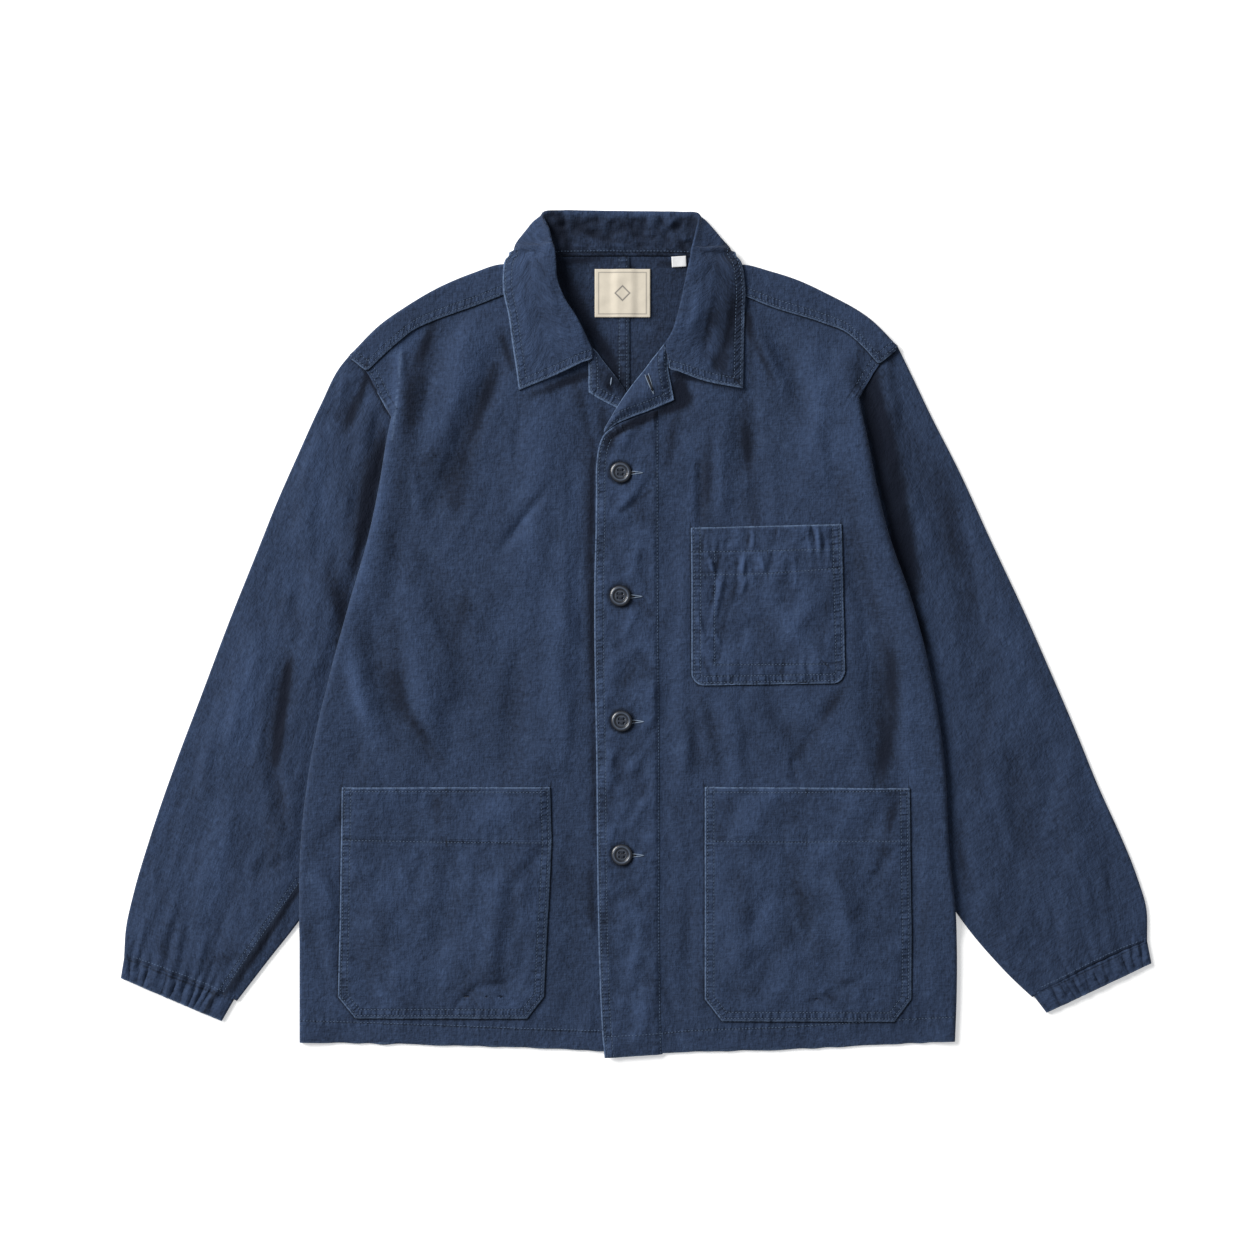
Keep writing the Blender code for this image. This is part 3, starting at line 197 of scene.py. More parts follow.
# Each row is a soft ridge (height above zero) or trough (below), from one end to the other.
# x0, y0, x1, y1, width, height
FOLDS = on_jacket({
    "right": [
        (398, 350, 395, 440, 16, 2.6), (434, 322, 410, 440, 26, -3.8), (470, 330, 440, 450, 24, 2.6),
        (505, 345, 470, 430, 20, -3.8), (470, 430, 430, 510, 20, -3.2), (545, 420, 520, 640, 34, 2.9),
        (342, 640, 372, 725, 16, 3.2), (362, 610, 400, 745, 18, -2.9), (392, 500, 392, 590, 20, -1.9),
        (430, 560, 470, 700, 24, -3.2), (410, 620, 440, 770, 26, 2.6), (500, 550, 548, 488, 10, -1.6),
        (520, 650, 505, 780, 24, -2.2), (560, 560, 558, 760, 26, 2.9), (586, 440, 588, 700, 14, -2.9),
        (575, 820, 578, 1000, 20, -2.2), (322, 870, 335, 1000, 16, 1.9), (365, 880, 400, 1000, 24, 2.2),
        (450, 860, 430, 1000, 26, -1.9), (500, 870, 490, 1000, 24, 2.2),
    ],
    "left": [
        (747, 317, 782, 385, 14, 2.9), (770, 320, 812, 420, 18, -2.9), (745, 397, 745, 465, 24, -4.2),
        (812, 345, 822, 470, 26, 2.9), (700, 455, 700, 530, 9, -1.9), (720, 440, 722, 520, 14, 1.9),
        (850, 400, 868, 520, 16, 2.6), (845, 480, 872, 620, 20, -3.2), (868, 600, 880, 760, 22, -3.2),
        (900, 640, 915, 780, 18, 2.9), (690, 700, 700, 770, 16, -2.2), (770, 700, 812, 770, 18, -2.6),
        (790, 690, 840, 745, 18, 2.2), (730, 700, 738, 780, 20, 2.2), (680, 560, 682, 760, 16, 1.6),
        (690, 860, 688, 1000, 14, -1.6), (925, 860, 935, 1000, 14, 1.9), (780, 860, 800, 960, 26, -2.2),
        (840, 870, 850, 990, 28, 2.6), (740, 880, 745, 1000, 24, 2.2),
    ],
})
SLEEVE_FOLDS = on_jacket({
    "right": [
        (372, 375, 350, 440, 16, -1.6), (330, 430, 300, 560, 26, 1.9), (375, 450, 335, 590, 20, -2.6),
        (285, 670, 268, 755, 16, -2.9), (268, 755, 290, 832, 14, -2.2), (250, 640, 225, 760, 24, 2.2),
        (192, 760, 160, 850, 12, -1.9), (230, 800, 200, 920, 24, 1.6), (150, 905, 140, 950, 9, 1.6),
        (175, 920, 165, 962, 9, -1.4), (205, 935, 196, 975, 10, 1.4),
    ],
    "left": [
        (905, 420, 960, 560, 24, -2.9), (945, 440, 990, 700, 26, -2.6), (975, 520, 1040, 700, 26, 2.6),
        (960, 640, 1000, 800, 26, 1.9), (1010, 760, 1030, 860, 18, -2.2), (1060, 760, 1085, 880, 22, 1.9),
        (1105, 850, 1118, 945, 10, -1.4), (1085, 890, 1095, 955, 10, 1.4), (1050, 900, 1062, 965, 10, -1.3),
    ],
})
# One row for each section, from the centre back to the front end of the fall.
# seam x, y, z; roll x, y, z; middle of the fall x, y, z; outer edge x, y, z
COLLAR = {
    "right": [
        (-42.3, 348.5, 5.1, -42.3, 388.7, 6.0, -42.3, 379.3, 1.0, -42.3, 341.6, 0.95),
        (-69.9, 348.0, 5.2, -68.1, 389.0, 6.5, -69.0, 380.2, 1.0, -69.0, 341.6, 0.95),
        (-78.2, 346.2, 5.6, -85.6, 387.1, 8.0, -86.9, 383.9, 3.6, -76.4, 343.4, 0.95),
        (-80.0, 343.4, 6.2, -81.4, 373.8, 13.2, -97.1, 372.4, 4.8, -87.4, 343.4, 0.95),
        (-81.9, 339.8, 7.6, -77.7, 360.9, 16.0, -107.2, 359.5, 4.4, -101.2, 346.2, 0.95),
        (-82.8, 338.4, 7.9, -76.5, 357.2, 16.8, -107.6, 354.0, 7.0, -112.7, 351.3, 2.2),
        (-83.7, 337.0, 8.2, -75.4, 353.6, 17.4, -100.3, 349.9, 9.6, -117.0, 347.7, 4.3),
        (-84.6, 333.3, 8.6, -74.1, 342.5, 18.0, -96.6, 338.8, 14.2, -121.4, 340.7, 7.6),
        (-83.7, 324.1, 8.0, -72.7, 325.0, 18.0, -95.7, 319.5, 14.4, -122.0, 316.8, 7.6),
        (-77.3, 308.5, 8.0, -65.3, 306.6, 17.0, -90.2, 297.4, 13.0, -117.3, 293.8, 6.8),
        (-68.1, 293.8, 7.6, -54.3, 289.6, 15.2, -83.7, 273.5, 10.0, -114.1, 269.8, 6.4),
        (-57.0, 277.2, 7.0, -41.4, 262.5, 10.0, -76.4, 250.5, 8.6, -110.4, 245.0, 6.4),
        (-51.5, 268.0, 6.9, -40.5, 254.2, 9.2, -73.6, 238.6, 8.2, -107.8, 224.5, 6.6),
    ],
    "left": [
        (17.5, 348.5, 5.1, 17.5, 388.0, 6.0, 17.5, 379.3, 1.0, 17.5, 341.6, 0.95),
        (44.2, 348.0, 5.2, 41.4, 387.6, 6.5, 42.3, 379.3, 1.0, 43.2, 341.6, 0.95),
        (53.4, 346.2, 5.6, 57.8, 385.8, 8.0, 59.3, 383.0, 3.6, 50.6, 343.4, 0.95),
        (55.2, 343.4, 6.2, 56.1, 371.0, 13.2, 70.7, 372.4, 4.8, 61.6, 343.4, 0.95),
        (57.0, 339.8, 7.6, 52.4, 357.2, 16.0, 83.3, 356.8, 4.4, 77.3, 346.2, 0.95),
        (57.5, 338.4, 7.9, 51.5, 354.0, 16.8, 83.7, 353.1, 7.0, 88.1, 351.3, 2.2),
        (58.0, 337.0, 8.2, 51.1, 350.8, 17.4, 76.4, 349.0, 9.6, 91.6, 347.5, 4.3),
        (59.8, 333.3, 8.6, 49.7, 342.5, 18.0, 73.6, 338.8, 14.2, 97.2, 340.3, 7.6),
        (58.9, 322.3, 8.0, 46.9, 330.6, 18.0, 73.6, 320.4, 14.4, 100.3, 316.8, 7.6),
        (53.4, 305.7, 8.0, 42.0, 306.6, 17.0, 70.8, 296.5, 13.0, 99.7, 292.8, 6.8),
        (46.0, 291.0, 7.6, 35.1, 280.9, 15.2, 68.1, 271.7, 10.0, 99.2, 268.0, 6.4),
        (38.6, 276.3, 7.0, 28.5, 265.7, 10.0, 64.4, 250.5, 8.6, 98.8, 245.0, 6.4),
        (35.9, 265.2, 6.9, 31.3, 244.5, 8.6, 61.6, 233.4, 8.0, 98.4, 226.2, 6.6),
    ],
}
COLLAR_CENTRE = (-12.4, 348.5, 5.0, -12.4, 388.3, 6.0, -12.4, 379.3, 1.0, -12.4, 341.6, 0.95)
# One row across the lapel each: roll line x, y; outer edge x, y; height of the roll
LAPELS = {
    "right": [
        (-40.5, 262.0, -45.1, 258.8, 2.2),
        (-36.8, 258.3, -43.7, 244.7, 2.6),
        (-30.4, 250.1, -43.8, 229.4, 2.6),
        (-25.8, 244.1, -43.4, 222.5, 2.4),
        (-19.8, 236.3, -33.6, 216.5, 2.0),
        (-13.8, 228.4, -23.9, 211.4, 1.2),
        (-8.7, 221.1, -15.6, 207.3, 0.6),
    ],
    "left": [
        (26.2, 265.7, 28.5, 262.5, 2.0),
        (18.9, 256.0, 29.6, 242.7, 3.0),
        (9.2, 243.2, 35.1, 215.6, 3.4),
        (-1.8, 229.8, 10.1, 204.9, 3.5),
        (-10.1, 218.3, -3.7, 200.1, 3.0),
        (-18.4, 205.4, -17.9, 194.0, 2.6),
        (-29.0, 188.0, -29.3, 185.6, 1.2),
    ],
}
BAND_EDGE = [(-28.9, -388.2), (-30.8, -368.6), (-33.9, -301.5), (-35.6, -216.8), (-36.3, -134.0),
             (-37.9, 68.4), (-37.1, 96.9), (-36.8, 123.6), (-36.2, 160.4), (-34.1, 173.2),
             (-29.8, 183.4), (-18.6, 192.2), (-4.3, 198.1), (6.7, 202.1), (14.7, 205.4)]
BAND_SIDE_X = -35.9  # where its edge starts to curve away
BAND_SEAM = [(24.2, -385.8), (23.2, -336.4), (22.5, -134.0), (21.2, 68.4), (21.2, 207.3)]
# One row across each pocket: y, left x, right x, rise of its right end, puff of its middle
POCKETS = {
    "pocket_chest": ("left", [
        (98.0, 50.5, 188.8, 3.0, 0.0),
        (77.6, 50.8, 189.3, 3.0, 0.4),
        (54.6, 51.0, 189.9, 3.0, 0.7),
        (31.6, 51.0, 190.4, 3.0, 0.9),
        (5.8, 51.0, 191.2, 3.0, 0.9),
        (-20.0, 51.0, 191.7, 3.0, 0.6),
        (-37.4, 51.1, 192.1, 3.0, 0.3),
        (-47.1, 57.2, 187.7, 2.0, 0.0),
    ]),
    "pocket_lower_right": ("right", [
        (-140.7, -270.1, -79.2, 0.0, 0.0),
        (-166.2, -270.5, -78.4, 0.0, 0.8),
        (-190.2, -270.8, -77.7, 0.0, 1.2),
        (-216.8, -271.4, -78.8, 0.0, 1.4),
        (-244.4, -272.0, -80.2, 0.0, 1.4),
        (-272.0, -272.5, -81.9, 0.0, 1.2),
        (-304.2, -273.4, -83.4, 0.0, 0.9),
        (-333.2, -274.1, -84.7, 0.0, 0.4),
        (-353.4, -258.1, -100.3, 0.0, 0.0),
    ]),
    "pocket_lower_left": ("left", [
        (-140.5, 63.3, 251.3, -1.0, 0.0),
        (-166.2, 63.3, 251.6, -0.5, 0.8),
        (-190.2, 63.3, 251.9, 0.0, 1.2),
        (-216.8, 63.3, 252.2, 0.0, 1.4),
        (-244.4, 63.3, 252.8, 0.0, 1.4),
        (-272.0, 63.3, 253.5, 0.0, 1.2),
        (-304.2, 63.3, 253.3, 0.0, 0.9),
        (-335.5, 63.3, 253.0, 0.0, 0.4),
        (-355.8, 79.1, 237.4, -0.6, 0.0),
    ]),
}
BUTTONS = [(-14.2, 149.1), (-14.7, 35.4), (-13.4, -79.7), (-13.1, -202.7)]
LABELS = {
    "label_neck": ((-38.0, 291.9), (13.1, 336.1)),
    "label_size": ((32.6, 337.7), (46.0, 347.5)),
}

# ---------------------------------------------------------------- finer creases, mm
# x0, y0, x1, y1, width, height
CREASES = on_jacket({
    "right": [
        (402, 350, 397, 402, 6, 1.7), (397, 400, 390, 448, 6, 1.3), (410, 352, 404, 436, 10, -1.7),
        (436, 372, 428, 450, 14, 1), (455, 420, 470, 480, 10, -0.9), (392, 530, 400, 560, 7, -1.1),
        (385, 548, 404, 540, 6, 0.8), (500, 550, 545, 490, 8, -1), (393, 700, 413, 737, 11, -1.8),
        (413, 737, 437, 767, 9, -2), (437, 767, 452, 786, 8, -1.6), (350, 680, 368, 717, 12, 1.3),
        (357, 740, 360, 773, 14, -1.2), (433, 790, 433, 827, 14, -1), (433, 827, 413, 900, 12, -0.9),
        (460, 873, 443, 907, 9, -0.8), (543, 850, 510, 893, 13, -2), (510, 893, 500, 973, 15, -1.8),
        (528, 860, 520, 905, 12, 1.2), (510, 983, 477, 987, 8, -1.8), (477, 987, 457, 1005, 7, -1.5),
        (352, 943, 370, 1000, 12, -1), (340, 822, 303, 863, 11, -1.6), (333, 917, 303, 928, 9, -1.4),
        (305, 927, 335, 1000, 12, -1.3), (315, 870, 333, 905, 12, 1.2), (570, 700, 563, 763, 9, 1),
        (593, 690, 594, 866, 7, -1.1), (595, 867, 587, 885, 8, -1.2), (587, 887, 594, 945, 8, -1.1),
        (585, 440, 590, 700, 9, -1.3), (562, 470, 566, 640, 12, 0.9), (470, 600, 500, 650, 10, -0.8),
        (430, 620, 470, 700, 12, 0.8), (520, 640, 505, 740, 12, -0.8), (405, 440, 425, 520, 10, 0.9),
        (520, 400, 515, 470, 9, -0.9), (480, 500, 440, 560, 10, 0.8), (350, 570, 420, 600, 10, 0.7),
        (360, 640, 400, 655, 8, -0.8), (440, 700, 480, 745, 9, 0.8), (540, 560, 575, 640, 10, 0.7),
    ],
    "left": [
        (700, 462, 701, 530, 6, -1.2), (747, 320, 777, 370, 8, 1.1), (745, 400, 746, 460, 13, -1.5),
        (882, 700, 878, 747, 10, -1.8), (878, 747, 876, 783, 9, -1.7), (840, 693, 813, 730, 10, -1.6),
        (813, 730, 793, 763, 9, -1.7), (793, 763, 797, 785, 8, -1.5), (706, 700, 716, 737, 9, -1),
        (781, 827, 786, 860, 9, -0.9), (786, 860, 813, 947, 10, -1), (896, 793, 896, 820, 8, -0.9),
        (893, 850, 866, 887, 9, -1.1), (863, 977, 833, 993, 8, -1.3), (833, 993, 806, 1005, 8, -1.1),
        (733, 987, 740, 1003, 7, -0.8), (663, 980, 680, 1030, 9, -1.2), (950, 983, 936, 1000, 9, -1),
        (856, 560, 880, 640, 12, -0.9), (900, 640, 915, 720, 12, 0.9), (770, 470, 776, 520, 10, 0.8),
        (820, 400, 838, 500, 12, -0.9), (860, 380, 880, 460, 12, 0.9), (690, 720, 684, 780, 9, 0.8),
        (740, 700, 752, 780, 12, -0.8), (906, 830, 928, 930, 12, -0.9), (676, 560, 680, 660, 9, -0.8),
        (668, 800, 690, 880, 9, 0.7), (760, 900, 740, 960, 11, -0.8), (830, 860, 850, 930, 11, 0.8),
    ],
})
SLEEVE_CREASES = on_jacket({
    "right": [
        (357, 384, 350, 412, 7, -2.2), (380, 412, 374, 448, 8, -2.4), (372, 384, 366, 404, 6, -1.6),
        (344, 378, 341, 402, 6, 1.2), (332, 440, 318, 520, 14, -1.4), (350, 470, 342, 560, 12, 1.2),
        (300, 560, 296, 640, 12, -1.5), (285, 670, 272, 755, 12, -1.7), (272, 755, 287, 830, 10, -1.4),
        (258, 640, 246, 720, 14, 1.1), (262, 800, 288, 862, 11, 1.2), (286, 858, 262, 874, 8, -1.5),
        (296, 880, 268, 888, 8, 1.3), (270, 850, 256, 880, 8, -1.1), (192, 760, 160, 840, 9, -1.1),
        (220, 700, 200, 790, 12, 0.9), (236, 870, 250, 910, 9, 0.9), (232, 905, 212, 950, 9, -1),
        (180, 880, 165, 940, 8, 0.9), (196, 890, 182, 950, 7, -0.9), (150, 880, 146, 940, 7, -0.8),
        (208, 930, 196, 975, 6, 0.9),
    ],
    "left": [
        (870, 396, 884, 450, 15, -3.2), (884, 382, 893, 412, 8, 1.2), (905, 420, 925, 500, 14, -1.4),
        (940, 470, 960, 600, 16, -1.4), (958, 480, 992, 620, 16, 1.3), (960, 640, 985, 740, 14, -1.2),
        (1000, 640, 1030, 760, 16, 1.1), (1020, 760, 1045, 850, 12, -1.2), (990, 780, 1015, 860, 12, 1),
        (1060, 800, 1085, 900, 12, 0.9), (1076, 880, 1094, 930, 8, -1), (1050, 890, 1070, 940, 8, 1),
        (1032, 900, 1046, 950, 7, -1), (1100, 860, 1116, 920, 8, 0.9), (985, 880, 1020, 950, 9, -0.9),
        (965, 830, 985, 900, 9, 0.9),
    ],
})
NECK_CREASES = on_jacket([
    (575, 330, 600, 350, 8, -0.7), (640, 335, 668, 300, 9, -0.8), (572, 280, 585, 330, 8, 0.6),
    (655, 275, 640, 262, 6, -0.6),
])

BAND_CREASES = on_jacket([
    (656, 486, 623, 512, 6, -1.5), (648, 474, 607, 524, 8, 1), (606, 440, 632, 424, 8, -1.2),
    (637, 610, 623, 637, 6, 1.1), (642, 604, 655, 622, 6, -0.9), (612, 545, 622, 575, 8, -0.8),
    (640, 545, 632, 575, 8, 0.8), (644, 655, 620, 690, 9, -0.9), (606, 655, 616, 640, 6, 0.8),
    (648, 735, 622, 765, 8, -1), (612, 745, 608, 790, 7, 0.9), (648, 800, 628, 832, 8, 0.9),
    (610, 815, 622, 838, 7, -0.9), (645, 880, 615, 905, 8, -1.1), (640, 930, 630, 985, 9, 0.9),
    (612, 940, 618, 1000, 8, -0.9), (606, 1000, 660, 1010, 8, 0.7),
])
POCKET_CREASES = on_jacket([
    (747, 530, 748, 550, 5, -1.5), (753, 532, 752, 549, 4, 1.3), (776, 530, 772, 547, 5, -1),
    (811, 526, 814, 548, 4, -1.9), (817, 528, 819, 548, 4, 1.5), (831, 528, 834, 566, 5, -1.2),
    (704, 532, 701, 552, 4, -1.2), (709, 556, 714, 574, 4, 1.9), (718, 556, 716, 572, 4, -1.5),
    (736, 557, 737, 574, 5, -1.9), (744, 556, 742, 574, 4, 1.7), (752, 558, 754, 573, 5, -1.7),
    (760, 556, 763, 571, 5, 1.3), (772, 556, 769, 570, 5, -1.1), (722, 576, 714, 618, 6, 1.5),
    (716, 578, 711, 604, 4, -1.5), (738, 577, 730, 600, 5, -1.4), (746, 577, 741, 594, 5, 1.2),
    (727, 606, 719, 636, 6, -0.9), (713, 632, 724, 648, 5, 1.3), (724, 640, 717, 660, 5, -1.2),
    (702, 656, 712, 682, 5, -1.2), (697, 612, 704, 640, 4, 1), (786, 652, 781, 684, 5, -1.4),
    (760, 668, 764, 682, 5, 1), (808, 670, 812, 684, 5, -1), (828, 590, 820, 650, 8, -0.8),
    (770, 600, 800, 640, 14, 0.8),
])
COLLAR_CREASES = on_jacket([
    (716, 296, 708, 332, 8, -1.5), (708, 330, 703, 362, 6, -1.1), (739, 300, 722, 345, 10, -1.5),
    (723, 345, 711, 378, 7, -1.5), (727, 322, 719, 356, 6, 1), (699, 292, 690, 340, 10, 1),
    (733, 345, 729, 376, 6, 0.9), (706, 228, 722, 262, 9, -1), (722, 250, 736, 290, 8, 0.9),
    (533, 236, 541, 266, 7, -1.1), (525, 246, 530, 268, 7, -0.9), (520, 285, 527, 330, 9, 0.9),
    (538, 300, 545, 350, 9, -0.9), (556, 320, 572, 352, 8, 0.8), (520, 340, 530, 372, 7, -0.8),
    (562, 216, 570, 252, 7, -1.7), (578, 222, 573, 246, 6, 1.2), (590, 214, 586, 240, 5, -1.3),
    (602, 232, 612, 216, 5, 1.3), (606, 240, 622, 226, 5, -1.6), (628, 222, 623, 240, 4, 1.3),
    (634, 216, 630, 236, 5, -1.2), (645, 214, 641, 246, 6, -1.6), (655, 222, 650, 246, 6, 1.2),
    (668, 238, 684, 222, 6, -1.6), (662, 232, 678, 216, 5, 1.2), (674, 250, 688, 232, 5, 1.3),
])
# These rows paint light and shade into the cloth's colour and lift nothing: the negative ones darken it as
# painted shade in folds, under other pieces and where those cast shadow, and the positive ones pale it as
# painted light.
PAINTED_SHADE_AND_LIGHT = on_jacket({
    "right": [
        (522, 398, 552, 388, 7, -5), (549, 388, 594, 372, 8, -10), (600, 405, 606, 440, 12, -6),
        (577, 386, 589, 440, 9, -5), (500, 330, 515, 376, 8, -5), (412, 372, 408, 452, 15, -3),
        (593, 440, 591, 560, 6, -7), (592, 560, 593, 700, 6, -7), (593, 700, 594, 850, 6, -5),
        (590, 862, 593, 935, 8, -5), (396, 352, 424, 318, 18, 6), (432, 322, 419, 362, 10, -7),
        (466, 392, 486, 345, 24, 5), (493, 366, 478, 425, 12, -5), (476, 425, 456, 500, 18, -3),
        (440, 440, 420, 475, 14, -4), (452, 480, 462, 525, 24, -3.5), (402, 455, 408, 520, 16, -3),
        (466, 585, 460, 632, 14, -4), (395, 610, 398, 660, 16, -3.5), (394, 665, 402, 700, 20, -6.5),
        (402, 700, 440, 764, 13, -7), (389, 470, 372, 545, 12, 5), (372, 545, 356, 610, 14, 5),
        (352, 650, 374, 740, 16, 3.5), (574, 470, 576, 690, 14, 4), (344, 805, 340, 828, 10, -5),
        (437, 795, 437, 832, 12, -4), (392, 800, 400, 850, 20, 3), (395, 915, 405, 945, 24, 4),
        (516, 870, 512, 930, 10, -4), (335, 960, 345, 1000, 16, -3), (366, 975, 376, 1005, 10, -4),
        (372, 960, 392, 990, 14, -3), (452, 940, 470, 1005, 16, -3), (503, 540, 538, 502, 8, 4),
    ],
    "left": [
        (678, 379, 683, 402, 15, -15), (674, 374, 742, 390, 6, -7), (690, 398, 656, 414, 9, -12),
        (675, 412, 668, 470, 10, -5), (710, 430, 706, 530, 12, -6), (692, 450, 693, 530, 8, 4),
        (746, 430, 750, 475, 8, -5), (752, 480, 757, 545, 14, -4), (746, 310, 748, 332, 9, -7),
        (746, 318, 775, 385, 9, -8), (768, 330, 786, 378, 10, 4), (862, 330, 863, 352, 10, -5),
        (890, 640, 894, 720, 18, -8), (890, 720, 882, 782, 14, -8), (866, 600, 866, 690, 12, 4),
        (842, 690, 812, 740, 10, -5), (895, 805, 885, 840, 12, -6), (888, 840, 875, 870, 14, -5),
        (928, 880, 922, 965, 10, -4), (912, 610, 928, 660, 8, 5), (932, 660, 945, 745, 7, 5),
        (800, 542, 815, 546, 10, 5), (795, 560, 800, 600, 20, 3), (785, 840, 812, 940, 14, -4),
        (755, 870, 765, 920, 20, 3), (810, 1000, 838, 996, 12, -5), (700, 970, 704, 1005, 10, -4),
        (749, 300, 752, 384, 6, -4), (858, 352, 858, 392, 7, -4), (714, 738, 718, 770, 12, -4),
        (704, 700, 712, 740, 12, -3),
    ],
    "sleeve_right": [
        (367, 372, 360, 400, 6, -10), (359, 396, 345, 430, 10, -7), (384, 402, 386, 412, 5, -6),
        (384, 430, 377, 480, 9, -8), (374, 478, 362, 532, 12, -7), (362, 530, 353, 572, 8, -8),
        (349, 580, 338, 645, 8, -6), (330, 556, 326, 604, 11, -3), (300, 887, 231, 992, 5, -10),
        (364, 369, 392, 412, 5, -9), (128, 962, 226, 1001, 5, -4), (290, 655, 284, 700, 10, -9),
        (284, 700, 276, 762, 9, -12), (268, 640, 248, 700, 20, 4), (250, 700, 238, 760, 20, 5),
        (336, 585, 338, 620, 12, -6), (336, 640, 350, 700, 6, -5), (372, 448, 364, 540, 14, -7),
        (340, 405, 336, 425, 14, -4), (365, 382, 368, 412, 18, 4), (232, 835, 210, 905, 18, 4),
        (272, 800, 275, 860, 18, -4), (200, 965, 245, 952, 10, -4), (160, 940, 168, 962, 10, -4),
        (152, 850, 186, 762, 10, 4), (318, 450, 325, 540, 18, 3), (285, 560, 295, 600, 24, 3),
    ],
    "sleeve_left": [
        (874, 380, 897, 500, 26, -4), (866, 372, 876, 432, 13, -11), (872, 420, 886, 500, 10, -8),
        (886, 490, 905, 600, 8, -6), (892, 352, 890, 378, 5, -4), (870, 355, 880, 400, 10, -5),
        (876, 400, 900, 490, 14, -9), (896, 488, 914, 590, 18, -13), (910, 600, 926, 650, 12, -9),
        (905, 440, 935, 560, 20, 2), (957, 825, 966, 890, 10, -5), (988, 690, 975, 790, 14, -4),
        (1062, 790, 1072, 870, 18, -4), (978, 545, 996, 620, 12, -3), (1078, 745, 1122, 845, 8, 4),
    ],
    "neck": [
        (556, 258, 580, 310, 12, -6), (578, 304, 606, 352, 11, -6), (604, 348, 626, 388, 9, -6),
        (562, 262, 600, 258, 7, -5), (660, 262, 690, 266, 6, -4), (630, 264, 634, 272, 5, -5),
        (604, 330, 650, 328, 16, 4),
    ],
    "collar": [
        (557, 216, 565, 258, 11, -5), (690, 258, 678, 240, 5, -4), (712, 290, 705, 350, 8, -3),
        (739, 300, 714, 374, 9, -3), (718, 310, 714, 328, 8, -4), (728, 350, 724, 366, 12, -5),
        (716, 378, 742, 391, 9, 4), (560, 213, 694, 214, 7, 6), (545, 225, 560, 236, 10, -4),
        (574, 226, 602, 238, 9, -4), (530, 388, 590, 362, 7, 4),
    ],
    "lapel_right": [
        (598, 368, 622, 392, 26, -6), (622, 384, 642, 402, 14, -7), (612, 360, 634, 392, 8, -5),
        (607, 384, 611, 391, 4, -6),
    ],
    "lapel_left": [
        (612, 432, 668, 402, 7, 4),
    ],
    "band": [
        (690, 398, 656, 414, 9, -14), (656, 414, 630, 424, 9, -13), (630, 424, 612, 436, 8, -11),
        (612, 436, 604, 452, 8, -6), (604, 870, 604, 1000, 6, -2),
    ],
})

# ---------------------------------------------------------------- sewing, mm
FIRST_ROW = 2.6  # from a finished edge to its first row of stitches
SECOND_ROW = 8.3  # and to its second
STITCH_PITCH = 3.1
HEM_ROW = {
    "right": [(-308.7, -355.4), (-171.1, -359.9), (-69.9, -364.0), (7.4, -366.3)],
    "left": [(-28.5, -370.3), (23.9, -367.4), (49.7, -364.8), (134.3, -361.7), (219.9, -356.2),
             (292.6, -352.1)],
}
# Crease that runs on from the side fold; the right front is painted paler along it as a highlight.
CHEST_CREASE = [(-224.0, 178.8), (-220.3, 211.0), (-217.6, 235.8), (-216.7, 259.7)]
UNDERARM_SEAM = [(-308.7, -229.7), (-333.0, -263.8), (-357.0, -298.7), (-378.4, -330.5)]
UNDERARM_ROWS = (2.0, 6.0)
POCKET_ROWS = {  # single rows across a pocket, as polylines
    "pocket_chest": [
        [(53.4, 75.7), (123.3, 76.6), (188.6, 78.5)],
        [(53.4, 54.1), (123.3, 55.9), (190.4, 61.0)],
        [(72.2, 75.7), (72.2, 22.4), (72.2, -27.3)],
        [(72.2, -28.2), (123.3, -27.8), (176.6, -27.3)],
    ],
    "pocket_lower_right": [
        [(-269.6, -189.0), (-180.3, -191.1), (-79.1, -192.0)],
        [(-263.1, -144.2), (-180.3, -144.6), (-83.7, -145.5)],
    ],
    "pocket_lower_left": [
        [(63.5, -190.2), (150.9, -191.1), (251.2, -189.7)],
        [(66.2, -145.1), (150.9, -145.5), (247.5, -143.7)],
    ],
}
LAPEL_BUTTONHOLE = ((9.7, 239.5), (16.3, 220.6))
PALE_TACK = ((-22.4, 236.3), (-23.4, 228.9))
BUTTONHOLE_TAIL = 20.7  # end of a buttonhole right of its button's centre


# ---------------------------------------------------------------- curves
def smooth(value):
    """0 below 0, 1 above 1 and an eased ramp between."""
    value = np.clip(value, 0.0, 1.0)
    return value * value * (3.0 - 2.0 * value)


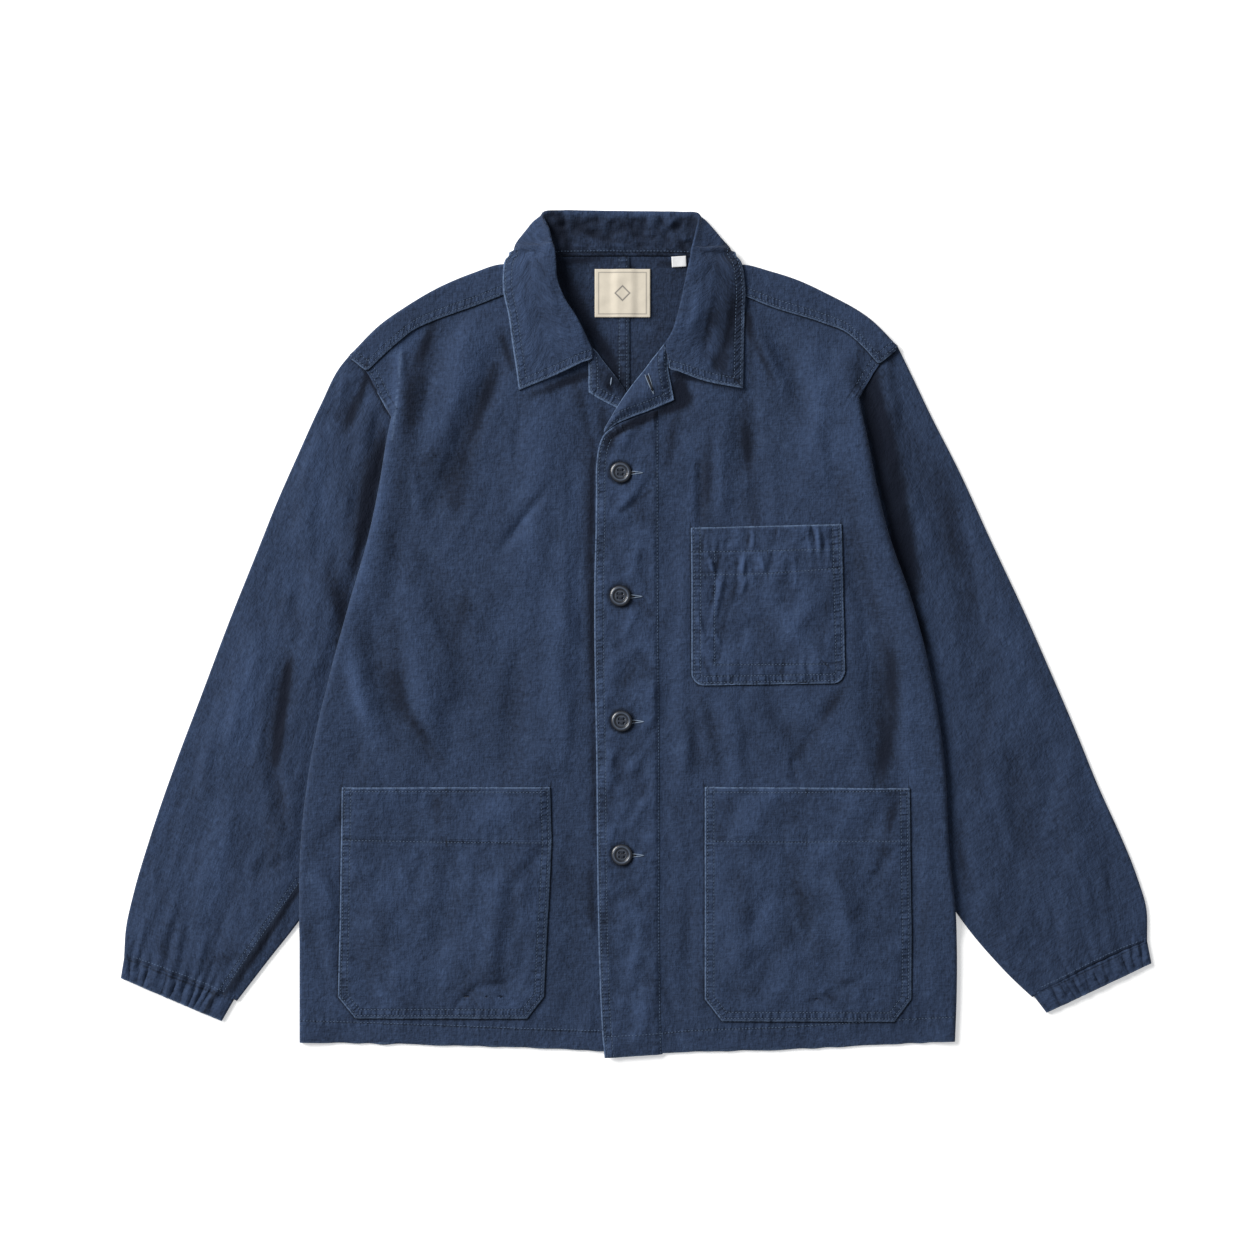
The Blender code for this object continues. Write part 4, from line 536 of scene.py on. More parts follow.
class Line:
    """A smooth curve through the rows of a table, read by its length or by one coordinate."""

    def __init__(self, rows, steps=16):
        knots = np.array(rows, float)
        length = np.r_[0.0, np.cumsum(np.linalg.norm(np.diff(knots[:, :2], axis=0), axis=1))]
        curved = len(knots) > 2
        slope = np.gradient(knots, length, axis=0) if curved else np.diff(knots, axis=0) / length[-1]
        slope = np.broadcast_to(slope, knots.shape)
        dense = [knots[:1]]
        for i in range(len(knots) - 1):
            span = length[i + 1] - length[i]
            t = np.linspace(0.0, 1.0, steps + 1)[1:, None]
            dense.append(
                knots[i] * (2 * t**3 - 3 * t**2 + 1) + knots[i + 1] * (3 * t**2 - 2 * t**3)
                + span * (slope[i] * (t**3 - 2 * t**2 + t) + slope[i + 1] * (t**3 - t**2))
            )
        self.dense = np.concatenate(dense)
        steps_long = np.linalg.norm(np.diff(self.dense[:, :2], axis=0), axis=1)
        self.t = np.r_[0.0, np.cumsum(steps_long)] / steps_long.sum()

    def at(self, t):
        """Points at these shares of the length."""
        columns = [np.interp(t, self.t, self.dense[:, k]) for k in range(self.dense.shape[1])]
        return np.stack(columns, axis=-1)

    def by(self, value, axis, wanted):
        """The wanted coordinate where the curve's coordinate along axis has this value."""
        order = np.argsort(self.dense[:, axis])
        return np.interp(value, self.dense[order, axis], self.dense[order, wanted])


class Seam:
    """A sewn line: how far points lie from it, on its left or right, and how far along it."""

    def __init__(self, rows):
        self.points = np.asarray(rows, float)[:, :2]
        self.long = np.hypot(*np.diff(self.points, axis=0).T)
        self.start = np.r_[0.0, np.cumsum(self.long)]

    def near(self, x, y):
        x, y = np.broadcast_arrays(x, y)
        best, side, along = np.full(x.shape, 1e6), np.ones(x.shape), np.zeros(x.shape)
        for (ax, ay), (bx, by), long, start in zip(self.points[:-1], self.points[1:], self.long, self.start):
            dx, dy = (bx - ax) / long, (by - ay) / long
            t = np.clip((x - ax) * dx + (y - ay) * dy, 0.0, long)
            away_x, away_y = x - ax - t * dx, y - ay - t * dy
            away = np.hypot(away_x, away_y)
            closer = away < best
            best = np.where(closer, away, best)
            side = np.where(closer, np.where(dx * away_y - dy * away_x >= 0.0, 1.0, -1.0), side)
            along = np.where(closer, start + t, along)
        return best, side, along

    def beside(self, distance):
        """The points of a line at this distance on its left, mitred at its corners."""
        direction = np.diff(self.points, axis=0) / self.long[:, None]
        normal = np.stack([-direction[:, 1], direction[:, 0]], -1)
        joint = np.concatenate([normal[:1], normal[:-1] + normal[1:], normal[-1:]])
        joint /= np.linalg.norm(joint, axis=1)[:, None]
        first = np.concatenate([normal[:1], normal])
        stretch = 1.0 / np.maximum((joint * first).sum(axis=1), 0.5)
        return self.points + joint * (distance * stretch)[:, None]


SIDE_LINE = {
    "right": Line([(y, xr, rr) for y, xr, rr, xl, rl in SIDE_FOLD]),
    "left": Line([(y, xl, rl) for y, xr, rr, xl, rl in SIDE_FOLD]),
}
ARMHOLE_LINE = {side: Line(rows) for side, rows in ARMHOLE.items()}
INNER_LINE = {side: Line(ARMHOLE[side] + SLEEVE_INNER[side][1:]) for side in ARMHOLE}
OUTER_LINE = {side: Line(rows) for side, rows in SLEEVE_OUTER.items()}
FRONT_LINE = {side: Line(rows) for side, rows in FRONT_EDGE.items()}
HEM_LINE = {side: Line(rows) for side, rows in HEM.items()}
FOLD_LINE = {side: Line(rows) for side, rows in SHOULDER_FOLD.items()}
SEAM_LINE = {side: Line(rows) for side, rows in FORWARD_SEAM.items()}
UNDERARM = {side: ARMHOLE[side][-1] for side in ARMHOLE}
UNDERARM_LINE = Seam(UNDERARM_SEAM)


# ---------------------------------------------------------------- unevenness of washed cloth
def rumple(x, y, wave, seed, grain=(1.0, 1.0)):
    """Random soft bumps about 1 high and about wave mm apart, longer along the grain."""
    random = np.random.default_rng(seed)
    total = np.zeros(np.broadcast(x, y).shape)
    for _ in range(16):
        angle = random.uniform(0.0, math.pi)
        number = 2.0 * math.pi / (wave * random.uniform(0.6, 1.7))
        across, up = math.cos(angle) / grain[0], math.sin(angle) / grain[1]
        total = total + np.sin(number * (x * across + y * up) + random.uniform(0.0, 6.3))
    return total / 2.83


def washed(x, y, seed, grain=(1.0, 1.0)):
    """Soft hollows, and finer creases between them."""
    broad = rumple(x, y, 62.0, seed, grain)
    fine = rumple(x, y, 26.0, seed + 1, grain)
    ridge = 1.0 - np.abs(rumple(x + 4.0 * fine, y - 4.0 * fine, 44.0, seed + 2, grain))
    return 0.34 * broad + 0.15 * fine + 0.32 * np.clip(ridge, 0.0, 1.0) ** 4


def puckers(away, along, seed, reach=7.0, wave=8.6, depth=0.4):
    """The ladder of small gathers that a shrunk seam draws up beside itself."""
    turns = along / wave + 0.45 * np.sin(along / 17.0 + seed) + 0.3 * np.sin(along / 7.3 + 2.0 * seed)
    strength = 0.65 + 0.35 * np.sin(along / 23.0 + 3.0 * seed)
    return depth * strength * np.sin(2.0 * math.pi * turns) * np.exp(-((away / reach) ** 2))


# ---------------------------------------------------------------- heights of the layers
def fold_relief(rows, x, y):
    """Sum of the soft ridges and troughs of a fold table."""
    total = np.zeros(np.broadcast(x, y).shape)
    for x0, y0, x1, y1, width, height in rows:
        dx, dy = x1 - x0, y1 - y0
        along = np.clip(((x - x0) * dx + (y - y0) * dy) / (dx * dx + dy * dy), 0.0, 1.0)
        away = np.hypot(x - x0 - along * dx, y - y0 - along * dy)
        profile = np.exp(-((away / (0.5 * width)) ** 2))
        total = total + height * (0.45 + 0.55 * np.sin(math.pi * along)) * profile
    return total


def past_side(side, x, y):
    """How far a point lies outside the body's side fold."""
    return OUTWARD[side] * (x - SIDE_LINE[side].by(y, 0, 1))


def into_sleeve(side, x, y):
    """How far a point lies inside the sleeve's inner edge and the armhole."""
    return 0.88 * OUTWARD[side] * (x - INNER_LINE[side].by(y, 1, 0))


def neck_lift(x, y):
    """Rise of the body where the collar's fall lies under it."""
    across = smooth((NECK_HALF_WIDTH - np.abs(x - CENTRE_X)) / 46.0)
    return NECK_LIFT * across * smooth((y - 275.4) / (337.9 - 275.4))


SWELL = 14.0  # from the body's side fold to the top of the sleeve's swell beside it
FULLER = 1.35  # the looks' folds against the solids'


def sleeve_top(side, x, y):
    """Middle of a sleeve's upper wall: flat under the body, fuller where it comes out."""
    shown = smooth(past_side(side, x, y) / 42.0)
    from_outer = 0.9 * OUTWARD[side] * (OUTER_LINE[side].by(y, 1, 0) - x)
    full = 2.0 * shown * smooth(from_outer / 34.0) * smooth(into_sleeve(side, x, y) / 34.0)
    out_of_body = past_side(side, x, y)  # it swells up again where it comes out from under the body
    swell = smooth(out_of_body / SWELL) * (1.0 - smooth((out_of_body - SWELL) / 38.0))
    full = full + 2.3 * swell * smooth(into_sleeve(side, x, y) / 24.0) * smooth(from_outer / 24.0)
    creases = FULLER * fold_relief(SLEEVE_CREASES[side], x, y)
    creases = creases + 2.1 * washed(x, y, 40 + len(side), (0.8, 1.4))
    inside = smooth(from_outer / 12.0) * smooth((into_sleeve(side, x, y) + 2.0) / 12.0)
    folds = shown * smooth(from_outer / 12.0) * FULLER * fold_relief(SLEEVE_FOLDS[side], x, y)
    relief = full + folds + smooth((out_of_body - 1.0) / 14.0) * inside * creases
    if side == "right":
        away, turned, along = UNDERARM_LINE.near(x, y)
        relief = relief + shown * 0.7 * smooth((6.0 - np.abs(away * turned + 3.0)) / 1.6)
        relief = relief + shown * puckers(away, along, 3.0, reach=8.0, depth=0.25)
    return SLEEVE_FLAT - HALF + 0.5 * (relief + np.sqrt(relief * relief + 0.16)) - 0.2


def under_middle(side, x, y):
    """Middle of the part of a front that is turned under: over the sleeve, then down to the surface."""
    over = smooth((into_sleeve(side, x, y) + 20.0) / 20.0)
    over = np.where(y >= UNDERARM[side][1], 1.0, over)
    return BACK_LEVEL + (UNDER_LEVEL - BACK_LEVEL) * over


def hem_drop(side, x, y):
    """The hem is turned up: a thicker strip below its row of stitches, drawn up in puckers."""
    above_hem = y - HEM_LINE[side].by(x, 0, 1)
    row_y = HEM_ROWS[side].by(x, 0, 1)
    strip = 0.35 * smooth((row_y + 1.0 - y) / 2.0) * smooth(above_hem / 1.5)
    return strip + puckers(y - row_y, x, 5.0, reach=9.0, wave=12.0, depth=0.6) + puckers(
        above_hem, x, 7.0, reach=6.0, wave=15.0, depth=0.45)


def front_middle(side, x, y):
    """Middle of a front's upper layer."""
    over = smooth((into_sleeve(side, x, y) + 45.0) / 41.0)
    base = FRONT_LEVEL + (UNDER_LEVEL - BACK_LEVEL) * over + neck_lift(x, y)
    if side == "left":  # it laps over the right front, and over that front's lapel
        base = base + STEP * (1.0 - smooth((x - 13.8) / (33.1 - 13.8)))
        base = base + 3.2 * np.exp(-(((x - -14.7) / 16.0) ** 2) - ((y - 211.9) / 16.0) ** 2)
    hem = smooth((y - HEM_LINE[side].by(x, 0, 1)) / 36.0)
    edge = OUTWARD[side] * (x - FRONT_LINE[side].by(y, 1, 0))
    if side == "right":  # its edge is pressed flat under the other front
        edge = np.minimum(edge, BAND_SIDE_X - x)
    else:  # the band keeps its edge flat
        edge = edge - 34.0
    shoulder = SEAM_LINE[side].by(x, 0, 1) - y
    pressed = smooth(hem) * smooth(edge / 62.0) * smooth(shoulder / 36.0)
    creased = smooth(hem) * smooth(edge / 16.0) * smooth(shoulder / 16.0)
    detail = FULLER * fold_relief(CREASES[side], x, y) + 1.4 * washed(x, y, 10 + len(side), (0.85, 1.2))
    relief = LOFT * pressed + creased * FULLER * fold_relief(FOLDS[side], x, y)
    relief = relief + smooth(hem * 3.0) * smooth(edge / 6.0) * smooth(shoulder / 9.0) * detail
    relief = relief + smooth(shoulder / 2.0) * puckers(shoulder, x, 1.0, reach=9.0, wave=10.5, depth=0.35)
    relief = relief + hem_drop(side, x, y)
    relief = 0.5 * (relief + np.sqrt(relief * relief + 0.3))
    inside = base + relief
    fold_x = SIDE_LINE[side].by(y, 0, 1)
    radius = SIDE_LINE[side].by(y, 0, 2)
    above = np.maximum(y - ARMHOLE_TIP_ROW[side], 0.0)
    swell = 24.0 + 4.0 * radius
    near = smooth((past_side(side, x, y) + swell) / (swell - radius)) * (1.0 - smooth(above / 55.0))
    inside = (1.0 - near) * inside + near * (under_middle(side, fold_x, y) + 2.0 * radius)
    inside = inside + 0.55 * near * (1.0 - near) * 4.0 * washed(x, y, 70 + len(side))
    width = 8.0 + 0.5 * above
    outside = smooth((past_side(side, x, y) + 0.5 * width) / width) * (above > 0.0)
    return inside + outside * (sleeve_top(side, x, y) + STEP - inside)


HEM_ROWS = {side: Line(rows) for side, rows in HEM_ROW.items()}


def back_middle(x, y):
    """Middle of the backs: flat on the surface, and a little uneven where it shows inside the neck."""
    shown = smooth((y - 200.0) / 30.0) * smooth((92.0 - np.abs(x - CENTRE_X)) / 30.0)
    creases = 0.3 * washed(x, y, 90) + fold_relief(NECK_CREASES, x, y)
    return BACK_LEVEL + neck_lift(x, y) + shown * 0.5 * (creases + np.sqrt(creases * creases + 0.1))


def band_middle(x, y):
    """Middle of the buttonhole band, on the left front."""
    return front_middle("left", x, y) + STEP


def shoulder_band_middle(side, x):
    """Middle of the back's turned-over strip, on the top edge of the front."""
    seam_y = SEAM_LINE[side].by(x, 0, 1)
    return np.maximum(front_middle(side, x, seam_y), front_middle(side, x, seam_y + LAP + 1.0)) + STEP


def side_seam_x(side, y):
    """The side seam, a straight line from the underarm to the hem."""
    top_x, top_y = UNDERARM[side]
    share = (top_y - y) / (top_y - HEM[side][-1][1])
    return top_x + (SIDE_SEAM_HEM[side] - top_x) * share


# ---------------------------------------------------------------- meshes
def quads(rows, columns, first=0, closed=False):
    """Faces of a grid of rows x columns points, whose first point has this number."""
    r, c = np.meshgrid(np.arange(rows - 1), np.arange(columns if closed else columns - 1), indexing="ij")
    d = (c + 1) % columns
    a = first + r * columns
    return np.stack([a + c, a + d, a + columns + d, a + columns + c], -1).reshape(-1, 4)


def stack(x, y, z):
    return np.stack(np.broadcast_arrays(x, y, z), axis=-1).reshape(-1, 3)


def mesh_object(name, points, faces, material):
    mesh = bpy.data.meshes.new(name)
    faces = faces.tolist() if isinstance(faces, np.ndarray) else faces
    mesh.from_pydata((np.asarray(points) * MM).tolist(), [], faces)
    mesh.update()
    mesh.shade_smooth()
    mesh.materials.append(material)
    made = bpy.data.objects.new(name, mesh)
    bpy.context.scene.collection.objects.link(made)
    return made


def write_attribute(made, name, values):
    values = np.broadcast_to(values, len(made.data.vertices)).astype(np.float32)
    made.data.attributes.new(name, "FLOAT", "POINT").data.foreach_set("value", values)


HEM_DROP_FROM = -345.0  # below this the hem sinks a little past its solid
PIECES = {}  # what stands for each CAD node
TRIMS = []  # threads and slits, which have no node


def cloth(name, points, faces, material, wall=CLOTH, thread=None, **sewing):
    """A sheet of cloth from the points in its middle.

    thread is where each point lies on the cut cloth, across and along its warp; sewing gives the
    distances in mm that the material draws its seams by: double (from a double-stitched edge),
    single (from a single row, either side), fold (from an edge paled by rubbing, and on the lit side fold by
    a painted highlight), beside (from the edge of a piece on top, where the material paints a contact shadow)
    and along (the seam), and relief, the height of its creases with the painted rows, which the material
    paints darker in troughs and paler on ridges."""
    points = np.array(points, float).reshape(-1, 3)
    if name.startswith(("front", "back", "placket")):  # the hem falls a little below its solid
        drop = 0.8 + 1.0 * smooth((30.0 - points[:, 0]) / 60.0)
        points[:, 1] -= drop * smooth((HEM_DROP_FROM - points[:, 1]) / 28.0)
    made = PIECES[name] = mesh_object(name + "_cloth", points, faces, material)
    thread = points[:, :2] if thread is None else np.asarray(thread, float).reshape(-1, 2)
    write_attribute(made, "across", thread[:, 0])
    write_attribute(made, "warp", thread[:, 1])
    for key in ("double", "single", "fold", "beside", "along", "relief"):
        write_attribute(made, key, np.ravel(sewing.get(key, 0.0 if key in ("along", "relief") else FAR)))
    thick = made.modifiers.new("wall", "SOLIDIFY")
    thick.thickness = wall * MM
    thick.offset = 0.0
    return made


FAR = 99.0
STITCH_LINES = []  # points of every row of stitches, on the cloth


def on_cloth(points):
    """Height of a sheet's middle at plan points, from the sheet's own points round them."""
    points = np.asarray(points, float).reshape(-1, 3)

    def height(x, y):
        x, y = np.broadcast_arrays(np.asarray(x, float), np.asarray(y, float))
        found = np.empty(x.size)
        for first in range(0, x.size, 60):
            part = slice(first, first + 60)
            px, py = x.ravel()[part], y.ravel()[part]
            low, high = np.array([px.min(), py.min()]) - 6.0, np.array([px.max(), py.max()]) + 6.0
            near = points[((points[:, :2] > low) & (points[:, :2] < high)).all(axis=1)]
            near = near if len(near) > 4 else points
            away = np.hypot(near[:, 0] - px[:, None], near[:, 1] - py[:, None]) + 0.02
            nearest = np.argpartition(away, 3, axis=1)[:, :4]
            weight = np.take_along_axis(away, nearest, 1) ** -2.0
            found[part] = (near[nearest, 2] * weight).sum(1) / weight.sum(1)
        return found.reshape(x.shape)

    return height


def sew(rows, height, lift=HALF + 0.12):
    """Adds a row of stitches along plan points, on the surface whose middle height() gives."""
    seam = Seam(rows)
    share = np.arange(0.0, seam.start[-1], 1.5)
    x = np.interp(share, seam.start, seam.points[:, 0])
    y = np.interp(share, seam.start, seam.points[:, 1])
    STITCH_LINES.append(stack(x, y, height(x, y) + lift))


# ---------------------------------------------------------------- fronts
def front_outer(side, rows):
    """Outer edge of a front's upper layer: side fold from the hem up, then the armhole seam.

    Returns x and y for each row, and the number of the row at the armhole's tip."""
    tip = ARMHOLE_TIP_ROW[side]
    low = SIDE_FOLD[0][0]
    top = FORWARD_SEAM[side][-1][1]
    arm = UNDERARM[side][1]
    below = round((rows - 1) * (arm - low) / (top - low))
    lower = round((rows - 1) * (tip - low) / (top - low))
    y = np.r_[np.linspace(low, arm, below + 1), np.linspace(arm, tip, lower - below + 1)[1:],
              np.linspace(tip, top, rows - lower)[1:]]
    fold = SIDE_LINE[side].by(y, 0, 1) - OUTWARD[side] * SIDE_LINE[side].by(y, 0, 2)
    armhole = ARMHOLE_LINE[side].by(y, 1, 0) + OUTWARD[side] * LAP
    return np.where(y <= tip, fold, armhole), y, lower


def beside_pieces(side, x, y):
    """How far points of a front lie outside the pieces sewn on it, where the material paints a contact
    shadow.
    """
    best = np.full(np.shape(x), FAR)
    for pocket_side, table in POCKETS.values():
        if pocket_side == side:
            outline = Seam(pocket_outline(np.array(table, float)[::-1]))
            away, turned, _ = outline.near(x, y)
            best = np.where(away < np.abs(best), -away * turned, best)
    below_strip = SEAM_LINE[side].by(x, 0, 1) - y
    return np.where(np.abs(below_strip) < np.abs(best), below_strip, best)


def front(side, material):
    out = OUTWARD[side]
    outer_x, outer_y, tip_row = front_outer(side, FRONT_ROWS)
    # Above the tip the sheet's edge eases from the side fold to the felled armhole seam.
    seam_edge = ARMHOLE_LINE[side].by(outer_y, 1, 0) + out * LAP
    rolled = SIDE_LINE[side].by(outer_y, 0, 1) - out * SIDE_LINE[side].by(outer_y, 0, 2)
    ease = smooth((outer_y - ARMHOLE_TIP_ROW[side]) / 16.0)
    outer_x = rolled + (seam_edge - rolled) * ease
    v = (outer_y - outer_y[0]) / (outer_y[-1] - outer_y[0])
    inner = FRONT_LINE[side].at(v)
    u = np.linspace(0.0, 1.0, FRONT_COLUMNS + 1)
    straight = inner[:, None, :] * (1 - u)[None, :, None]
    straight = straight + np.stack([outer_x, outer_y], -1)[:, None, :] * u[None, :, None]
    hem = HEM_LINE[side].at(u)
    uneven = 0.28 * rumple(hem[:, 0], hem[:, 1], 30.0, 77) * smooth(u / 0.1) * smooth((1 - u) / 0.1)
    hem = hem + np.stack([0.0 * u, uneven], -1)
    seam_x = straight[-1, :, 0]
    seam = np.stack([seam_x, SEAM_LINE[side].by(seam_x, 0, 1) + LAP], -1)
    rise, fall = (v**4)[:, None, None], ((1 - v) ** 4)[:, None, None]
    plan = straight + rise * (seam - straight[-1]) + fall * (hem - straight[0])
    x, y = plan[..., 0], plan[..., 1]
    top = stack(x, y, front_middle(side, x, y))
    columns = FRONT_COLUMNS + 1
    # The side rolls over its fold and runs back under the body to the side seam or the armhole.
    y_side = outer_y[:, None]
    fold_x, radius = SIDE_LINE[side].by(y_side, 0, 1), SIDE_LINE[side].by(y_side, 0, 2)
    level = under_middle(side, fold_x, y_side)
    angle = np.linspace(0.5, -0.5, FOLD_STEPS + 1)[None, 1:] * math.pi
    # Round the tip the fold itself reaches as far as the lapped seam.
    reach = np.maximum(out * (seam_edge[:, None] - fold_x), 0.0)
    roll_x = fold_x - out * radius * (1.0 - np.cos(angle)) + out * reach * np.cos(angle)
    roll_z = level + radius * (1.0 + np.sin(angle))
    reached = np.minimum(2.0 * np.arange(1, FOLD_STEPS + 1) / FOLD_STEPS, 1.0)
    lap_x = outer_x[:, None] + (seam_edge - outer_x)[:, None] * reached
    above = smooth((y_side - ARMHOLE_TIP_ROW[side]) / 12.0)
    roll_x = roll_x + (lap_x - roll_x) * above
    roll_z = roll_z + (front_middle(side, lap_x, y_side) - roll_z) * above
    roll = np.stack(np.broadcast_arrays(roll_x, y_side, roll_z), -1)
    above_underarm = y_side >= UNDERARM[side][1]
    end_x = np.where(above_underarm, ARMHOLE_LINE[side].by(y_side, 1, 0), side_seam_x(side, y_side))
    end_x = end_x + out * 0.5 * SEAM_GAP
    start_x = fold_x - out * radius
    sleeve_x = INNER_LINE[side].by(y_side, 1, 0)
    slope_x = np.concatenate([sleeve_x + out * 2.0, sleeve_x - out * 12.0, sleeve_x - out * 23.0], axis=1)
    even = start_x + (end_x - start_x) * np.array([[0.25, 0.5, 0.75]])
    flap_x = np.where(y_side >= UNDERARM[side][1], even, slope_x)
    nearest = start_x + (end_x - start_x) * np.array([[0.1, 0.2, 0.3]])
    furthest = end_x - (end_x - start_x) * np.array([[0.3, 0.2, 0.1]])
    flap_x = out * np.clip(out * flap_x, out * furthest, out * nearest)
    flap_x = np.concatenate([flap_x, end_x], axis=1)
    flap = np.stack(np.broadcast_arrays(flap_x, y_side, under_middle(side, flap_x, y_side)), -1)
    extra = np.concatenate([roll, flap], axis=1)
    wide = extra.shape[1]
    first = FRONT_ROWS * columns
    r = np.arange(FRONT_ROWS - 1)
    join = np.stack([r * columns + FRONT_COLUMNS, first + r * wide, first + (r + 1) * wide,
                     (r + 1) * columns + FRONT_COLUMNS], -1)
    side_faces = quads(FRONT_ROWS, wide, first).reshape(FRONT_ROWS - 1, wide - 1, 4)
    rolled_over = FOLD_STEPS // 2 - 1
    faces = np.concatenate([quads(FRONT_ROWS, columns), join, side_faces[:, :rolled_over].reshape(-1, 4),
                            side_faces[:tip_row - 1, rolled_over:].reshape(-1, 4)])
    points = np.concatenate([top, extra.reshape(-1, 3)])
    # Sewing that the material draws: the hem's single row and the armhole's double one.
    px, py = points[:, 0], points[:, 1]
    upper = outer_y >= ARMHOLE_TIP_ROW[side] - 6.0
    edge = np.stack([seam_edge[upper], outer_y[upper]], -1)[::3]
    armhole = Seam(edge)
    double, _, along = armhole.near(px, py)
    single = py - HEM_ROWS[side].by(px, 0, 1)
    hem_away = py - HEM_LINE[side].by(px, 0, 1)
    turned_under = np.zeros(len(points), bool)
    turned_under[first:] = (np.arange(wide) >= FOLD_STEPS // 2)[None, :].repeat(FRONT_ROWS, 0).ravel()
    double = np.where(turned_under | (py < ARMHOLE_TIP_ROW[side] - 2.0), FAR, double)
    along = np.where(np.abs(single) < 40.0, px, along)
    flat_part = np.abs(x - rolled[:, None]) + 0.5 * math.pi * radius
    round_part = np.concatenate([np.abs(angle) * radius, np.full((FRONT_ROWS, flap.shape[1]), FAR)], axis=1)
    # The side fold's round is paled as wear; on the right front, which faces the lamp, more strongly, as a
    # painted highlight.
    worn_and_lit = np.concatenate([flat_part.ravel(), round_part.ravel()]) + (0.2 if side == "right" else 1.4)
    if side == "right":  # the side fold's crease runs on up to the shoulder, painted paler along it as a highlight
        worn_and_lit = np.minimum(worn_and_lit, 0.6 * Seam(CHEST_CREASE).near(px, py)[0] + 0.75)
    fold = np.where(turned_under, FAR, np.minimum(np.minimum(hem_away, double + 1.5), worn_and_lit))
    # The relief attribute paints shade into the folds' troughs and light on their ridges, with the painted
    # rows.
    relief = sum(fold_relief(table[side], px, py) for table in (FOLDS, CREASES, PAINTED_SHADE_AND_LIGHT))
    used, numbered = np.unique(faces, return_inverse=True)
    made = cloth("front_" + side, points[used], numbered.reshape(-1, 4), material, double=double[used],
                 fold=fold[used], along=along[used], single=np.where(turned_under, FAR, single)[used],
                 relief=relief[used], beside=beside_pieces(side, px, py)[used])
    middle = on_cloth(top)
    for distance in (FIRST_ROW, SECOND_ROW):
        sew(Seam(edge).beside(out * distance)[2:], middle)
    sew(list(HEM_ROW[side]), middle)
    return made


# ---------------------------------------------------------------- backs
NECK_LAP = {"right": 6.7, "left": 0.0}  # the centre-back seam is felled: one edge laps over the other
CENTRE_ROWS = (-8.4, -15.4)
CENTRE_SHOWN = ((200.0, 289.0), (338.5, 346.0))  # below and above the label


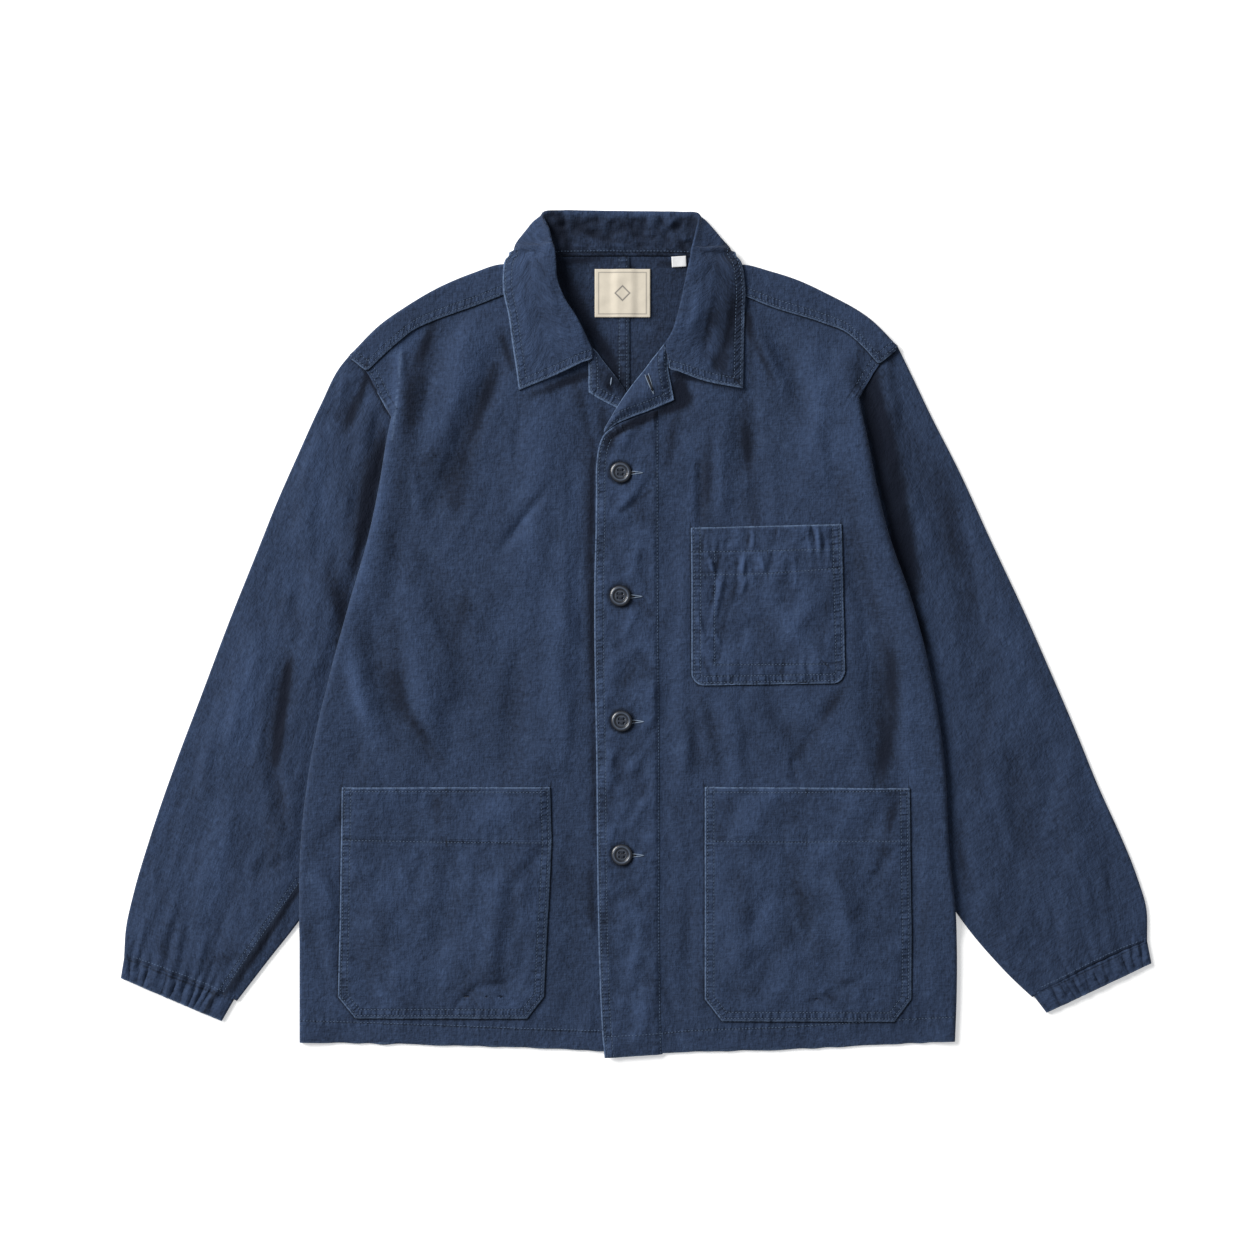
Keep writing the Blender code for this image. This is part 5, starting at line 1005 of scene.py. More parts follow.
def back(side, material):
    out = OUTWARD[side]
    fold = FOLD_LINE[side]
    tip_x = SHOULDER_FOLD[side][-1][0] + out * 0.4
    neck_x = SHOULDER_FOLD[side][0][0]
    start = CENTRE_X + out * 0.5 * SEAM_GAP + NECK_LAP[side]
    top_x = np.r_[np.linspace(start, neck_x, BACK_NECK_COLUMNS + 1),
                  np.linspace(neck_x, tip_x, BACK_SHOULDER_COLUMNS + 1)[1:]]
    u = (top_x - start) / (tip_x - start)
    across = np.abs(top_x - CENTRE_X) >= abs(neck_x - CENTRE_X) - 0.01
    top_y = np.where(across, fold.by(top_x, 0, 1), NECK_EDGE_Y)
    level = back_middle(top_x, top_y)
    radius = 0.5 * (shoulder_band_middle(side, top_x) - level)
    low_top = top_y - np.where(across, radius, 0.0)
    closer = 1.0 - (1.0 - np.linspace(0.0, 1.0, BACK_ROWS[1] + 1)[1:]) ** 1.4
    edge_y = np.r_[np.linspace(BACK_HEM_Y, UNDERARM[side][1], BACK_ROWS[0] + 1),
                   UNDERARM[side][1] + (low_top[-1] - UNDERARM[side][1]) * closer][:, None]
    v = (edge_y - BACK_HEM_Y) / (low_top[-1] - BACK_HEM_Y)
    edge_x = np.where(edge_y >= UNDERARM[side][1], ARMHOLE_LINE[side].by(edge_y, 1, 0) - out * ARMHOLE_GAP,
                      side_seam_x(side, edge_y) - out * 0.5 * SEAM_GAP)
    x = start + (edge_x - start) * u[None, :]
    y = BACK_HEM_Y + (low_top[None, :] - BACK_HEM_Y) * v
    z = back_middle(x, y)
    drawn_up = puckers(x - CENTRE_X + 1.0, y, 4.0, reach=7.0, wave=9.0, depth=1.0)
    z = z + 0.35 * drawn_up * smooth((y - 60.0) / 20.0)
    if side == "right":  # the lapped edge lies on the other panel
        z = z + 1.1 * smooth((x - (CENTRE_X - 3.2)) / 2.4)
    lower = stack(x, y, np.maximum(z, BACK_LEVEL))
    angle = np.linspace(-0.5, 0.5, FOLD_STEPS + 1)[1:, None] * math.pi
    roll = stack(top_x[None, :], low_top + radius * np.cos(angle), level + radius * (1.0 + np.sin(angle)))
    seam_tip_x = FORWARD_SEAM[side][-1][0] + out * LAP
    seam_x = neck_x + (seam_tip_x - neck_x) * np.clip((top_x - neck_x) / (tip_x - neck_x), 0.0, 1.0)
    seam_y = SEAM_LINE[side].by(seam_x, 0, 1)
    share = np.linspace(0.0, 1.0, SHOULDER_BAND_ROWS + 1)[1:, None]
    band_x = top_x + (seam_x - top_x) * share
    band_y = low_top + (seam_y - low_top) * share
    away = band_y - SEAM_LINE[side].by(band_x, 0, 1)
    end = Seam([(tip_x, low_top[-1]), (seam_tip_x, seam_y[-1])])
    from_end, _, up_end = end.near(band_x, band_y)
    strip = np.maximum(shoulder_band_middle(side, band_x), shoulder_band_middle(side, top_x))
    strip = strip + puckers(away - 5.0, band_x, 9.0, reach=7.0, wave=9.0, depth=0.5) * smooth(share * 4.0)
    strip = strip + 0.45 * washed(band_x, band_y, 95) * smooth(away / 8.0) * smooth(share * 4.0)
    strip = np.maximum(strip, front_middle(side, band_x, band_y) * (away < LAP + 1.0) + STEP)
    band = stack(band_x, band_y, strip)
    columns = len(top_x)
    low_rows = sum(BACK_ROWS)
    rows = low_rows + 1 + FOLD_STEPS + SHOULDER_BAND_ROWS
    faces = quads(rows, columns).reshape(rows - 1, columns - 1, 4)
    shoulder_faces = faces[low_rows:, BACK_NECK_COLUMNS:]
    faces = np.concatenate([faces[:low_rows].reshape(-1, 4), shoulder_faces.reshape(-1, 4)])
    points = np.concatenate([lower, roll, band])
    in_lower = np.arange(len(points)) < lower.shape[0] * lower.shape[1]
    double = np.full(len(points), FAR)
    double[-band.shape[0]:] = np.minimum(away, from_end).ravel()
    along = points[:, 0].copy()
    along[-band.shape[0]:] = np.where(away < from_end, band_x, up_end).ravel()
    if side == "right":
        wide = (SECOND_ROW - FIRST_ROW) / (CENTRE_ROWS[0] - CENTRE_ROWS[1])
        felled = FIRST_ROW + (CENTRE_ROWS[0] - points[:, 0]) * wide
        inside = in_lower & (points[:, 0] > CENTRE_X - 40.0)
        double = np.where(inside, felled, double)
        along = np.where(inside, points[:, 1], along)
    used, numbered = np.unique(faces, return_inverse=True)
    # Inside the neck the back is painted darker as shade, with the painted rows for the neck.
    in_neck = in_lower & (np.abs(points[:, 0] - CENTRE_X) < 90.0)
    relief = in_neck * (fold_relief(PAINTED_SHADE_AND_LIGHT["neck"], points[:, 0], points[:, 1]) - 3.5)
    made = cloth("back_" + side, points[used], numbered.reshape(-1, 4), material,
                 double=double[used], fold=double[used], along=along[used], relief=relief[used])
    on_strip = on_cloth(band)
    row_x = seam_x[BACK_NECK_COLUMNS + 3:-1]
    for distance in (FIRST_ROW, SECOND_ROW):
        sew(np.stack([row_x, SEAM_LINE[side].by(row_x, 0, 1) + distance], -1), on_strip)
        sew(end.beside(-out * distance), on_strip)
    if side == "right":
        on_back = on_cloth(lower)
        for row_x in CENTRE_ROWS:
            for low, high in CENTRE_SHOWN:
                sew([(row_x, low), (row_x, high)], on_back)
    return made


# ---------------------------------------------------------------- sleeves and cuffs
def tube_rings(outer, inner, top_height, top_points, bottom_points, arc_steps=8):
    """Points of rings around a flattened tube: round edges, a flat underside. Ends are (rings, 2)."""
    width = np.linalg.norm(inner - outer, axis=1)[:, None]
    along = (inner - outer) / width
    radius = [0.5 * (top_height(end[:, 0], end[:, 1]) - BACK_LEVEL)[:, None] for end in (outer, inner)]
    angle = np.linspace(-0.5, 0.5, arc_steps + 1)[None, :] * math.pi
    share = np.linspace(0.0, 1.0, top_points + 2)[None, 1:-1]
    back_share = np.linspace(1.0, 0.0, bottom_points + 2)[None, 1:-1]
    straight = width - radius[0] - radius[1]
    place = [radius[0] * (1.0 - np.cos(angle)), radius[0] + straight * share,
             width - radius[1] * (1.0 - np.cos(-angle)), radius[0] + straight * back_share]
    plan = [outer[:, None, :] + along[:, None, :] * p[..., None] for p in place]
    height = [BACK_LEVEL + radius[0] * (1.0 + np.sin(angle)), top_height(plan[1][..., 0], plan[1][..., 1]),
              BACK_LEVEL + radius[1] * (1.0 + np.sin(-angle)), np.full(place[3].shape, BACK_LEVEL)]
    points = [np.concatenate([p, h[..., None]], -1) for p, h in zip(plan, height)]
    top = slice(arc_steps + 1, arc_steps + 1 + top_points)
    return np.concatenate(points, axis=1), np.concatenate(place, axis=1) / width, top


def cuff_gathers(side, x, y):
    """Gathers that the elastic cuff draws into the end of its sleeve."""
    away, _, along = CUFF_SEAMS[side].near(x, y)
    wave = np.sin(2 * math.pi * (along / 10.2 + 0.35 * np.sin(along / 12.0)))
    long = 15.0 + 9.0 * np.sin(along / 6.1 + 1.0)
    return 0.85 * wave * np.exp(-((away / long) ** 2))


CUFF_SEAMS = {side: Seam(Line(rows, 4).dense) for side, rows in CUFF_SEAM.items()}


def sleeve(side, material):
    armhole, outer = ARMHOLE_LINE[side], OUTER_LINE[side]
    inner, cuff = Line(SLEEVE_INNER[side]), Line(CUFF_SEAM[side])
    t = np.linspace(0.0, 1.0, SLEEVE_RINGS)
    ends = outer.at(t), inner.at(t)
    height = lambda x, y: sleeve_top(side, x, y)
    rows, share, top = tube_rings(*ends, height, SLEEVE_TOP_POINTS, SLEEVE_BOTTOM_POINTS)
    near_armhole, near_cuff = np.maximum(0.0, 1.0 - t / 0.25) ** 2, np.maximum(0.0, (t - 0.8) / 0.2) ** 2
    for shape, weight in ((armhole, near_armhole), (cuff, near_cuff)):
        bend = shape.at(share) - (shape.at(0.0) + (shape.at(1.0) - shape.at(0.0)) * share[..., None])
        rows[..., :2] += weight[:, None, None] * bend
    x, y = rows[:, top, 0], rows[:, top, 1]
    edge = np.minimum(share[:, top], 1.0 - share[:, top])
    rows[:, top, 2] = sleeve_top(side, x, y) + cuff_gathers(side, x, y) * smooth(edge / 0.06)
    rows[..., 0] += OUTWARD[side] * 0.5 * SEAM_GAP
    if side == "right":  # its upper arm swells outwards
        rows[..., 0] -= 3.7 * np.exp(-(((rows[..., 1] - 152.0) / 58.0) ** 2)) * (1.0 - share) ** 2
    else:
        rows[..., 0] -= 2.2 * np.exp(-(((rows[..., 1] + 150.0) / 50.0) ** 2)) * (1.0 - share) ** 2
        rows[..., 1] -= 2.4 * np.exp(-(((rows[..., 0] - 355.0) / 32.0) ** 2)) * share**2
    long = np.r_[0.0, np.cumsum(np.linalg.norm(np.diff(0.5 * (ends[0] + ends[1]), axis=0), axis=1))]
    width = np.linalg.norm(ends[1] - ends[0], axis=1)
    thread = np.stack(np.broadcast_arrays(share * width[:, None], long[:, None]), -1)
    double, along = np.full(share.shape, FAR), np.zeros(share.shape)
    if side == "right":
        away, turned, run = UNDERARM_LINE.near(x, y)
        double[:, top] = FIRST_ROW + (-away * turned - UNDERARM_ROWS[0]) * (SECOND_ROW - FIRST_ROW) / (
            UNDERARM_ROWS[1] - UNDERARM_ROWS[0])
        along[:, top] = run
        for distance in UNDERARM_ROWS:
            sew(UNDERARM_LINE.beside(-distance), on_cloth(rows[:, top]))
    cuff_row = CUFF_SEAMS[side].beside(2.4 if side == "right" else -2.4)
    sew(cuff_row[1:-1], on_cloth(rows[:, top]))
    # The relief attribute paints shade in the folds and creases and light on their ridges; beside paints a
    # thin shadow line outside the lapped armhole seam and along the felled underarm seam.
    relief, beside = np.zeros(share.shape), np.full(share.shape, FAR)
    relief[:, top] = fold_relief(SLEEVE_FOLDS[side], x, y) + fold_relief(SLEEVE_CREASES[side], x, y)
    relief[:, top] += fold_relief(PAINTED_SHADE_AND_LIGHT["sleeve_" + side], x, y)
    lap = Seam(ARMHOLE_LINE[side].dense[::4, :2] + np.array([OUTWARD[side] * LAP, 0.0]))
    from_lap, beyond, _ = lap.near(x, y)
    beside[:, top] = 0.7 * from_lap * beyond
    if side == "right":
        felled = -0.8 * away * turned + 0.3
        beside[:, top] = np.where(np.abs(felled) < np.abs(beside[:, top]), felled, beside[:, top])
    return cloth("sleeve_" + side, rows, quads(SLEEVE_RINGS, rows.shape[1], closed=True), material,
                 thread=thread, double=double, along=along, relief=relief, beside=beside)


def cuff(side, material):
    """An elastic cuff: its upper face drawn up in gathers, its underside flat."""
    seam, mouth = Line(CUFF_SEAM[side]), Line(CUFF_MOUTH[side])
    t = np.linspace(-0.16, 1.0, CUFF_RINGS)[:, None]  # it starts tucked inside the sleeve's end
    out_of_sleeve = smooth((t - 0.02) / 0.3)
    ends = [seam.at(k)[None, :] * (1 - t) + mouth.at(k)[None, :] * t for k in (0.0, 1.0)]
    rows, share, top = tube_rings(*ends, lambda x, y: np.full(np.shape(x), 4.2), CUFF_TOP_POINTS, 20)
    place = share[:, top]
    turns = CUFF_GATHERS * place + 0.5 * np.sin(9.0 * place) + 0.2 * np.sin(23.0 * place + 1.5 * t + 1.0)
    wave = 2.0 * np.abs(np.sin(math.pi * turns)) ** 0.75 - 1.0  # broad pleats, narrow valleys
    depth = 1.35 * (0.72 + 0.28 * np.cos(2 * math.pi * (t - 0.5))) * (0.8 + 0.3 * np.sin(31.0 * place))
    gathers = depth * wave * np.sin(math.pi * place) ** 0.3 + 0.25 * rumple(60.0 * place, 22.0 * t, 7.0, 5)
    flat = rows[:, top, 2] + 0.6 * np.sin(math.pi * place)
    seam_row = rows[np.argmin(np.abs(t)), top]
    seam_x, seam_y = seam_row[:, 0], seam_row[:, 1]
    edge = np.minimum(place[0], 1.0 - place[0])
    level = sleeve_top(side, seam_x, seam_y) + cuff_gathers(side, seam_x, seam_y) * smooth(edge / 0.06)
    tucked = level[None, :] + 0.12 - 1.8 * (1.0 - smooth((t + 0.07) / 0.07))
    rows[:, top, 2] = tucked + (flat - tucked) * smooth((t - 0.02) / 0.9) + gathers * out_of_sleeve
    # pleats paints shade into the valleys between the pleats and light on their tops; on the right cuff,
    # which faces away from the lamp, it also paints a shadow line along the seam.
    pleats, closing = np.zeros(share.shape), np.full(share.shape, FAR)
    pleats[:, top] = 3.4 * np.minimum(wave, 0.4) * smooth((t - 0.02) / 0.2)
    if side == "right":
        pleats[:, top] -= 3.0 * np.exp(-(((t - 0.05) / 0.07) ** 2))
    if side == "right":  # the underarm seam runs on across the cuff, with a painted shadow line along it
        closing[:, top] = (place - 0.83) * 100.0
    thread = np.stack(np.broadcast_arrays(share * 104.0, 24.0 * t), -1)
    single = np.broadcast_to(24.0 * t - 2.0, share.shape)
    fold = np.broadcast_to(24.0 * (1.0 - t), share.shape)
    return cloth("cuff_" + side, rows, quads(CUFF_RINGS, rows.shape[1], closed=True), material, thread=thread,
                 single=single, fold=fold, along=share * 104.0, relief=pleats, beside=closing)


# ---------------------------------------------------------------- collar and lapels
def body_top(side, x, y):
    """Top of the front or of the shoulder strip under the collar."""
    strip = shoulder_band_middle(side, x)
    on_strip = y >= SEAM_LINE[side].by(x, 0, 1) - 2.0
    return np.where(on_strip, strip, front_middle(side, x, y)) + HALF


def collar_section(row):
    """Points across the collar from its seam, over the roll, to its outer edge."""
    seam, roll, middle, edge = np.array(row, float).reshape(4, 3)
    stand = seam * 0.42 + roll * 0.58 + np.array([0, 0, 0.2])
    crown = roll * 0.72 + middle * 0.28 + np.array([0, 0, 0.9 if middle[2] > 5.5 else -1.0])
    knots = np.array([seam, stand, roll, crown, middle, edge])
    span = np.r_[0.0, np.cumsum(np.linalg.norm(np.diff(knots, axis=0), axis=1))]
    slope = np.gradient(knots, span, axis=0)
    t = np.interp(np.linspace(0, 5, COLLAR_POINTS), np.arange(6), span)
    points = []
    for value in t:
        i = min(int(np.searchsorted(span, value, side="right")) - 1, 4)
        h = span[i + 1] - span[i]
        s = (value - span[i]) / h
        points.append(
            knots[i] * (2 * s**3 - 3 * s**2 + 1) + knots[i + 1] * (3 * s**2 - 2 * s**3)
            + h * (slope[i] * (s**3 - 2 * s**2 + s) + slope[i + 1] * (s**3 - s**2))
        )
    return np.array(points)


def collar(material):
    order = [*reversed(COLLAR["right"]), COLLAR_CENTRE, *COLLAR["left"]]
    sections = np.array([collar_section(row) for row in order])
    place = np.linspace(0.0, len(order) - 1.0, COLLAR_SECTIONS)
    slope = np.gradient(sections, axis=0)
    i = np.minimum(place.astype(int), len(order) - 2)
    s = (place - i)[:, None, None]
    grid = (sections[i] * (2 * s**3 - 3 * s**2 + 1) + sections[i + 1] * (3 * s**2 - 2 * s**3)
            + slope[i] * (s**3 - 2 * s**2 + s) + slope[i + 1] * (s**3 - s**2))
    # Its outer fold runs straight over the shoulders.
    x, y = grid[..., 0], grid[..., 1]
    fuller = 1.5 * smooth((x - 74.0) / 10.0) * np.exp(-(((y - 353.0) / 7.0) ** 2))
    drawn_in = smooth((-84.0 - x) / 12.0) * smooth((y - 346.0) / 9.0) * smooth((389.0 - y) / 12.0)
    fuller = fuller - 2.6 * drawn_in
    grid[..., 0] += fuller
    # Where each point lies on the cut collar: along its seam, and across from the outer edge.
    across = np.cumsum(np.linalg.norm(np.diff(grid[:, ::-1], axis=1), axis=2), axis=1)
    across = np.concatenate([np.zeros((COLLAR_SECTIONS, 1)), across], axis=1)[:, ::-1]
    along = np.cumsum(np.linalg.norm(np.diff(grid, axis=0), axis=2), axis=0)
    along = np.concatenate([np.zeros((1, COLLAR_POINTS)), along])
    from_end = np.minimum(along, along[-1:] - along)
    double = np.minimum(across, from_end)
    run = np.where(across < from_end, along, across)
    across_u, along_v = np.gradient(grid, axis=0), np.gradient(grid, axis=1)
    normal = np.cross(across_u, along_v)
    normal /= np.maximum(np.linalg.norm(normal, axis=2, keepdims=True), 1e-6)
    middle = along - along[-1:] * 0.5
    inside = smooth((across - 40.0) / 14.0) * smooth((78.0 - np.abs(middle)) / 20.0)
    pulls = 1.5 * washed(3.4 * middle, 2.4 * across, 31)
    pulls = pulls + 0.35 * rumple(middle + 0.5 * across, across, 9.0, 34)
    stand = np.maximum(across[:, :1] - across, 0.0)
    # Inside the neck and on the leaf turned away from the window the cloth is in its own shade.
    in_shade = smooth((across - 42.0) / 14.0) * smooth((86.0 - np.abs(middle)) / 14.0)
    relief = inside * pulls + 1.5 * washed(1.6 * middle, 1.5 * across, 33) * smooth(double / 12.0)
    creases = fold_relief(COLLAR_CREASES, grid[..., 0], grid[..., 1])
    off_the_seam = smooth(double / 6.0) * smooth((grid[..., 2] - 5.0) / 2.0)
    relief = relief + (0.9 + 1.1 * inside) * creases * off_the_seam
    turned_away = smooth((grid[..., 0] - 62.0) / 30.0) * (1.0 - in_shade)
    relief = relief + puckers(double - 5.5, run, 11.0, reach=5.0, wave=7.0, depth=0.36)
    relief = relief + puckers(stand - 3.0, middle, 12.0, reach=6.0, wave=7.8, depth=0.3) * smooth(stand / 2.0)
    relief = relief * np.maximum(np.abs(normal[..., 2]), 0.75 * inside)
    grid[..., 2] = grid[..., 2] + relief
    grid[..., 2] = np.maximum(grid[..., 2], 0.5 * COLLAR_WALL + 0.05)
    half = len(order) // 2
    clear = np.full(grid.shape[:2], -FAR)  # the fall lies on the body, and bends softly over its shoulders
    for k, value in enumerate(place):
        if abs(value - half) > 5.0:
            over = body_top("right" if value < half else "left", grid[k, :, 0], grid[k, :, 1])
            clear[k] = over + 0.15 + COLLAR_WALL / 2
    for k, value in enumerate(place):
        if abs(value - half) < 4.6:  # its stand comes down to the back panels
            neck = np.exp(-((stand[k] / 4.5) ** 2))
            grid[k, :, 2] -= neck * (grid[k, :1, 2] - back_middle(grid[k, :1, 0], grid[k, :1, 1]) - 0.4)
        if abs(value - half) > 5.0:
            rise = np.maximum(clear[k] + 0.3 + np.clip(relief[k], -0.3, 1.0) - grid[k, :, 2], 0.0)
            grid[k, :, 2] += rise * smooth((abs(value - half) - 5.0) / 2.4)
    for distance in (FIRST_ROW, SECOND_ROW):
        collar_row(grid, across, from_end, distance)
    STITCH_LINES.append(grid[30:-30, 3] + np.array([0, 0, COLLAR_WALL / 2 + 0.1]))
    # The relief attribute paints shade into the collar's creases, inside the neck, on the turned-away leaf
    # and in its painted rows, and paints light on ridges.
    return cloth("collar", grid, quads(COLLAR_SECTIONS, COLLAR_POINTS), material, COLLAR_WALL,
                 thread=np.stack([middle, across], -1), double=double, fold=0.7 * double, along=run,
                 single=stand - 3.0, relief=(1.8 - 0.7 * inside) * relief - 5.0 * (in_shade + turned_away)
                 + fold_relief(PAINTED_SHADE_AND_LIGHT["collar"], grid[..., 0], grid[..., 1]))


def collar_row(grid, across, from_end, distance):
    """A row of stitches round the collar's outer edge and both its ends."""
    lift = np.array([0.0, 0.0, COLLAR_WALL / 2 + 0.12])

    def at_edge(k):
        order = np.argsort(across[k])
        return np.array([np.interp(distance, across[k][order], grid[k][order, c]) for c in range(3)])

    edge = np.array([at_edge(k) for k in range(COLLAR_SECTIONS) if from_end[k, -1] >= distance])
    for part in (edge[: len(edge) // 2], edge[len(edge) // 2:]):
        shown = part[part[:, 2] > 4.0]
        if len(shown) > 4:
            STITCH_LINES.append(shown + lift)
    for rows in (slice(0, COLLAR_SECTIONS // 2), slice(COLLAR_SECTIONS - 1, COLLAR_SECTIONS // 2, -1)):
        line = []
        for c in range(12, COLLAR_POINTS):
            reach = from_end[rows, c]
            if across[rows, c][0] >= distance:
                line.append([np.interp(distance, reach, grid[rows, c, k]) for k in range(3)])
        STITCH_LINES.append(np.array(line) + lift)


SURFACES = {}  # height of what the buttonholes and the tack are sewn on
def between(table, steps):
    """The rows of a table with this many steps from each to the next."""
    rows = np.array(table, float)
    parts = [np.linspace(a, b, steps, endpoint=False) for a, b in zip(rows, rows[1:])]
    return np.concatenate(parts + [rows[-1:]])


def lapel(side, material):
    rows = between(LAPELS[side], LAPEL_STEPS)
    u = np.linspace(0.0, 1.0, LAPEL_COLUMNS + 1)[None, :]
    x = rows[:, 0:1] * (1 - u) + rows[:, 2:3] * u
    y = rows[:, 1:2] * (1 - u) + rows[:, 3:4] * u
    height = rows[:, 4:5] * np.sin(math.pi * (0.15 + 0.85 * u)) ** 2
    edge = Seam(rows[:, 2:4])
    double, _, along = edge.near(x, y)
    drawn_up = puckers(double - 5.5, along, 21.0, reach=5.0, wave=6.8, depth=0.38)
    height = height + drawn_up * smooth(double / 1.5)
    height = height + 0.5 * np.clip(rumple(x, y, 22.0, 23), 0.0, 2.0) * smooth(double / 8.0)
    z = front_middle(side, x, y) + STEP + 0.2 + np.maximum(height, 0.0)
    # The roll turns down to the front that the lapel is part of.
    turn = np.linspace(-0.5, 0.5, 7)[None, :-1] * math.pi
    low = front_middle(side, x[:, :1], y[:, :1]) + 0.4
    radius = 0.5 * (z[:, :1] - low)
    step = np.stack([x[:, 1] - x[:, 0], y[:, 1] - y[:, 0]], -1)
    step = step / np.maximum(np.linalg.norm(step, axis=1, keepdims=True), 1e-6)
    bulge = 0.8 * radius * np.cos(turn)
    roll = np.stack([x[:, :1] - step[:, :1] * bulge, y[:, :1] - step[:, 1:] * bulge,
                     low + radius * (1.0 + np.sin(turn))], -1)
    grid = np.concatenate([roll, np.stack([x, y, z], -1)], axis=1)
    pad = ((0, 0), (6, 0))
    surface = on_cloth(grid[:, 6:])
    for distance in (FIRST_ROW, SECOND_ROW):
        line = edge.beside((-1.0 if side == "left" else 1.0) * distance)
        inner = Seam(rows[:, 0:2]).near(line[:, 0], line[:, 1])
        keep = (inner[0] > 2.0) & (inner[1] * (1 if side == "left" else -1) > 0)
        if keep.sum() > 3:
            sew(line[keep], surface)
    SURFACES["lapel_" + side] = surface
    # Its relief attribute holds only the painted shade and light of its rows.
    return cloth("lapel_" + side, grid, quads(len(rows), LAPEL_COLUMNS + 7), material,
                 double=np.pad(double, pad, constant_values=FAR),
                 fold=np.pad(0.6 * double, pad, constant_values=0.4), along=np.pad(along, pad),
                 relief=fold_relief(PAINTED_SHADE_AND_LIGHT["lapel_" + side], grid[..., 0], grid[..., 1]))


# ---------------------------------------------------------------- what lies on the fronts
def band(material):
    edge, seam = Line(BAND_EDGE), Line(BAND_SEAM)
    u = np.linspace(0.0, 1.0, BAND_COLUMNS + 1)
    v = 1.0 - (1.0 - np.linspace(0.0, 1.0, BAND_ROWS + 1)[:, None]) ** 1.25  # closer where its top curves
    bottom_y = BAND_EDGE[0][1] * (1 - u) + BAND_SEAM[0][1] * u
    y = bottom_y + (BAND_EDGE[-1][1] - bottom_y) * v
    left, right = edge.by(y, 1, 0), seam.by(y, 1, 0)
    x = left + (right - left) * u
    outline = Seam(edge.dense[::2])
    from_edge, _, run = outline.near(x, y)
    from_seam = right - x
    relief = puckers(from_edge - 5.5, run, 13.0, reach=5.0, wave=7.2, depth=0.42) * (y < 174.0)
    relief = relief + puckers(from_seam, y, 14.0, reach=6.0, wave=9.0, depth=0.3)
    under_lapel = smooth((y - 190.0) / 8.0)
    creases = 2.1 * washed(1.9 * x, 1.6 * y, 15) + 1.2 * FULLER * fold_relief(BAND_CREASES, x, y)
    relief = relief + creases * smooth(from_edge / 9.0) * smooth(from_seam / 6.0)
    for centre in BUTTONS:  # the cloth draws up round a buttonhole
        near = np.exp(-((x - centre[0] - 16.0) / 15.0) ** 2 - ((y - centre[1]) / 12.0) ** 2)
        relief = relief + 0.75 * near * np.sin((y - centre[1]) / 3.1 + 0.12 * (x - centre[0]))
    lift = 0.25 * smooth(from_edge / 4.0) + 0.1
    from_button = np.min([np.hypot(x - cx, y - cy) for cx, cy in BUTTONS], axis=0)
    low = front_middle("left", x, y) - 0.35  # its seam side is flush with the front
    z = band_middle(x, y) + np.maximum(lift + relief * smooth((from_button - 9.0) / 5.0), -0.3)
    z = low + (z - low) * smooth((from_seam + 0.5) / 6.0)
    surface = SURFACES["placket"] = on_cloth(stack(x, y, z))
    for distance in (FIRST_ROW, SECOND_ROW):
        line = outline.beside(-distance)
        sew(line[line[:, 1] < 180.0], surface)
    runs = np.linspace(BAND_SEAM[0][1] + 1.0, 196.0, 90)
    sew(np.stack([seam.by(runs, 1, 0) - 1.6, runs], -1), surface)
    sew([HEM_ROW["left"][0], HEM_ROW["left"][1]], surface)
    from_worn_edge = from_edge + 30.0 * under_lapel
    # Its relief attribute paints shade and light on its creases and a shadow under the lapel's edge; beside
    # paints a contact shadow round each button.
    return cloth("placket", stack(x, y, z), quads(BAND_ROWS + 1, BAND_COLUMNS + 1), material,
                 double=from_worn_edge, fold=np.minimum(from_worn_edge, y - bottom_y), along=run,
                 single=np.abs(from_seam - 1.6) + 0.8, beside=np.abs(from_button - 10.3) * 0.8,
                 relief=1.5 * creases + fold_relief(PAINTED_SHADE_AND_LIGHT["band"], x, y))


POCKET_WALL = 1.5
ROUND_BOTTOM = [  # rounded lower corners of the chest pocket, in the columns of the pocket table
    (-39.7, 51.8, 191.3, 2.6, 0.2),
    (-43.4, 54.1, 189.3, 2.4, 0.1),
    (-46.0, 57.4, 186.0, 2.2, 0.0),
    (-47.1, 61.2, 182.6, 2.0, 0.0),
]


def pocket_outline(table):
    """A pocket's sewn edge: down its left side, round its bottom and up its right side."""
    left = [(table[-1, 1], table[-1, 0])] + [(row[1], row[0]) for row in table[-2::-1]]
    return left + [(row[2], row[0] + row[3]) for row in table]


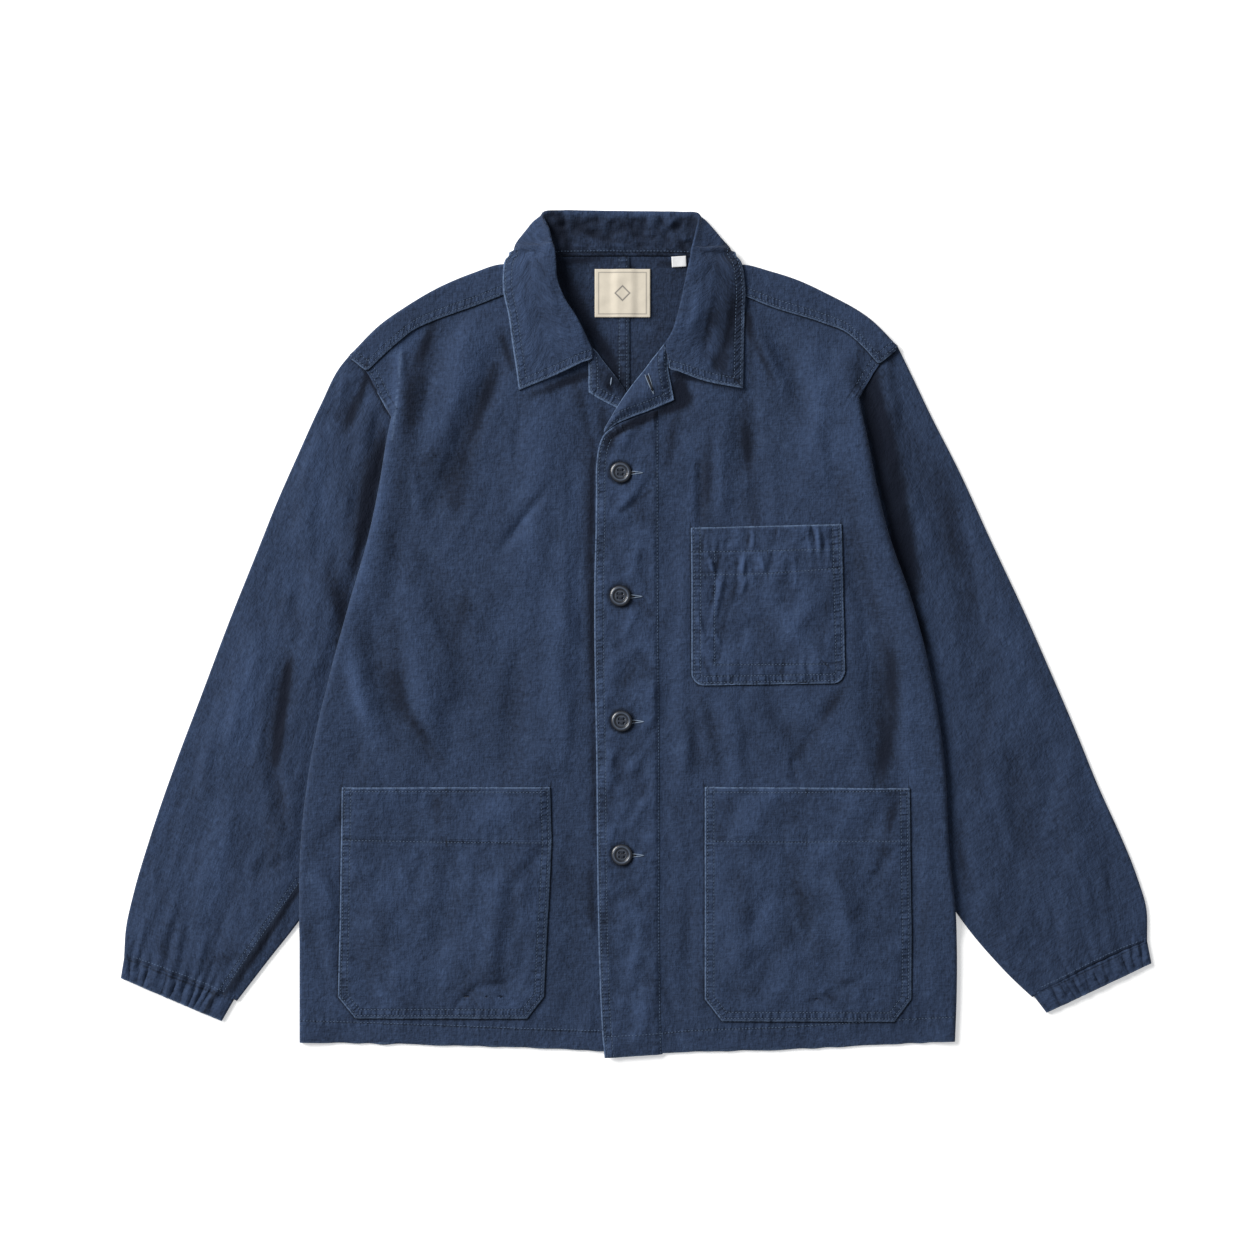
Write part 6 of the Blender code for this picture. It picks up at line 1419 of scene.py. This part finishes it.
def pocket(name, material):
    side, table = POCKETS[name]
    table = np.array(table[:-1] + ROUND_BOTTOM if name == "pocket_chest" else table, float)[::-1]
    step = POCKET_STEP * (0.62 if name == "pocket_chest" else 1.0)
    tall = table[-1, 0] - table[0, 0]
    wide = table[:, 2].max() - table[:, 1].min()
    y = np.unique(np.r_[np.linspace(table[0, 0], table[-1, 0], round(tall / step)), table[:2, 0]])[:, None]
    u = np.linspace(0.0, 1.0, round(wide / step))[None, :]
    left, right, tilt, puff = (np.interp(y, table[:, 0], table[:, k]) for k in range(1, 5))
    x = left + (right - left) * u
    flat_y = y
    y = y + tilt * u
    sewn = Seam(pocket_outline(table))
    double, turned, along = sewn.near(x, y)
    from_top = table[-1, 0] - flat_y
    open_top = smooth(1.0 - from_top / 26.0) * smooth(double / 14.0)
    lift = 1.42 + 0.95 * smooth(double / 16.0) + puff * np.sin(math.pi * u) ** 0.7
    relief = puckers(double - 5.5, along, 17.0, reach=4.6, wave=7.4, depth=0.45)
    relief = relief + 1.5 * washed(1.2 * x, 1.2 * y, 60 + len(name)) * smooth(double / 10.0)
    rows = [Seam(row) for row in POCKET_ROWS[name]]
    single = np.full(x.shape, FAR)
    for number, row in enumerate(rows):
        away, turned, run = row.near(x, y)
        depth, reach, wave = (1.5, 12.0, 13.5) if name == "pocket_chest" else (0.8, 8.0, 10.0)
        depth = 0.6 * depth if number < 2 else 0.5
        gathers = puckers(away, run, 30.0 + number, reach=reach, wave=wave, depth=depth)
        relief = relief + gathers * smooth(double / 8.0)
        signed = away * turned * (1.0 if number == 0 else -1.0)
        single = np.where(np.abs(signed) < np.abs(single), signed, single)
    relief = relief + open_top * (0.4 + 0.35 * np.sin(x / 11.0 + 1.0))
    if name == "pocket_chest":
        relief = relief + 1.9 * fold_relief(POCKET_CREASES, x, y)
    z = front_middle(side, x, y) + lift + np.maximum(relief, -0.35)
    grid = np.stack([x, y, z], -1)
    surface = on_cloth(grid)
    for distance in (FIRST_ROW, SECOND_ROW):
        sew(sewn.beside(distance), surface, POCKET_WALL / 2 + 0.12)
    for row in POCKET_ROWS[name]:
        sew(row, surface, POCKET_WALL / 2 + 0.12)
    # Its relief attribute paints shade in its puckers and creases and light on their ridges, with the painted
    # rows of its front.
    return cloth(name, grid, quads(*x.shape), material, wall=POCKET_WALL, double=double, along=along,
                 single=single, fold=np.minimum(double, from_top),
                 relief=1.7 * relief + fold_relief(PAINTED_SHADE_AND_LIGHT[side], x, y))


# ---------------------------------------------------------------- buttons, buttonholes and labels
HOLE_SPREAD = 2.1  # from the button's centre to the middle of a hole, along X and along Y
HOLE_RADIUS = 0.95
THREAD_RADIUS = 0.42
BUTTON_PROFILE = [  # distance from the middle and height, from the dish over the rim to the underside
    (0.02, 2.3), (1.5, 2.3), (3.4, 2.3), (5.2, 2.2), (5.9, 2.3), (6.6, 3.05), (7.4, 3.4), (8.3, 3.2),
    (9.2, 2.6), (9.75, 2.0), (9.85, 1.4), (9.6, 0.8), (8.6, 0.2), (7.6, 0.0), (4.0, 0.0), (0.02, 0.0),
]


def button_base(x, y):
    """Underside of a button: on the highest cloth under it, as its solid is."""
    return Vector(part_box(button_name(x, y))[0]).z / MM


def button_name(x, y):
    return f"button_{BUTTONS.index((x, y)) + 1}"


def button(number, centre, material):
    """A turned disc with a raised rim, a dished middle and four holes."""
    cx, cy = centre
    base = button_base(cx, cy)
    profile = Line(BUTTON_PROFILE)
    across = profile.at(np.r_[np.linspace(0.0, 0.3, 34), np.linspace(0.3, 1.0, 40)[1:]])
    turn = np.linspace(0.0, 2 * math.pi, BUTTON_SIDES + 1)[:-1]
    x = across[:, 0:1] * np.cos(turn)
    y = across[:, 0:1] * np.sin(turn)
    z = np.broadcast_to(across[:, 1:2], x.shape).copy()
    upper = np.arange(len(across))[:, None] < 34
    for hx in (-HOLE_SPREAD, HOLE_SPREAD):
        for hy in (-HOLE_SPREAD, HOLE_SPREAD):
            away = np.hypot(x - hx, y - hy)
            z = z - np.where(upper, 1.5 * smooth((HOLE_RADIUS + 0.25 - away) / 0.45), 0.0)
    z = z + np.where(upper, 0.04 * np.sin(9.0 * x) * np.sin(7.0 * y), 0.0)
    points = stack(cx + x, cy + y, base + z)
    ends = [np.arange(BUTTON_SIDES)[::-1], (len(across) - 1) * BUTTON_SIDES + np.arange(BUTTON_SIDES)]
    faces = quads(len(across), BUTTON_SIDES, closed=True).tolist() + [e.tolist() for e in ends]
    made = PIECES[f"button_{number}"] = mesh_object(f"button_{number}_disc", points, faces, material)
    write_attribute(made, "from_centre", np.ravel(np.hypot(x, y)))


def tube(name, lines, radius, material, sides=6):
    """Round threads along lines of points, as one mesh."""
    points, faces, first = [], [], 0
    for line in lines:
        line = np.asarray(line, float)
        ahead = np.gradient(line, axis=0)
        ahead /= np.linalg.norm(ahead, axis=1, keepdims=True)
        side = np.cross(ahead, [0.0, 0.0, 1.0])
        side /= np.maximum(np.linalg.norm(side, axis=1, keepdims=True), 1e-6)
        up = np.cross(side, ahead)
        turn = np.linspace(0.0, 2 * math.pi, sides + 1)[:-1]
        number = np.arange(len(line))
        thick = radius * np.sqrt(np.clip(np.minimum(number, number[::-1]), 0.15, 1.0))
        ring = line[:, None] + thick[:, None, None] * (
            np.cos(turn)[None, :, None] * side[:, None] + np.sin(turn)[None, :, None] * up[:, None])
        points.append(ring.reshape(-1, 3))
        faces += quads(len(line), sides, first, closed=True).tolist()
        faces.append((first + np.arange(sides))[::-1].tolist())
        faces.append((first + (len(line) - 1) * sides + np.arange(sides)).tolist())
        first += len(line) * sides
    return mesh_object(name, np.concatenate(points), faces, material)


def button_threads(material):
    lines = []
    for centre in BUTTONS:
        base = button_base(*centre)
        for hy in (-HOLE_SPREAD, HOLE_SPREAD):
            for shift in (-0.3, 0.3):
                t = np.linspace(-1.0, 1.0, 9)
                z = base + 1.35 + 1.25 * np.sqrt(np.maximum(1.0 - t**6, 0.0))
                lines.append(stack(centre[0] + t * HOLE_SPREAD, centre[1] + hy + shift, z))
    TRIMS.append(tube("button_threads", lines, THREAD_RADIUS, material))


def buttonhole_loops(height, ends, half_width):
    """The stitching of one buttonhole: two threads that meet past its end, in a small bar."""
    (x0, y0), (x1, y1) = ends
    long = math.hypot(x1 - x0, y1 - y0)
    ax, ay = (x1 - x0) / long, (y1 - y0) / long
    share = np.concatenate([np.linspace(0.0, 1.0, 26), np.linspace(1.0, 0.0, 26)[1:]])
    away = half_width * (1.0 - share**2.2) * np.r_[np.ones(26), -np.ones(25)]
    x, y = x0 + ax * long * share - ay * away, y0 + ay * long * share + ax * away
    return stack(x, y, height(x, y))


def buttonholes(dark, pale):
    """Stitched buttonholes of the band and the lapel, and a dark tube of painted shadow in the slit of each.
    """
    on_band = lambda x, y: SURFACES["placket"](x, y) + HALF + 0.3
    on_lapel = lambda x, y: SURFACES["lapel_left"](x, y) + HALF + 0.3
    holes = [(((cx - 4.0, cy - 0.6), (cx + BUTTONHOLE_TAIL, cy - 0.6)), on_band) for cx, cy in BUTTONS]
    holes.append((LAPEL_BUTTONHOLE, on_lapel))
    loops, slit_shadow_lines = [], []
    for ends, height in holes:
        loops.append(buttonhole_loops(height, ends, 1.9 if height is on_band else 1.6))
        share = np.linspace(0.06, 0.7 if height is on_band else 0.86, 12)
        x = ends[0][0] + (ends[1][0] - ends[0][0]) * share
        y = ends[0][1] + (ends[1][1] - ends[0][1]) * share
        slit_shadow_lines.append(stack(x, y, height(x, y) - 0.1))
    TRIMS.append(tube("buttonhole_slit_shadows", slit_shadow_lines, 1.25, dark))
    TRIMS.append(tube("buttonhole_threads", loops, 0.4, pale))
    x, y = np.linspace(*PALE_TACK, 6).T
    z = SURFACES["lapel_right"](x, y) + HALF + 0.35
    TRIMS.append(tube("lapel_tack", [stack(x, y, z)], 0.6, pale))


def label(name, material):
    (x0, y0), (x1, y1) = LABELS[name]
    columns, rows = max(6, round((x1 - x0) / 0.9)), max(6, round((y1 - y0) / 0.9))
    u, v = np.meshgrid(np.linspace(-1.0, 1.0, columns), np.linspace(-1.0, 1.0, rows))
    x, y = 0.5 * (x0 + x1) + 0.5 * (x1 - x0) * u, 0.5 * (y0 + y1) + 0.5 * (y1 - y0) * v
    if name == "label_size":  # it hangs a little askew from the neck seam
        x, y = x - 0.055 * (y - y1), y + 0.06 * (x - x0)
    relief = 0.25 + 0.16 * rumple(x, y, 16.0, 51) * (1.0 - u**4) * (1.0 - v**4)
    over_seam = smooth((x - (CENTRE_X - 12.0)) / 8.0) * (1.0 - smooth((x - (CENTRE_X + 7.0)) / 8.0))
    z = back_middle(x, y) + HALF + 0.35 + LABEL_WALL / 2 + relief + 1.1 * over_seam
    made = cloth(name, np.stack([x, y, z], -1), quads(*x.shape), material, 0.8)
    write_attribute(made, "label_u", np.ravel(u))
    write_attribute(made, "label_v", np.ravel(v))
    return made


# ---------------------------------------------------------------- stitches
def stitch_tree(material):
    """Geometry nodes: a small spindle of thread at every step along each line."""
    tree = bpy.data.node_groups.new("rows of stitches", "GeometryNodeTree")
    face = tree.interface
    face.new_socket("Lines", in_out="INPUT", socket_type="NodeSocketGeometry")
    for name, value in (("Pitch", STITCH_PITCH * MM), ("Length", 2.5 * MM), ("Width", 0.66 * MM)):
        socket = face.new_socket(name, in_out="INPUT", socket_type="NodeSocketFloat")
        socket.default_value = value
    face.new_socket("Stitches", in_out="OUTPUT", socket_type="NodeSocketGeometry")
    made = {kind: tree.nodes.new(kind) for kind in (
        "NodeGroupInput", "NodeGroupOutput", "GeometryNodeMeshToCurve", "GeometryNodeResampleCurve",
        "GeometryNodeMeshIcoSphere", "GeometryNodeInstanceOnPoints", "FunctionNodeAlignRotationToVector",
        "GeometryNodeInputTangent", "ShaderNodeCombineXYZ", "GeometryNodeRealizeInstances",
        "GeometryNodeSetMaterial", "GeometryNodeSetShadeSmooth")}
    given, out = made["NodeGroupInput"], made["NodeGroupOutput"]
    link = tree.links.new
    resample, place = made["GeometryNodeResampleCurve"], made["GeometryNodeInstanceOnPoints"]
    resample.mode = "LENGTH"
    link(given.outputs["Lines"], made["GeometryNodeMeshToCurve"].inputs["Mesh"])
    link(made["GeometryNodeMeshToCurve"].outputs["Curve"], resample.inputs["Curve"])
    link(given.outputs["Pitch"], resample.inputs["Length"])
    ball = made["GeometryNodeMeshIcoSphere"]
    ball.inputs["Radius"].default_value = 0.5
    ball.inputs["Subdivisions"].default_value = 1
    size = made["ShaderNodeCombineXYZ"]
    link(given.outputs["Length"], size.inputs["X"])
    link(given.outputs["Width"], size.inputs["Y"])
    link(given.outputs["Width"], size.inputs["Z"])
    align = made["FunctionNodeAlignRotationToVector"]
    align.axis = "X"
    link(made["GeometryNodeInputTangent"].outputs["Tangent"], align.inputs["Vector"])
    link(resample.outputs["Curve"], place.inputs["Points"])
    link(ball.outputs["Mesh"], place.inputs["Instance"])
    link(align.outputs["Rotation"], place.inputs["Rotation"])
    link(size.outputs["Vector"], place.inputs["Scale"])
    smooth_node, realize, finish = (made[k] for k in (
        "GeometryNodeSetShadeSmooth", "GeometryNodeRealizeInstances", "GeometryNodeSetMaterial"))
    link(place.outputs["Instances"], realize.inputs["Geometry"])
    link(realize.outputs["Geometry"], smooth_node.inputs["Geometry"])
    link(smooth_node.outputs["Geometry"], finish.inputs["Geometry"])
    finish.inputs["Material"].default_value = material
    link(finish.outputs["Geometry"], out.inputs["Stitches"])
    return tree


def stitches(material):
    """Every row of stitches on the jacket, as one mesh."""
    points = np.concatenate(STITCH_LINES)
    edges, first = [], 0
    for line in STITCH_LINES:
        edges += [(first + k, first + k + 1) for k in range(len(line) - 1)]
        first += len(line)
    lines = bpy.data.meshes.new("stitch lines")
    lines.from_pydata((points * MM).tolist(), edges, [])
    guide = bpy.data.objects.new("stitch guide", lines)
    bpy.context.scene.collection.objects.link(guide)
    rows = guide.modifiers.new("rows", "NODES")
    rows.node_group = stitch_tree(material)
    evaluated = guide.evaluated_get(bpy.context.evaluated_depsgraph_get())
    mesh = bpy.data.meshes.new_from_object(evaluated)
    made = bpy.data.objects.new("stitches", mesh)
    bpy.context.scene.collection.objects.link(made)
    bpy.data.objects.remove(guide, do_unlink=True)
    TRIMS.append(made)


# ---------------------------------------------------------------- shader maths
class Value:
    """A number that varies over a surface, used in sums as a plain number is."""

    def __init__(self, finish, socket):
        self.finish, self.socket = finish, socket

    def math(self, operation, *terms, clamp=False):
        settings = {"operation": operation, "use_clamp": clamp}
        return self.finish.node("ShaderNodeMath", settings, dict(enumerate(terms)))

    def __add__(self, other):
        return self.math("ADD", self, other)

    def __sub__(self, other):
        return self.math("SUBTRACT", self, other)

    def __rsub__(self, other):
        return self.math("SUBTRACT", other, self)

    def __mul__(self, other):
        return self.math("MULTIPLY", self, other)

    def __truediv__(self, other):
        return self.math("DIVIDE", self, other)

    def __pow__(self, other):
        return self.math("POWER", self, other)

    __radd__ = __add__
    __rmul__ = __mul__

    def sine(self):
        return self.math("SINE", self)

    def size(self):
        return self.math("ABSOLUTE", self)

    def clamp(self):
        return self.math("ADD", self, 0.0, clamp=True)

    def bell(self, width):
        """1 where the value is 0, falling to nothing over this width."""
        return self.math("EXPONENT", self * self * (-1.0 / width**2))

    def step(self, low, high):
        """0 below low, 1 above high and an eased ramp between."""
        settings = {"interpolation_type": "SMOOTHSTEP"}
        values = {"Value": self, "From Min": low, "From Max": high}
        return self.finish.node("ShaderNodeMapRange", settings, values)


class Finish:
    """A procedural material on one Principled shader."""

    def __init__(self, name):
        self.material = bpy.data.materials.new(name)
        self.material.use_nodes = True
        self.tree = self.material.node_tree
        self.shader = self.tree.nodes["Principled BSDF"]

    def node(self, kind, settings=None, inputs=None, output=0):
        made = self.tree.nodes.new(kind)
        for key, value in (settings or {}).items():
            setattr(made, key, value)
        for key, value in (inputs or {}).items():
            if isinstance(value, Value):
                self.tree.links.new(value.socket, made.inputs[key])
            else:
                made.inputs[key].default_value = value
        return Value(self, made.outputs[output])

    def attribute(self, name):
        return self.node("ShaderNodeAttribute", {"attribute_name": name}, output=2)

    def vector(self, x, y, z=0.0):
        return self.node("ShaderNodeCombineXYZ", inputs={0: x, 1: y, 2: z})

    def noise(self, place, scale, detail=2.0, rough=0.5):
        inputs = {"Vector": place, "Scale": scale, "Detail": detail, "Roughness": rough}
        return self.node("ShaderNodeTexNoise", None, inputs)

    def mix(self, factor, first, second):
        return self.node("ShaderNodeMix", {"data_type": "RGBA"}, {0: factor, 6: first, 7: second}, output=2)

    def finish(self, colour, roughness, height=None, strength=1.0, distance=MM, **plain):
        """Joins the finished values to the shader; plain values are set on their sockets."""
        for socket, value in (("Base Color", colour), ("Roughness", roughness)):
            if isinstance(value, Value):
                self.tree.links.new(value.socket, self.shader.inputs[socket])
            else:
                self.shader.inputs[socket].default_value = value
        if height is not None:
            values = {"Height": height, "Strength": strength, "Distance": distance}
            bump = self.node("ShaderNodeBump", None, values)
            self.tree.links.new(bump.socket, self.shader.inputs["Normal"])
        for socket, value in plain.items():
            self.shader.inputs[socket.replace("_", " ")].default_value = value
        return self.material


def shade(colour, factor):
    return (colour[0] * factor, colour[1] * factor, colour[2] * factor, 1.0)


# ---------------------------------------------------------------- finishes, linear colours
NAVY = (0.0222, 0.0378, 0.0790)
NAVY_PALE = (0.100, 0.150, 0.250)  # where washing and rubbing have taken the dye off, and the painted highlight on the lit side fold and its crease
THREAD_NAVY = (0.075, 0.114, 0.190)


def dyed_cloth(name, tone=1.0):
    """Garment-dyed cotton: slubby plain weave, blotched dye, puckered seams and pale rubbed edges, with
    painted shade in troughs, grooves and beside pieces on top, and painted light on ridges.
    """
    f = Finish(name)
    across, warp = f.attribute("across"), f.attribute("warp")
    double, single = f.attribute("double"), f.attribute("single")
    fold, along = f.attribute("fold"), f.attribute("along")
    beside, relief = f.attribute("beside"), f.attribute("relief")
    plan = f.vector(across, warp)
    # Weave: slubs stretched along the warp and along the weft, over single threads.
    warp_slub = f.noise(f.vector(across * 0.72, warp * 0.12), 1.0, 3.0, 0.6)
    weft_slub = f.noise(f.vector(across * 0.11, warp * 0.7, 7.0), 1.0, 3.0, 0.6)
    threads = (across * 7.4).sine() * (warp * 7.1).sine()
    blotch = f.noise(plan, 0.019, 3.0, 0.55)
    fade = f.noise(f.vector(across, warp * 0.7, 3.0), 0.085, 4.0, 0.6)
    # Gathers of the seams, and the two rows of a double-stitched edge.
    wander = f.noise(f.vector(along * 0.12, 0.0, 5.0), 1.0, 2.0, 0.5)
    rungs = (along * 0.92 + wander * 9.0).sine()
    ladder = (double - 5.4).bell(3.9)
    one_row = single.bell(4.6)
    grooves = (double - FIRST_ROW).bell(0.75) + (double - SECOND_ROW).bell(0.75) + single.bell(0.7)
    uneven = f.noise(f.vector(along * 0.09, double * 0.1, 2.0), 1.0, 2.0, 0.5).step(0.35, 0.65)
    close = (along * (2.0 * math.pi / STITCH_PITCH) + wander * 5.0).sine()
    between_rows = (double - 5.4).bell(2.7) * 0.75 + single.bell(1.5) * 0.6
    gathers = rungs * (ladder * 0.8 + one_row * 0.6) + close * uneven * between_rows
    # Edges are paled by rubbing, and the lit side fold and its crease more so as a painted highlight.
    edge_wear_and_highlight = fold.bell(1.1) * f.noise(plan, 0.35, 3.0, 0.6).step(0.28, 0.55)
    raised = (gathers * 0.5 + ladder * 0.12).clamp() * f.noise(plan, 0.6, 2.0).step(0.35, 0.7)
    wear_and_highlight = (edge_wear_and_highlight * 0.9 + raised * 0.36 + fade.step(0.56, 0.86) * 0.14).clamp()
    crinkle = f.noise(f.vector(across * 0.34, warp * 0.24, 11.0), 1.0, 4.0, 0.62)
    value = 0.5 + (blotch - 0.5) * 0.40 + (fade - 0.5) * 0.50
    value = value + (warp_slub - 0.5) * 0.60 + (weft_slub - 0.5) * 0.58
    # relief darkens troughs as painted shade and pales ridges as painted light; grooves darken the stitch
    # rows as painted shade, gathers paint light and shade on the puckers' ladders, and beside paints a
    # contact shadow next to pieces on top.
    value = value + (crinkle - 0.5) * 1.15 + relief * 0.07
    value = value - grooves * 0.30 + gathers * 0.13 - beside.bell(1.4) * 0.68
    dark, light = shade(NAVY, 0.40 * tone), shade(NAVY, 1.60 * tone)
    body = f.mix(value.clamp(), dark, light)
    colour = f.mix(wear_and_highlight, body, shade(NAVY_PALE, tone))
    # Deep folds and shaded places are painted near black, as shade.
    painted_deep_shade = (relief * -1.0).step(1.4, 11.0) * 0.9
    colour = f.mix(painted_deep_shade, colour, (0.0018, 0.0042, 0.0125, 1.0))
    height = (warp_slub + weft_slub) * 0.50 + threads * 0.05 + crinkle * 1.35
    height = height + f.noise(plan, 0.13, 3.0, 0.55) * 1.5 + gathers * 0.42 - grooves * 0.42
    rough = 0.86 + (fade - 0.5) * 0.12
    return f.finish(colour, rough, height, 0.9, MM, Sheen_Weight=0.05, Sheen_Roughness=0.5,
                    Specular_IOR_Level=0.16)


def thread_finish(name, colour):
    f = Finish(name)
    place = f.node("ShaderNodeTexCoord", output=3)
    twist = f.noise(place, 2600.0, 2.0)
    shadeless = f.mix(twist, shade(colour, 0.7), shade(colour, 1.3))
    return f.finish(shadeless, 0.7, twist, 0.3, 0.2 * MM, Specular_IOR_Level=0.3)


def button_finish():
    """Dark horn-like resin under a clear coat, with painted highlight rings on the rim's top and in the dish,
    and painted shade on the rim's outer wall and in the groove round the dish.
    """
    f = Finish("dark resin")
    place = f.node("ShaderNodeTexCoord", output=3)
    cloud = f.noise(place, 190.0, 4.0, 0.6)
    speck = f.noise(place, 1500.0, 2.0, 0.5)
    ring = f.attribute("from_centre")
    # Painted shade on the rim's outer wall and in the groove round the dish, and painted highlight rings on
    # the rim's top and in the dish.
    painted_shade_rings = (ring.step(8.2, 9.3) * 0.9 + (ring - 5.7).bell(0.8) * 0.7).clamp()
    painted_highlight_rings = (ring - 7.3).bell(0.6) * 0.5 + (ring - 4.3).bell(0.5) * 0.3
    colour = f.mix(cloud.step(0.3, 0.75), (0.008, 0.012, 0.022, 1.0), (0.026, 0.035, 0.056, 1.0))
    colour = f.mix(painted_highlight_rings, colour, (0.095, 0.125, 0.180, 1.0))
    colour = f.mix(painted_shade_rings, colour, (0.003, 0.004, 0.007, 1.0))
    return f.finish(colour, 0.30 + speck * 0.16, speck, 0.12, 0.2 * MM, Coat_Weight=0.5, Coat_Roughness=0.2)


def label_finish(name, cream, pattern):
    """Woven tape; the neck label has a thin border and a small lozenge."""
    f = Finish(name)
    u, v = f.attribute("label_u"), f.attribute("label_v")
    across, warp = f.attribute("across"), f.attribute("warp")
    weave = (across * 9.0).sine() * (warp * 9.0).sine()
    stain = f.noise(f.vector(across, warp), 0.11, 3.0)
    colour = f.mix(stain, shade(cream, 0.86), shade(cream, 1.0))
    if pattern:
        reach = u.size().math("MAXIMUM", u.size(), v.size())
        border = (reach - 0.86).bell(0.022)
        lozenge = (u.size() * 1.0 + v.size() * 0.86 - 0.26).bell(0.035)
        ink = (border * 0.55 + lozenge * 0.8).clamp()
        colour = f.mix(ink, colour, (0.045, 0.048, 0.060, 1.0))
    return f.finish(colour, 0.85, weave * 0.05 + stain * 0.2, 0.4, MM, Specular_IOR_Level=0.2)


# ---------------------------------------------------------------- the jacket
navy_body = dyed_cloth("navy cotton")
navy_sleeve = dyed_cloth("navy cotton sleeves", 0.97)
navy_collar = dyed_cloth("navy cotton collar", 1.08)
navy_pocket = dyed_cloth("navy cotton pockets", 1.03)
thread = thread_finish("navy thread", THREAD_NAVY)
pale_thread = thread_finish("pale thread", (0.17, 0.22, 0.30))
dark_thread = thread_finish("button thread", (0.016, 0.022, 0.036))
dark_slit = thread_finish("shadow in the buttonholes", (0.006, 0.008, 0.014))
resin = button_finish()

for side in ("right", "left"):
    back(side, navy_body)
    front(side, navy_body)
    sleeve(side, navy_sleeve)
    cuff(side, navy_sleeve)
    lapel(side, navy_collar)
collar(navy_collar)
band(navy_pocket)
for name in POCKETS:
    pocket(name, navy_pocket)
for number, centre in enumerate(BUTTONS, 1):
    button(number, centre, resin)
label("label_neck", label_finish("cream tape", (0.66, 0.60, 0.50), True))
label("label_size", label_finish("white tape", (0.74, 0.75, 0.77), False))
button_threads(dark_thread)
stitches(thread)
buttonholes(dark_slit, pale_thread)

for node, made in PIECES.items():
    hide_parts(node)
    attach(made, "root")
for made in TRIMS:
    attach(made, "root")


# ---------------------------------------------------------------- floor, light and camera
FLOOR_GLOW = 0.36  # the paper is lit evenly from below
FLOOR_HALF = 14.0  # half of the paper's side, in metres


def floor():
    mesh = bpy.data.meshes.new("floor")
    corners = [(x * FLOOR_HALF, y * FLOOR_HALF, 0) for x, y in ((-1, -1), (1, -1), (1, 1), (-1, 1))]
    mesh.from_pydata(corners, [], [(0, 1, 2, 3)])
    made = bpy.data.objects.new("floor", mesh)
    made.location.z = -0.05 * MM
    bpy.context.scene.collection.objects.link(made)
    f = Finish("white paper")
    mesh.materials.append(f.finish((0.93, 0.93, 0.93, 1.0), 0.9, Specular_IOR_Level=0.1,
                                   Emission_Color=(1.0, 1.0, 1.0, 1.0), Emission_Strength=FLOOR_GLOW))


def soft_light(name, place, aim, size, power, colour):
    lamp = bpy.data.lights.new(name, "AREA")
    lamp.shape = "DISK"
    lamp.size = size
    lamp.energy = power
    lamp.color = colour
    made = bpy.data.objects.new(name, lamp)
    made.location = place
    made.rotation_euler = (Vector(aim) - Vector(place)).to_track_quat("-Z", "Y").to_euler()
    bpy.context.scene.collection.objects.link(made)


def camera():
    wide = FRAME_PIXELS * PIXEL * MM
    view = bpy.data.cameras.new("above the jacket")
    view.sensor_width = SENSOR
    view.lens = LENS
    view.clip_end = 50.0
    made = bpy.data.objects.new("above the jacket", view)
    made.location = (VIEW_CENTRE[0] * MM, VIEW_CENTRE[1] * MM, wide * LENS / SENSOR + 0.006)
    bpy.context.scene.collection.objects.link(made)
    bpy.context.scene.camera = made


floor()
camera()
soft_light("window", (-4.4, 2.7, 3.7), (0.0, 0.0, 0.0), 4.2, 640.0, (1.0, 0.99, 0.97))
world = bpy.data.worlds.new("white studio")
world.use_nodes = True
world.node_tree.nodes["Background"].inputs["Color"].default_value = (0.96, 0.98, 1.0, 1.0)
world.node_tree.nodes["Background"].inputs["Strength"].default_value = 0.34
bpy.context.scene.world = world
bpy.context.scene.view_settings.view_transform = "Standard"

bpy.context.view_layer.update()
